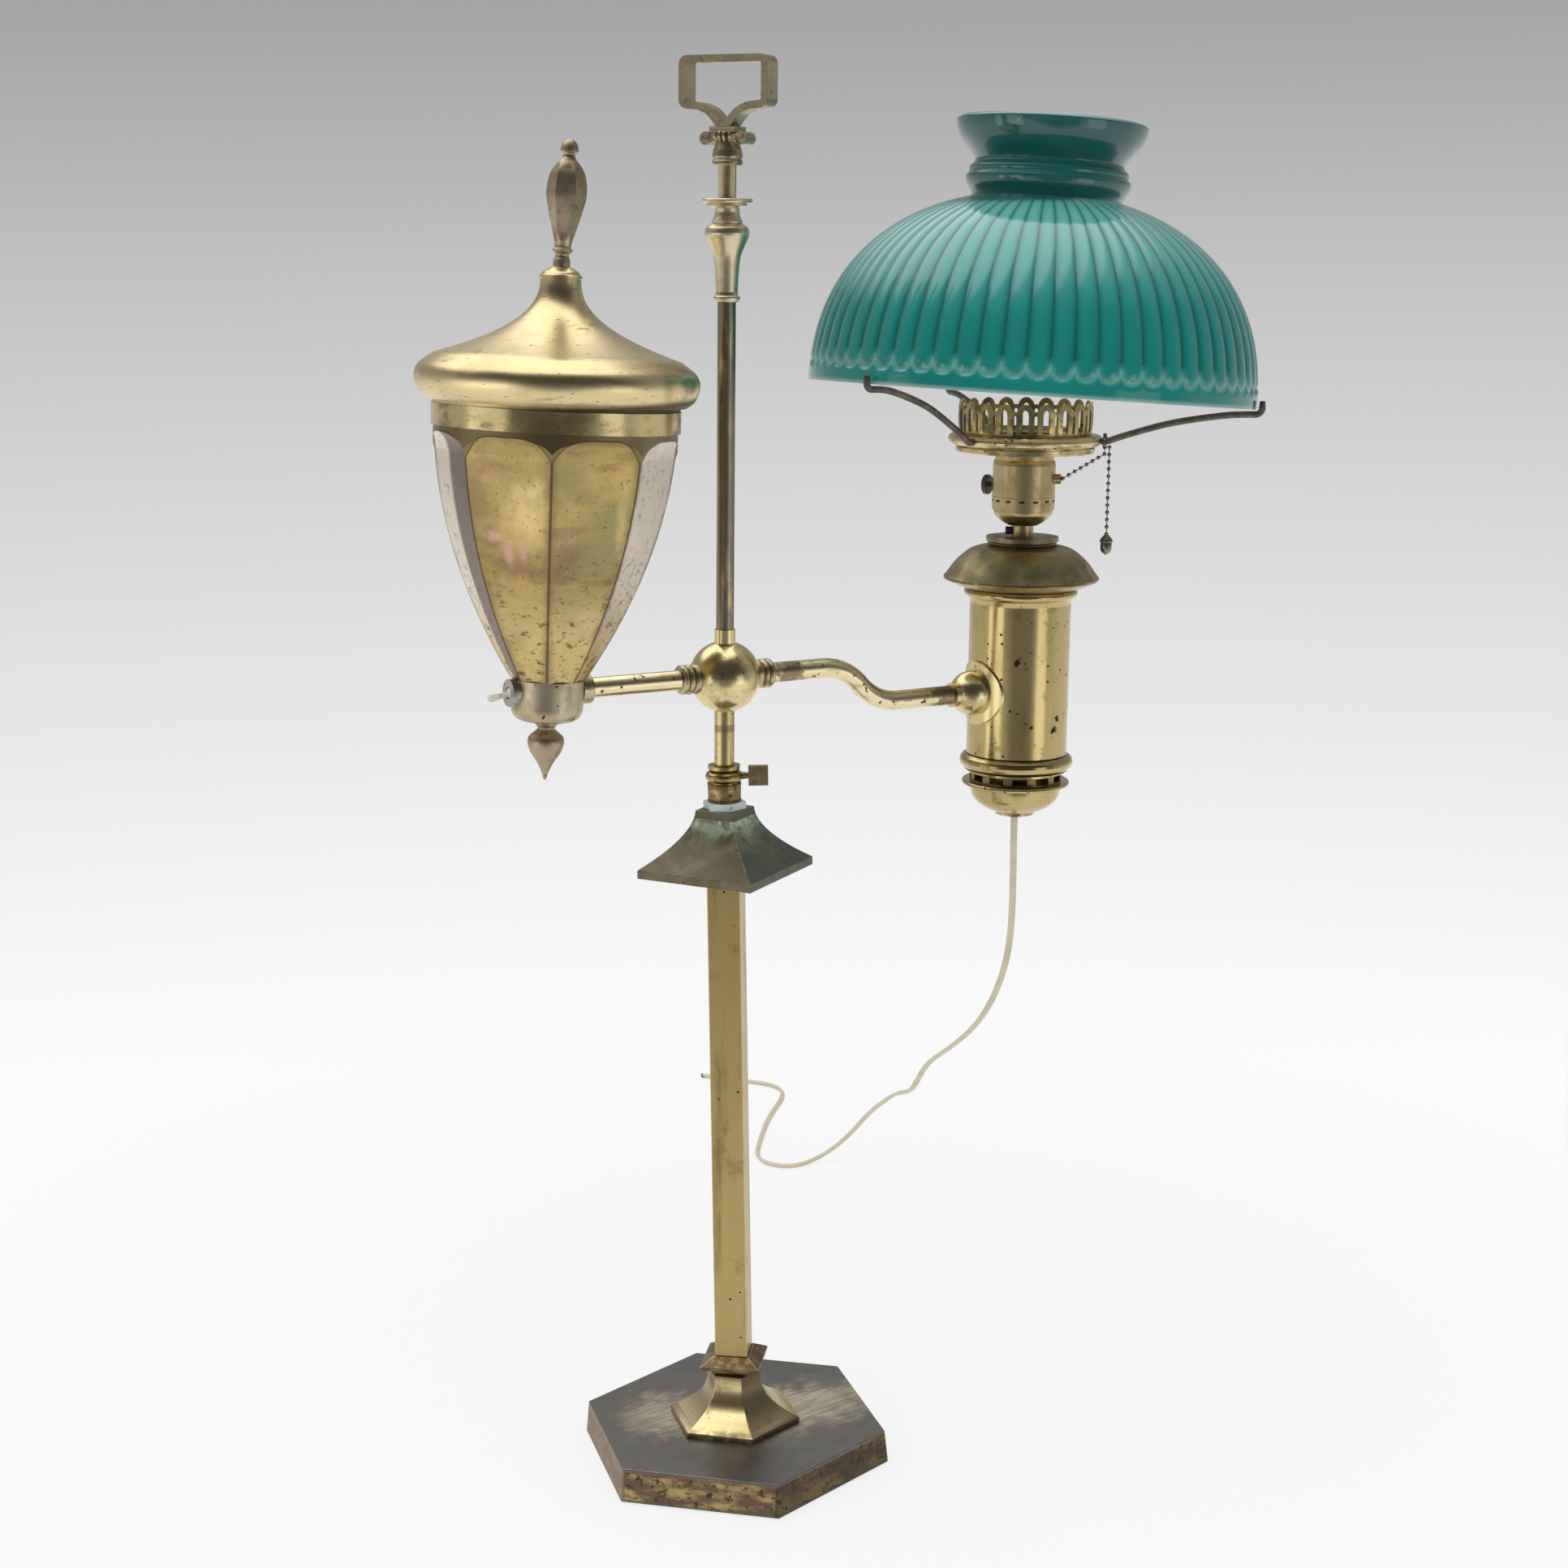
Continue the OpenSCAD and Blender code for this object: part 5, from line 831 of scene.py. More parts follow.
for turn, aside, z, size, colour, share in (
    (FRONT_LEFT, 8, 98, (0.020, 0.020, 0.028), (0.64, 0.50, 0.23), 0.75),
    (FRONT_LEFT, -17, 104, (0.012, 0.012, 0.030), (0.25, 0.17, 0.08), 0.85),
    (FRONT_LEFT, 4, 68, (0.026, 0.026, 0.014), (0.26, 0.17, 0.085), 0.8),
    (FRONT_RIGHT, -10, 74, (0.018, 0.018, 0.016), (0.24, 0.16, 0.085), 0.75),
    (FRONT_RIGHT, 17, 90, (0.006, 0.006, 0.034), (0.58, 0.44, 0.20), 0.8),
    (FRONT_RIGHT, 8, 40, (0.016, 0.016, 0.012), (0.58, 0.46, 0.23), 0.7),
    (FRONT_LEFT, -9, 84, (0.009, 0.009, 0.004), (0.58, 0.32, 0.25), 0.9),
    (FRONT_LEFT, -2, 75, (0.004, 0.004, 0.011), (0.58, 0.32, 0.25), 0.9),
    (FRONT_LEFT, 6, 76, (0.004, 0.004, 0.009), (0.56, 0.32, 0.24), 0.85),
    (FRONT_RIGHT, -13, 86, (0.008, 0.008, 0.008), (0.42, 0.25, 0.18), 0.6),
):
    font.over(font.spot(on_panel(turn, aside, z), size, 90.0, 0.8, 1.0), colour, share=share)
upper = font.above(low_z + 18 * MM, low_z + 60 * MM)
# The outer panels are painted pale above their feet as a painted reflection of the backdrop.
for turn, share in ((OUTER_LEFT, 0.8), (OUTER_RIGHT, 0.92)):
    font.over(font.both(panel(turn), upper), (0.84, 0.77, 0.68), 0.42, share=share)
# The inner half of the outer left panel is painted dark as a painted reflection.
inward = radians(OUTER_LEFT)
inner_side = calc("DIVIDE", weighed(-sin(inward), cos(inward)), reach)
dark_reflection_half = step(font.tree, inner_side, -0.06, 0.04)
font.over(font.both(panel(OUTER_LEFT), dark_reflection_half), (0.13, 0.092, 0.062), 0.4, share=0.9)
lower = font.below(low_z + 25 * MM, low_z + 95 * MM)
flecks = font.turned(scale=(1.0, 1.0, 1.7), turn=(0.0, 30.0, 0.0))
font.patches(190.0, 0.55, 0.65, (0.13, 0.085, 0.04), 0.6, share=0.85, along=flecks, within=lower)
outer = calc("MAXIMUM", panel(OUTER_LEFT), panel(OUTER_RIGHT))
font.patches(190.0, 0.54, 0.68, (0.34, 0.29, 0.23), 0.6, share=0.55, within=outer)
font.patches(520.0, 0.62, 0.67, (0.09, 0.06, 0.03), 0.6, share=0.7)
# The spandrels over the panels' arches are painted darker as shade.
spandrel_shade = step(font.tree, over_arch, 0.0, 0.7 * MM)
font.over(spandrel_shade, (0.19, 0.15, 0.07), 0.42, share=0.9)
halo = font.outside(step(font.tree, ridge_gap, 0.6 * MM, 4.5 * MM))
font.patches(45.0, 0.35, 0.6, (0.24, 0.17, 0.085), 0.42, share=0.6, within=halo)
# The ridge lines are the dark solder; the lines along the arches are painted dark as shade in the crease.
ridge = font.outside(step(font.tree, ridge_gap, 0.45 * MM, 0.95 * MM))
ridge_line = font.both(ridge, font.outside(spandrel_shade))
arch_shade_line = font.outside(step(font.tree, calc("ABSOLUTE", over_arch), 0.25 * MM, 0.75 * MM))
font.over(calc("MAXIMUM", ridge_line, arch_shade_line), (0.11, 0.072, 0.036), 0.6, share=0.75)
font.grain(55.0, 0.2, detail=3.0)
font.grain(700.0, 0.02)
cast("panelled_font", "font_body", 0.8, font.done(), "arms", "brass", angle=20)

band = Finish("band_brass", (0.66, 0.53, 0.26), 0.21)
band.patches(40.0, 0.46, 0.62, (0.31, 0.23, 0.115), 0.38, along=band.squeezed(2.0))
band.pits(420.0, 0.2, 0.2, (0.07, 0.05, 0.026), 0.6)
band.grain(80.0, 0.1, detail=3.0)
dress(band.done(), "font_band")

cup = Finish("cup_brass", (0.56, 0.48, 0.335), 0.4)
cup.patches(60.0, 0.44, 0.64, (0.42, 0.335, 0.20), 0.46)
cup.patches(180.0, 0.58, 0.66, (0.58, 0.51, 0.36), 0.34)
cup.pits(300.0, 0.3, 0.3, (0.08, 0.055, 0.03), 0.6)
cup.grain(200.0, 0.08)
dress(cup.done(), "font_cup")

bronze = Finish("dull_bronze", (0.42, 0.325, 0.22), 0.46)
bronze.patches(85.0, 0.45, 0.64, (0.54, 0.43, 0.30), 0.42)
bronze.patches(150.0, 0.57, 0.66, (0.29, 0.21, 0.145), 0.52)
bronze.grain(420.0, 0.05)
bronze = bronze.done()
dress(bronze, "font_drop")

nickel = Finish("nickel_bush", (0.50, 0.48, 0.43), 0.42)
nickel.patches(220.0, 0.47, 0.62, (0.36, 0.34, 0.29), 0.5)
dress(nickel.done(), "toggle_bushing", "screw_shell")

bat = Finish("white_bat", (0.78, 0.74, 0.63), 0.38, 0.0)
bat.patches(260.0, 0.5, 0.66, (0.58, 0.55, 0.47), 0.5)
dress(bat.done(Coat_Weight=0.3), "toggle_lever")

fibre = Finish("black_fibre", (0.026, 0.023, 0.02), 0.5, 0.0)
fibre.patches(300.0, 0.48, 0.64, (0.05, 0.042, 0.034), 0.6)
fibre.grain(1500.0, 0.03)
dress(fibre.done(), "toggle_body", "cord_bush", "neck_screw")


# Lid: spun from one sheet of brass, with a fat rolled rim and an ogee crown, still bright but covered in
# fine rubs that run round it, with a few knocks in the rim. A cast six-sided finial stands on it.

LID_R, LID_CROWN_R = 73.0, 63.0
LID_RIM_H, LID_CROWN_H = 25.0, 39.0
LID_FLANGE_R, LID_FLANGE_H = 10.5, 6.0
LID_SEAT_R = 63.35
LID_SKIRT_R = 60.0
LID_BORE = 2.3
SHEET = 1.1


def spline(points, steps):
    """A smooth open curve through points in the plane."""
    curve = []
    for i in range(len(points) - 1):
        a, b = points[max(i - 1, 0)], points[i]
        c, d = points[i + 1], points[min(i + 2, len(points) - 1)]
        for k in range(steps):
            t = k / steps
            curve.append(tuple(
                q + 0.5 * (r - p) * t + 0.5 * (2 * p - 5 * q + 4 * r - s) * t ** 2
                + 0.5 * (3 * q - p - 3 * r + s) * t ** 3
                for p, q, r, s in zip(a, b, c, d)
            ))
    return curve + [tuple(points[-1])]


def flare(wide, narrow, z0, z1, power, steps):
    """A hollow sweep from a wide radius to a narrow one."""
    shares = [k / steps for k in range(steps + 1)]
    return [(narrow + (wide - narrow) * (1 - s) ** power, z0 + (z1 - z0) * s) for s in shares]


def inset(curve, wall):
    """A curve moved to its left by a wall's thickness."""
    moved = []
    for k, (x, y) in enumerate(curve):
        (x0, y0), (x1, y1) = curve[max(k - 1, 0)], curve[min(k + 1, len(curve) - 1)]
        size = hypot(x1 - x0, y1 - y0)
        moved.append((x - wall * (y1 - y0) / size, y + wall * (x1 - x0) / size))
    return moved


def dented(bm, *dents):
    """Pushes soft dents into a thin shell, each given by turn, radius, height, reach and depth."""
    for turn, r, z, reach, depth in dents:
        centre = Vector(around(r, radians(turn), z))
        for vertex in bm.verts:
            near = (vertex.co - centre).length / (reach * MM)
            if near < 1:
                outwards = Vector((vertex.co.x, vertex.co.y, 0)).normalized()
                vertex.co -= outwards * depth * MM * (1 - near * near) ** 2
    return bm


crown_top = LID_RIM_H + LID_CROWN_H
flange_top = crown_top + LID_FLANGE_H
roll = spline([
    (LID_SEAT_R + 3, 2), (LID_R - 2.4, 0.22 * LID_RIM_H), (LID_R, 0.5 * LID_RIM_H),
    (LID_R - 2, 0.76 * LID_RIM_H), (LID_CROWN_R, LID_RIM_H),
], 8)
skin = roll + flare(LID_CROWN_R, LID_FLANGE_R, LID_RIM_H, crown_top, power=2.4, steps=26)[1:]
flange = [(LID_FLANGE_R + 0.5, crown_top + 0.3), (LID_FLANGE_R + 0.5, crown_top + 1.7)] + spline([
    (LID_FLANGE_R - 0.4, crown_top + 2.1), (0.86 * LID_FLANGE_R, crown_top + 3.6),
    (0.66 * LID_FLANGE_R, crown_top + 5), (0.47 * LID_FLANGE_R, flange_top),
], 6)
skirt = [(LID_SKIRT_R - SHEET, -4), (LID_SKIRT_R, -4), (LID_SKIRT_R, 0), (LID_SEAT_R, 0), (LID_SEAT_R, 1.6)]
outline = skirt + skin + flange + [(LID_BORE, flange_top), (LID_BORE, crown_top - SHEET)]
outline += inset(skin, SHEET)[::-1] + [(LID_SKIRT_R - SHEET, 2 + SHEET)]
lid_shape = dented(
    spun(outline, 144, BODY_TOP), (-62, LID_R, 160, 11, 1.3), (-48, LID_R, 163, 9, 1.1),
    (-140, LID_R, 159, 16, 0.7), (100, LID_R, 161, 14, 0.9),
)

lid = Finish("lid_brass", (0.71, 0.575, 0.315), 0.31)
round_rubs = lid.squeezed(6.0)
lid.patches(26.0, 0.45, 0.7, (0.60, 0.475, 0.255), 0.38)
lid.patches(60.0, 0.58, 0.68, (0.40, 0.305, 0.165), 0.42, share=0.8, along=round_rubs)
lid.pits(230.0, 0.26, 0.2, (0.10, 0.07, 0.035), 0.55, along=round_rubs)
# The bottom of the lid, under its rolled rim, is painted dark as shade.
rim_z = place_in(FONT, 0, 0, BODY_TOP + 3)[2]
rim_underside_shade = lid.below(rim_z - 1 * MM, rim_z + 2.5 * MM)
lid.over(rim_underside_shade, (0.07, 0.045, 0.022), 0.6, share=0.9)
lid.grain(420.0, 0.03, along=round_rubs)
lid.grain(40.0, 0.2, detail=2.0)
piece("spun_lid", placed(lid_shape, FONT), lid.done(), "lid", "brass", "lid_dome")

FINIAL_R, FINIAL_LEN, FINIAL_FOOT = 10.2, 63.5, 4.4
FINIAL_LEAN = 2.4
FINIAL_SIDES, PER_SIDE, FINIAL_TURN = 6, 12, 31.0
KNOP_R = 4.6
waists = spline([
    (4.3, 0.05), (3.5, 0.09), (5.3, 0.126), (4.2, 0.16), (0.59 * FINIAL_R, 0.28), (0.82 * FINIAL_R, 0.415),
    (0.99 * FINIAL_R, 0.54), (FINIAL_R, 0.6), (0.97 * FINIAL_R, 0.66), (0.83 * FINIAL_R, 0.74),
    (0.56 * FINIAL_R, 0.806), (3.7, 0.84), (3.0, 0.868), (3.2, 0.883), (4.2, 0.892),
], 7)
profile = [(0.0, -8.0), (1.9, -8.0), (1.9, -0.01), (0.0, 0.0), (FINIAL_FOOT, 0.0)]
profile += [(r, share * FINIAL_LEN) for r, share in waists]
quarter = [radians(a) for a in range(0, 91, 10)]
profile += [(KNOP_R * cos(a), (0.9 + 0.1 * sin(a)) * FINIAL_LEN) for a in quarter]
facets = []
for r, z in profile:
    share = z / FINIAL_LEN
    cut = max(0.0, min(1.0, (share - 0.2) / 0.06, (0.82 - share) / 0.06))
    ring = []
    for k in range(PER_SIDE * FINIAL_SIDES):
        off = (tau * k / PER_SIDE) % tau / FINIAL_SIDES - pi / FINIAL_SIDES
        flat = 1 + cut * (cos(pi / FINIAL_SIDES) / cos(off) - 1)
        ring.append(around(r * flat, radians(FINIAL_TURN) + tau * k / (PER_SIDE * FINIAL_SIDES), z))
    facets.append(ring)
seat = BODY_TOP + flange_top + FINIAL_FOOT * sin(radians(FINIAL_LEAN))
FINIAL = FONT @ Matrix.Translation((0, 0, seat * MM)) @ turned_by(FINIAL_LEAN, "Y")
piece("faceted_finial", placed(lofted(facets), FINIAL), bronze, "lid", "dark_brass", "lid_finial", sharp=35)


# Burner: the old oil burner's brass tube, flared at its top under a domed drip cap that has been dented,
# and closed below by a bead, a slotted air ring and a drip cup. A threaded pipe clamps the whole stack.

BURNER_X = 195.5
BURNER = POST @ Matrix.Translation((BURNER_X * MM, 0, 0))
FLARE_TOP = 37.0
CAP_R, CAP_H = 44.7, 25.0
CAP_DISC_R = 20.8
BURNER_R, FLARE_R, PIPE_R, WALL = 29.2, 32.8, 4.9, 1.2

tube = Finish("burner_brass", (0.53, 0.41, 0.19), 0.18)
tube.patches(34.0, 0.48, 0.66, (0.43, 0.33, 0.15), 0.24, along=tube.squeezed(0.3))
tube.patches(120.0, 0.56, 0.68, (0.32, 0.245, 0.115), 0.36, share=0.7)
tube.pits(300.0, 0.3, 0.3, (0.13, 0.09, 0.035), 0.5)
tube.pits(130.0, 0.14, 0.12, (0.05, 0.034, 0.016), 0.6)
for x, y, z, size in ((-19, -25, -2, 3.2), (5, -29, -42, 2.4), (8, -29, -36, 1.8), (-10, -28, -40, 1.4)):
    chip = tube.spot(place_in(BURNER, x, y, z), (size * MM,) * 3, 420.0, 1.4, 0.2)
    tube.over(chip, (0.055, 0.04, 0.02), 0.6)
tube.grain(50.0, 0.08, detail=2.0)
dress(tube.done(), "burner_tube", "burner_bead", "drip_cup")

olive = Finish("olive_drip_cap", (0.37, 0.295, 0.155), 0.38)
olive.patches(45.0, 0.44, 0.64, (0.27, 0.225, 0.12), 0.46)
olive.patches(26.0, 0.52, 0.7, (0.46, 0.37, 0.195), 0.34, share=0.8)
olive.pits(330.0, 0.22, 0.22, (0.08, 0.06, 0.03), 0.6)
edge_z = place_in(BURNER, 0, 0, FLARE_TOP + 0.3 * CAP_H)[2]
cap_edge = olive.below(edge_z - 1.6 * MM, edge_z + 1.2 * MM)
olive.patches(200.0, 0.46, 0.6, (0.46, 0.35, 0.155), 0.3, within=cap_edge)
olive.grain(45.0, 0.3, detail=3.0)
outer = spline([(FLARE_R - 2, 0), (0.85 * CAP_R, 0.1 * CAP_H), (CAP_R, 0.22 * CAP_H)], 6)
outer += spline([
    (CAP_R, 0.27 * CAP_H), (0.95 * CAP_R, 0.38 * CAP_H), (0.84 * CAP_R, 0.64 * CAP_H),
    (0.66 * CAP_R, 0.9 * CAP_H), (CAP_DISC_R, CAP_H),
], 8)
outline = [(BURNER_R - 4, 0)] + outer + [
    (PIPE_R, CAP_H), (PIPE_R, CAP_H - WALL), (CAP_DISC_R - 1, CAP_H - WALL),
    (0.63 * CAP_R, 0.9 * CAP_H - WALL), (0.81 * CAP_R, 0.62 * CAP_H - WALL),
    (0.9 * CAP_R, 0.34 * CAP_H - 0.4 * WALL), (0.82 * CAP_R, 0.1 * CAP_H + WALL), (BURNER_R - 4, WALL),
]
drip_cap = dented(
    spun(outline, 144, FLARE_TOP), (-168, 40, 51, 11, 1.9), (-160, 33, 57, 8, 1.2),
    (-62, 40, 51, 10, 1.6), (-45, 42, 47, 9, 1.4), (60, 40, 50, 12, 1.5),
)
piece("dented_drip_cap", placed(drip_cap, BURNER), olive.done(), "arms", "dark_brass", "drip_cap")

disc = Finish("cap_disc_bronze", (0.27, 0.205, 0.12), 0.36)
disc.patches(70.0, 0.45, 0.62, (0.19, 0.15, 0.095), 0.44)
disc.pits(420.0, 0.24, 0.26, (0.06, 0.05, 0.03), 0.6)
dress(disc.done(), "cap_disc")

vents = Finish("air_ring_brass", (0.28, 0.205, 0.085), 0.36)
vents.patches(140.0, 0.45, 0.62, (0.12, 0.085, 0.042), 0.5)
dress(vents.done(), "air_ring")


# Socket: a pull-chain lamp holder of thin satin brass, its cap crimped into the shell by a ring of
# pressed dashes. Inside it a card liner, a porcelain core and a nickelled screw shell take the bulb.

SHELL_Z, SHELL_R, SHELL_H = 82.7, 17.9, 28.4
CRIMP_Z = SHELL_Z + 5.2
CRIMP_COUNT = 14

satin = Finish("satin_socket_brass", (0.54, 0.42, 0.225), 0.34)
satin.patches(60.0, 0.46, 0.66, (0.45, 0.34, 0.165), 0.42)
satin.patches(260.0, 0.55, 0.68, (0.33, 0.245, 0.115), 0.45, share=0.6, along=satin.squeezed(0.2))
satin.pits(420.0, 0.2, 0.15, (0.10, 0.07, 0.035), 0.55)
satin.grain(1500.0, 0.01, along=satin.squeezed(0.1))
satin = satin.done()
dress(satin, "socket_neck", "socket_cap", "socket_shell")
crimp_dark = Finish("crimp_shadow", (0.06, 0.042, 0.02), 0.5)
crimp_dark.patches(900.0, 0.45, 0.6, (0.16, 0.11, 0.045), 0.42)
crimp_dark = crimp_dark.done()
dash = block((SHELL_R - 0.4, -1.5, CRIMP_Z - 0.7), (SHELL_R + 0.12, 1.5, CRIMP_Z + 0.7), 0.1)
crimps = grown("crimp", dash, crimp_dark, repeated, Count=CRIMP_COUNT)
piece("socket_crimps", placed(crimps, BURNER), crimp_dark, "arms", "dark_brass")
bead = ((-0.3, 1.5), (0.1, 1.6), (0.28, 1.9), (0.1, 2.2), (-0.3, 2.3))
bead_shape = spun([(SHELL_R + r, z) for r, z in bead], 96, CRIMP_Z)
piece("socket_bead", placed(bead_shape, BURNER), satin, "arms", "brass")

porcelain = Finish("porcelain_core", (0.78, 0.77, 0.73), 0.3, 0.0)
porcelain.patches(150.0, 0.52, 0.68, (0.66, 0.63, 0.56), 0.4)
dress(porcelain.done(Coat_Weight=0.4), "socket_core")
card = Finish("card_liner", (0.27, 0.19, 0.11), 0.9, 0.0)
card.patches(600.0, 0.45, 0.62, (0.34, 0.25, 0.15))
dress(card.done(), "socket_liner")

knob = Finish("knob_brown", (0.085, 0.07, 0.055), 0.42, 0.4)
knob.patches(260.0, 0.48, 0.64, (0.17, 0.15, 0.12), 0.5)
knob.grain(900.0, 0.04)
cast("turn_knob", "socket_knob", 0.7, knob.done(), "knob", "black_fibre", angle=50)


# Pull chain: small brass balls on wire links, gone dark. It runs from the socket's side to a loop round
# the first shade wire and hangs down from there, with a turned acorn on its end.

PLATE_R, WIRE_R, BEAD_R, LINK_R, PITCH = 44.0, 1.9, 1.2, 0.34, 4.1
WIRE_Z = 122.5
WIRE_TURN = -44.0
DROP_BEADS = 12
PASS_GAP = 0.3
ACORN_LEN, ACORN_R = 12.0, 3.8

wire = Finish("dark_wire", (0.115, 0.10, 0.085), 0.46, 0.85)
wire.patches(130.0, 0.46, 0.64, (0.19, 0.165, 0.14), 0.5)
wire.patches(320.0, 0.58, 0.68, (0.16, 0.095, 0.055), 0.65, 0.3)
wire.grain(1200.0, 0.04)
wire = wire.done()
ball_brass = Finish("chain_brass", (0.30, 0.27, 0.215), 0.36)
ball_brass.patches(420.0, 0.46, 0.62, (0.17, 0.145, 0.11), 0.46)
ball_brass = ball_brass.done()


def beaded(tree, given):
    """Lays out a ball at every corner of a line, and links along it."""
    ball = add(tree, "GeometryNodeMeshUVSphere", {"Segments": 12, "Rings": 8, "Radius": given["Ball"]})
    sockets = {"Points": given["Item"], "Instance": ball.outputs["Mesh"]}
    balls = add(tree, "GeometryNodeInstanceOnPoints", sockets).outputs["Instances"]
    line = add(tree, "GeometryNodeMeshToCurve", {"Mesh": given["Item"]}).outputs["Curve"]
    link = add(tree, "GeometryNodeCurvePrimitiveCircle", {"Resolution": 6, "Radius": given["Link"]})
    sockets = {"Curve": line, "Profile Curve": link.outputs["Curve"]}
    links = add(tree, "GeometryNodeCurveToMesh", sockets).outputs["Mesh"]
    whole = add(tree, "GeometryNodeRealizeInstances", {"Geometry": balls})
    both = add(tree, "GeometryNodeJoinGeometry", {"Geometry": whole.outputs[0]})
    tree.links.new(links, both.inputs["Geometry"])
    return both.outputs[0]


def chain(name, points):
    """A run of ball chain along points, in millimetres."""
    bm = bmesh.new()
    corners = [bm.verts.new(Vector(p) * MM) for p in points]
    for a, b in zip(corners, corners[1:]):
        bm.edges.new((a, b))
    return grown(name, bm, ball_brass, beaded, Ball=BEAD_R * MM, Link=LINK_R * MM)


CHAIN = BURNER @ turned_by(WIRE_TURN)
chain_z = SHELL_Z + 0.62 * SHELL_H
loop_at = PLATE_R + BEAD_R + PASS_GAP
drop_at = loop_at + 2 * BEAD_R + PASS_GAP
start = Vector((SHELL_R + 3.2 + BEAD_R, 0, chain_z + 0.4))
end = Vector((loop_at, 0, WIRE_Z - WIRE_R - BEAD_R - 4.2))
feed_count = round((end - start).length / PITCH)
feed = [(SHELL_R - 1.5, 0, chain_z)] + [start.lerp(end, k / feed_count) for k in range(feed_count + 1)]
wrap_r = WIRE_R + BEAD_R + PASS_GAP
wrap = []
for k in range(7):
    a = radians(60 * k - 90)
    wrap.append((loop_at, wrap_r * cos(a), WIRE_Z + wrap_r * sin(a)))
to_wire = chain("chain_to_wire", feed + wrap)
piece("chain_to_wire", placed(to_wire, CHAIN), ball_brass, "arms", "dark_wire", "chain_feed")

drop_top = WIRE_Z - WIRE_R - BEAD_R - PASS_GAP
hanging = chain("hanging_chain", [(drop_at, 0, drop_top - k * PITCH) for k in range(DROP_BEADS + 1)])
acorn_z = drop_top - DROP_BEADS * PITCH - ACORN_LEN
acorn = [
    (0.0, 0.0), (0.12, 0.01), (0.35, 0.07), (0.62, 0.13), (0.8, 0.22), (0.86, 0.36), (0.86, 0.56),
    (0.82, 0.58), (0.82, 0.6), (0.98, 0.62), (1.0, 0.66), (0.94, 0.74), (0.72, 0.83), (0.42, 0.93),
    (0.3, 0.98), (0.26, 1.0), (0.0, 1.0),
]
nut_shape = lofted([round_ring(r * ACORN_R, acorn_z + z * ACORN_LEN, 24) for r, z in acorn])
nut_shape.transform(Matrix.Translation((drop_at * MM, 0, 0)))
pull = bmesh.new()
pull.from_mesh(hanging)
piece("pull_chain", placed(joined(pull, nut_shape), CHAIN), ball_brass, "pull", "dark_wire", "chain_drop")


# Gallery: a round brass plate on the socket's lip, with a groove under its rim for the three shade
# wires. The pierced chimney gallery on it is one strip bent up and down in tall and low loops.

GALLERY_R, GALLERY_H, GALLERY_WALL = 38.3, 18.5, 0.9
GALLERY_LOOPS = 20
PLATE_TOP = 125.5
TALL_W, LOW_W, FOOT_W = 3.2, 2.4, 2.2
TALL_Z, LOW_Z, LOW_RISE = 12.2, 10.0, 3.4

plate = Finish("gallery_plate_brass", (0.66, 0.53, 0.27), 0.28)
plate.patches(80.0, 0.47, 0.62, (0.33, 0.26, 0.13), 0.4, along=plate.squeezed(3.0))
plate.pits(330.0, 0.3, 0.35, (0.09, 0.065, 0.03), 0.55)
plate.grain(120.0, 0.1)
dress(plate.done(), "gallery_plate")

strip = Finish("gallery_strip_brass", (0.48, 0.375, 0.165), 0.34)
strip.patches(55.0, 0.46, 0.58, (0.20, 0.175, 0.095), 0.46)
strip.patches(36.0, 0.58, 0.64, (0.76, 0.56, 0.22), 0.26)
strip.pits(420.0, 0.3, 0.3, (0.07, 0.05, 0.025), 0.6)
strip.grain(300.0, 0.08)
strip = strip.done()


def bowed(z):
    """The strip's radius over a height: drawn in at the foot and standing out above."""
    return GALLERY_R - 0.9 * (1 - min(z / 7.0, 1.0)) ** 2 - 0.5 * max(0.0, (z - 12) / 6.5) ** 2


def ribbon(line, widths, wall):
    """A flat strip wrapped round the gallery; line gives distance round and height."""
    rings = []
    for k, (s, z) in enumerate(line):
        (s0, z0), (s1, z1) = line[max(k - 1, 0)], line[min(k + 1, len(line) - 1)]
        size = hypot(s1 - s0, z1 - z0)
        across = (-(z1 - z0) / size, (s1 - s0) / size)
        ring = []
        for side, depth in ((-1, 0), (1, 0), (1, 1), (-1, 1)):
            u = s + side * widths[k] / 2 * across[0]
            v = max(z + side * widths[k] / 2 * across[1], 0.0)
            r = bowed(v) - depth * wall
            ring.append(around(r, u / GALLERY_R, PLATE_TOP + v))
        rings.append(ring)
    return lofted(rings)


pitch = tau * GALLERY_R / GALLERY_LOOPS
leg = 0.29 * pitch
arch = [pi * k / 10 for k in range(11)]
rise = GALLERY_H - 1.5 - TALL_Z
tall = [(-leg, z) for z in (0.0, 3.5, 7.0, 10.0)]
tall += [(-leg * cos(a), TALL_Z + rise * sin(a)) for a in arch]
tall += [(leg, z) for z in (10.0, 7.0, 3.5, 0.0)]
tall_widths = [TALL_W] * 4 + [TALL_W + 0.1 * sin(a) for a in arch] + [TALL_W] * 4
half_gap = pitch / 2 - leg
low = [(pitch / 2 - half_gap * cos(a), LOW_Z + LOW_RISE * sin(a)) for a in arch]
foot_strip = [(s, FOOT_W / 2) for s in (-pitch / 2, 0, pitch / 2)]
item = joined(
    ribbon(tall, tall_widths, GALLERY_WALL),
    ribbon(low, [LOW_W] * len(arch), GALLERY_WALL - 0.08),
    ribbon(foot_strip, [FOOT_W] * 3, GALLERY_WALL - 0.12),
)
loops = grown("gallery", item, strip, repeated, Count=GALLERY_LOOPS)
piece("pierced_gallery", placed(loops, BURNER), strip, "arms", "brass", "chimney_gallery", sharp=50)


# Shade wires: three bent iron wires, dark and rusty, that seat in the gallery plate, bow outwards and
# turn up into a hook under the shade's rim.

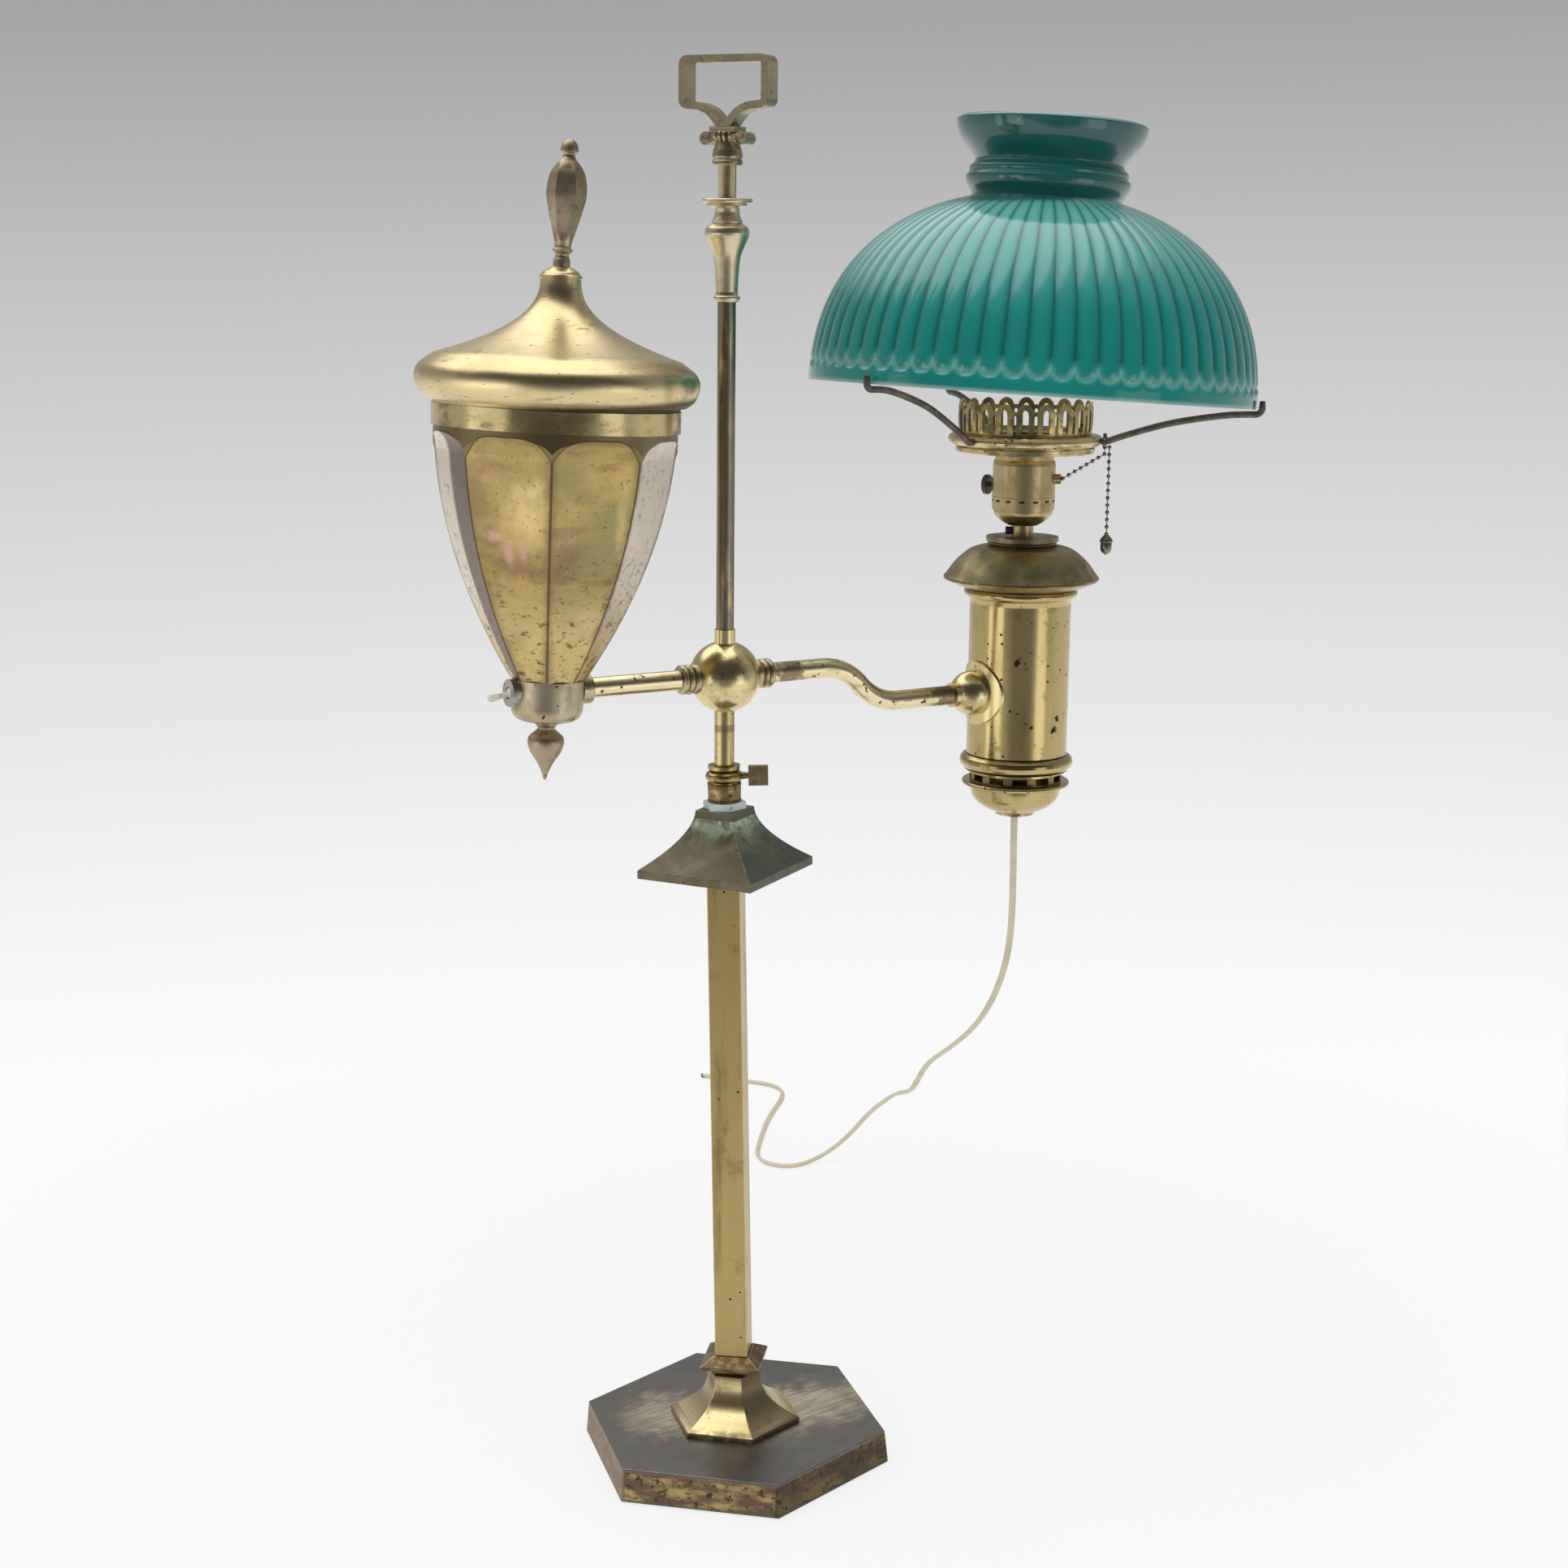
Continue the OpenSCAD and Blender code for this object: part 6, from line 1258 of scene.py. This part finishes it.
SHADE_R, SHADE_Z, SHADE_TILT, TILT_TURN = 127.0, 148.0, 4.1, 7.0
SHADE_SHIFT, SHIFT_TURN = 2.6, -30.0
WIRE_TURNS = (WIRE_TURN, WIRE_TURN + 120, WIRE_TURN + 236.5)
HOOK_H, WIRE_SEAT = 8.0, 8.0
HOOK_R = WIRE_R + 1.8
BOW = ((0, 0), (0.16, 0.27), (0.45, 0.67), (0.8, 0.95), (1, 1))

wires = []
for turn in WIRE_TURNS:
    tip = SHADE_R * cos(radians(SHADE_TILT)) + WIRE_R + 1.4 + SHADE_SHIFT * cos(radians(turn - SHIFT_TURN))
    rim = SHADE_Z - SHADE_R * sin(radians(SHADE_TILT)) * cos(radians(turn - TILT_TURN))
    top = rim - WIRE_R - PASS_GAP - 0.6
    start = PLATE_R + 3
    run, rise = tip - HOOK_R - start, top - WIRE_Z
    line = [(PLATE_R - WIRE_SEAT + 0.1, WIRE_Z), (PLATE_R - 1, WIRE_Z)]
    line += spline([(start + s * run, WIRE_Z + h * rise) for s, h in BOW], 8)
    for a in range(-80, 1, 10):
        line.append((start + run + HOOK_R * cos(radians(a)), top + HOOK_R + HOOK_R * sin(radians(a))))
    line.append((tip, top + HOOK_H - 0.5))
    path = [Vector((x, 0, z)) * MM for x, z in line]
    radii = [WIRE_R] * (len(path) - 1) + [0.8 * WIRE_R]
    bent = swept(path, lambda i: circle(radii[i], 14))
    wires.append(placed(bent, turned_by(turn)))
piece("shade_wires", placed(joined(*wires), BURNER), wire, "arms", "dark_wire", "shade_arms", sharp=60)


# Shade: blown cased glass, teal green over a white lining, pressed in a mould into ribs that end in
# rounded tips above a plain rim. Its neck has two beads and flares to a fire-polished mouth.

DOME_H, NECK_H, NECK_R, TOP_R, GLASS = 112.0, 39.0, 41.75, 53.75, 3.6
RIBS = 62
RIB_DEPTH = 1.5
RIB_END = 9.0
DOME_ROWS = 50
DOME_POWER, GROOVE_POWER = 2.25, 2.3
SHADE = (
    BURNER @ turned_by(SHIFT_TURN) @ Matrix.Translation((SHADE_SHIFT * MM, 0, SHADE_Z * MM))
    @ turned_by(TILT_TURN - SHIFT_TURN) @ turned_by(SHADE_TILT, "Y") @ turned_by(-TILT_TURN)
)


def dome_z(r):
    """The dome's height over the rim at a radius."""
    return DOME_H * max(1 - (r / SHADE_R) ** DOME_POWER, 0.0) ** (1 / DOME_POWER)


foot_r = NECK_R + 6.4
foot_z = dome_z(foot_r)
rise = NECK_H + DOME_H - foot_z
wide = TOP_R - NECK_R
low_rows = [0.0, 2.4, 4.8] + [6 + 0.75 * k for k in range(16)]
dome = [(SHADE_R * (1 - (z / DOME_H) ** DOME_POWER) ** (1 / DOME_POWER), z) for z in low_rows]
first = acos((dome[-1][0] - foot_r) / (SHADE_R - foot_r))
for k in range(1, DOME_ROWS + 1):
    r = foot_r + (SHADE_R - foot_r) * cos(first + (pi / 2 - first) * k / DOME_ROWS)
    dome.append((r, dome_z(r)))
beads = [(0.6, 0.04), (1.7, 0.1), (3.9, 0.19), (4.6, 0.28), (3, 0.325), (3.1, 0.39), (0.5, 0.45)]
beads = spline([(NECK_R + out, foot_z + up * rise) for out, up in beads], 6)
mouth = [(0, 0.49), (0.21, 0.56), (0.5, 0.65), (0.75, 0.74), (0.92, 0.85)]
mouth = [(NECK_R + out * wide, foot_z + up * rise) for out, up in mouth]
mouth = spline(mouth + [(TOP_R, foot_z + rise - GLASS / 2)], 6)
outside = dome + beads + mouth
across = [-1.0, -0.92, -0.75, -0.45, 0.0, 0.45, 0.75, 0.92]
angles = [(tau * (rib + 0.5 + u / 2) / RIBS, u) for rib in range(RIBS) for u in across]


def groove(r, z, u):
    """The depth of the line between two ribs, and its share along a rib, painted as shade, and round a
    rib's tip, painted as a highlight.
    """
    half = pi * r / RIBS
    below = max(0.0, (RIB_END + half - z) / half)
    t = hypot(u, below) if z < RIB_END + half else abs(u)
    line = t ** GROOVE_POWER if t <= 1 else exp(-((t - 1) / 0.2) ** 2)
    fade = min(1.0, 0.35 + 0.65 * (r - foot_r) / (SHADE_R - foot_r))
    at_tip = max(0.0, min(1.0, (RIB_END + half + 4 - z) / 4))
    return RIB_DEPTH * fade * line, line * (1 - at_tip), line * at_tip


bm = bmesh.new()
layers = [bm.verts.layers.float.new(name) for name in ("lining", "valley_shade", "tip_highlight")]


def glass_ring(r, z, white, ribbed=False):
    """One ring of the glass: how white it is, and the lines between its ribs, painted as shade, and round
    their tips, painted as highlights.
    """
    ring = []
    for a, u in angles:
        depth, between, tip_highlight_share = groove(r, z, u) if ribbed else (0.0, 0.0, 0.0)
        vertex = bm.verts.new(around(r - depth, a, z))
        for layer, mark in zip(layers, (white, between ** 1.5, tip_highlight_share ** 2)):
            vertex[layer] = mark
        ring.append(vertex)
    return ring


throat = spline([
    (NECK_R - GLASS, foot_z + 0.4 * rise), (NECK_R - GLASS, foot_z + 0.1 * rise),
    (NECK_R - GLASS + 1.4, foot_z - 0.4), (NECK_R + 2.4, foot_z - GLASS),
], 4)
within = inset(dome, GLASS)
lining = inset(mouth, GLASS)[::-2] + throat + within[-2::-3] + within[:1]
rings = [glass_ring(r, z, 0.0 if k else 0.45, k < len(dome) - 1) for k, (r, z) in enumerate(outside)]
rings.append(glass_ring(TOP_R - GLASS / 2, outside[-1][1] + GLASS / 2 - 0.2, 0.3))
rings += [glass_ring(r, max(z, 0.6), 1.0) for r, z in lining]
rings.append(glass_ring(SHADE_R - GLASS / 2, 0.0, 0.6))
bridged(bm, rings + rings[:1])
bmesh.ops.recalc_face_normals(bm, faces=bm.faces)

glass = Finish("cased_green_glass", (0.010, 0.235, 0.21), 0.14, 0.0)
glass.patches(16.0, 0.4, 0.7, (0.008, 0.20, 0.18), share=0.7)
# The upper dome is painted paler as a painted reflection of the light overhead.
reflection_low, reflection_high, shade_neck = (place_in(SHADE, 0, 0, z)[2] for z in (46, 92, foot_z + 1))
glass.over(glass.above(reflection_low, reflection_high), (0.11, 0.37, 0.34))
glass.over(glass.above(shade_neck - 1 * MM, shade_neck + 2 * MM), (0.005, 0.088, 0.082), share=0.95)
# The lines between the ribs are painted dark as shade and the lines round the rib tips painted pale as
# highlights.
glass.over(glass.attribute("valley_shade"), (0.002, 0.085, 0.078), share=0.85)
glass.over(glass.attribute("tip_highlight"), (0.20, 0.48, 0.44), share=0.75)
glass.pits(150.0, 0.1, 0.12, (0.30, 0.42, 0.40), 0.4)
glass.over(glass.attribute("lining"), (0.80, 0.86, 0.84), 0.2)
glass.grain(60.0, 0.1, detail=2.0)
cased = glass.done(IOR=1.46, Coat_Weight=0.35, Coat_IOR=1.5, Coat_Roughness=0.05)
piece("ribbed_shade", placed(bm, SHADE), cased, "shade", "green_glass", "shade", sharp=80)


# Cord: a flat twin lead in cream plastic, new against the lamp. It hangs from a fibre bush in the drip
# cup, reaches the table behind the lamp, loops there and ends where it was cut off.

CORD_W, CORD_T = 4.4, 2.7
CORD_ROUTE = [
    (194, 0, 318), (195, 2, 288), (198, 11, 257), (205, 40, 220), (217, 79, 192), (232, 123, 167),
    (246, 163, 146), (254, 187, 131), (260, 207, 110), (269, 230, 98), (279, 258, 88), (288, 290, 70),
    (296, 324, 49), (298, 344, 31), (293, 359, 15), (283, 367, 5), (273, 368, 2.4), (262, 364, 2.4),
    (248, 368, 2.4), (240, 383, 2.4), (243, 398, 2.4), (252, 412, 2.4), (262, 426, 2.4), (274, 442, 2.4),
    (288, 460, 2.4), (304, 478, 2.4), (322, 496, 2.4), (335, 514, 2.4), (334.6, 533, 2.4), (323, 549, 2.4),
    (310, 566, 2.4), (297, 583.6, 2.4),
]
EXIT_Z = -97.3


def supple(points, steps):
    """A soft curve that starts and ends at its end points and bends gently past the others."""
    knots = [2 * points[0] - points[1]] + points + [2 * points[-1] - points[-2]]
    curve = []
    for a, b, c, d in zip(knots, knots[1:], knots[2:], knots[3:]):
        for k in range(steps):
            t = k / steps
            curve.append((
                (1 - t) ** 3 * a + (3 * t ** 3 - 6 * t * t + 4) * b
                + (3 * t * t - 3 * t ** 3 + 3 * t + 1) * c + t ** 3 * d
            ) / 6)
    return curve + [points[-1]]


way_out = (POST.to_3x3() @ Vector((0, 0, -1))).normalized()
cord_exit = Vector(place_in(BURNER, 0, 0, EXIT_Z))
cord_path = supple([cord_exit, cord_exit + 10 * MM * way_out] + [Vector(p) * MM for p in CORD_ROUTE], 6)
lobe = CORD_T / 2
apart = CORD_W / 2 - lobe
twin = []
for side in (1, -1):
    for a in range(-125, 126, 25):
        x, y = apart + lobe * cos(radians(a)), lobe * sin(radians(a))
        twin.append((side * x * MM, side * y * MM))
lead_shape = swept(cord_path, lambda k: twin, (1, 0, 0))
cream = Finish("cream_plastic", (0.80, 0.74, 0.56), 0.42, 0.0)
cream.patches(70.0, 0.42, 0.66, (0.74, 0.67, 0.49), 0.48)
cut_end = cream.spot(tuple(cord_path[-1]), (3.4 * MM,) * 3, 500.0, 0.5, 0.4)
cream.over(cut_end, (0.06, 0.05, 0.04), 0.7)
cream.grain(900.0, 0.03)
lead_mesh = bpy.data.meshes.new("flat_lead")
lead_shape.to_mesh(lead_mesh)
lead_shape.free()
lead_mesh.shade_smooth()
lead_mesh.materials.append(cream.done())
flat_lead = shown("flat_lead", lead_mesh)
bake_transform(flat_lead)
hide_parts("cord")


# Studio: a pale floor that fades into a pale backdrop, grey at the top, soft boxes to the left, the
# right and overhead, and the camera where the photographer stood.

FLOOR_R, FLOOR_Z, FLOOR_GLOW = 1.6, -0.0002, 0.76
FADE_FROM, FADE_TO = 0.25, 1.3
ROOM_DARK, CEILING_LIGHT = 0.8, 1.8
CAMERA_AT = Vector((-0.6689, -1.2094, 0.7014))
CAMERA_TURN, CAMERA_TILT, CAMERA_ROLL = -30.30, 77.46, -0.65
LENS, SENSOR = 59.35, 36.0
MIDDLE = Vector((0.05, 0.0, 0.42))


def shows(tree, ray):
    """Whether a ray is one that shows a surface itself: straight, reflected or through glass."""
    mirrored = maths(tree, "MAXIMUM", ray["Is Camera Ray"], ray["Is Glossy Ray"])
    return maths(tree, "MAXIMUM", mirrored, ray["Is Transmission Ray"])


floor_mesh = bpy.data.meshes.new("floor")
bm = bmesh.new()
bmesh.ops.create_circle(bm, cap_ends=True, segments=96, radius=FLOOR_R)
bm.to_mesh(floor_mesh)
bm.free()
floor = shown("floor", floor_mesh)
floor.location.z = FLOOR_Z
paper = bpy.data.materials.new("white_paper")
paper.use_nodes = True
tree = paper.node_tree
tree.nodes.clear()
ray = add(tree, "ShaderNodeLightPath").outputs
matt = add(tree, "ShaderNodeBsdfDiffuse", {"Color": (0.9, 0.9, 0.9, 1)})
glow = add(tree, "ShaderNodeEmission", {"Color": (1, 1, 1, 1), "Strength": 1.0})
bright = maths(tree, "MULTIPLY", shows(tree, ray), FLOOR_GLOW)
lit = add(tree, "ShaderNodeMixShader", {0: bright, 1: matt.outputs[0], 2: glow.outputs[0]})
place = add(tree, "ShaderNodeTexCoord").outputs["Object"]
far = add(tree, "ShaderNodeVectorMath", {0: place}, operation="LENGTH").outputs["Value"]
clear = add(tree, "ShaderNodeBsdfTransparent")
away = step(tree, far, FADE_FROM, FADE_TO)
fade = add(tree, "ShaderNodeMixShader", {0: away, 1: lit.outputs[0], 2: clear.outputs[0]})
tree.links.new(fade.outputs[0], add(tree, "ShaderNodeOutputMaterial").inputs["Surface"])
floor_mesh.materials.append(paper)

world = bpy.data.worlds.new("studio")
scene.world = world
world.use_nodes = True
tree = world.node_tree
tree.nodes.clear()
ray = add(tree, "ShaderNodeLightPath").outputs
way = add(tree, "ShaderNodeTexCoord").outputs["Generated"]
height = add(tree, "ShaderNodeSeparateXYZ", {0: way}).outputs["Z"]
share = add(tree, "ShaderNodeMapRange", {"Value": height, "From Min": -0.5, "From Max": 0.5})
ramp = add(tree, "ShaderNodeValToRGB", {0: share.outputs["Result"]})
SWEEP = (
    (0.0, 1.0), (0.10, 1.0), (0.183, 0.985), (0.272, 0.863), (0.396, 0.672), (0.571, 0.376), (0.8, 0.30),
    (1.0, 0.30),
)
stops = ramp.color_ramp.elements
for at, _ in SWEEP[1:-1]:
    stops.new(at)
for stop, (at, level) in zip(stops, SWEEP):
    stop.position = at
    stop.color = (level, level, level, 1.0)
facing = Vector((CAMERA_AT.x, CAMERA_AT.y, 0)).normalized()
leftward = Vector((0, 0, 1)).cross(facing) * -1
overhead = (Vector((0, 0, 1)) - 0.27 * facing + 0.2 * leftward).normalized()


def towards(direction, low, high):
    """How far a ray of the studio points a given way, as a soft step."""
    made = add(tree, "ShaderNodeVectorMath", {0: way, 1: direction}, operation="DOT_PRODUCT")
    return step(tree, made.outputs["Value"], low, high)


# Reflections see a lit ceiling, a dark room behind the camera and a bright floor with the camera's gap
ceiling = towards(overhead, 0.68, 0.84)
low_down = rest_of(tree, step(tree, height, -0.2, -0.08))
room = maths(tree, "MULTIPLY", towards(facing, 0.0, 0.5), rest_of(tree, low_down))
gap = maths(tree, "MULTIPLY", towards(facing, 0.8, 0.93), low_down)
dark = maths(tree, "MULTIPLY", maths(tree, "MAXIMUM", room, gap), rest_of(tree, ceiling))
dark = maths(tree, "MULTIPLY", dark, maths(tree, "MULTIPLY", ray["Is Glossy Ray"], ROOM_DARK))
glare = maths(tree, "MULTIPLY", ceiling, ray["Is Glossy Ray"])
backdrop = {0: shows(tree, ray), 6: (0.5, 0.5, 0.5, 1), 7: ramp.outputs["Color"]}
sky = add(tree, "ShaderNodeMix", backdrop, data_type="RGBA")
lights = {0: glare, 6: sky.outputs[2], 7: (CEILING_LIGHT, CEILING_LIGHT, CEILING_LIGHT, 1)}
lit_sky = add(tree, "ShaderNodeMix", lights, data_type="RGBA").outputs[2]
air = add(tree, "ShaderNodeBackground", {"Color": lit_sky, "Strength": rest_of(tree, dark)})
tree.links.new(air.outputs[0], add(tree, "ShaderNodeOutputWorld").inputs["Surface"])


def soft_box(name, turn, height, away, wide, tall, power, shines=True):
    """An area light round the lamp; turn is from the camera, positive to its left."""
    data = bpy.data.lights.new(name, "AREA")
    data.shape = "RECTANGLE"
    data.size, data.size_y, data.energy = wide, tall, power
    box = shown(name, data)
    a = radians(turn)
    box.location = MIDDLE + away * (cos(a) * facing + sin(a) * leftward) + Vector((0, 0, height))
    box.rotation_mode = "QUATERNION"
    box.rotation_quaternion = (MIDDLE - box.location).to_track_quat("-Z", "Y")
    box.visible_glossy = shines


soft_box("left_box", turn=62, height=-0.1, away=1.7, wide=1.2, tall=0.7, power=3.1)
soft_box("right_box", turn=-50, height=-0.1, away=1.7, wide=0.7, tall=0.7, power=1.3)
soft_box("top_box", turn=20, height=1.6, away=0.4, wide=2.0, tall=2.0, power=20.0, shines=False)

camera_data = bpy.data.cameras.new("camera")
camera_data.lens, camera_data.sensor_width = LENS, SENSOR
camera = shown("camera", camera_data)
camera.matrix_world = (
    Matrix.Translation(CAMERA_AT)
    @ turned_by(CAMERA_TURN) @ turned_by(CAMERA_TILT, "X") @ turned_by(CAMERA_ROLL)
)
scene.camera = camera
scene.view_settings.view_transform = "Standard"
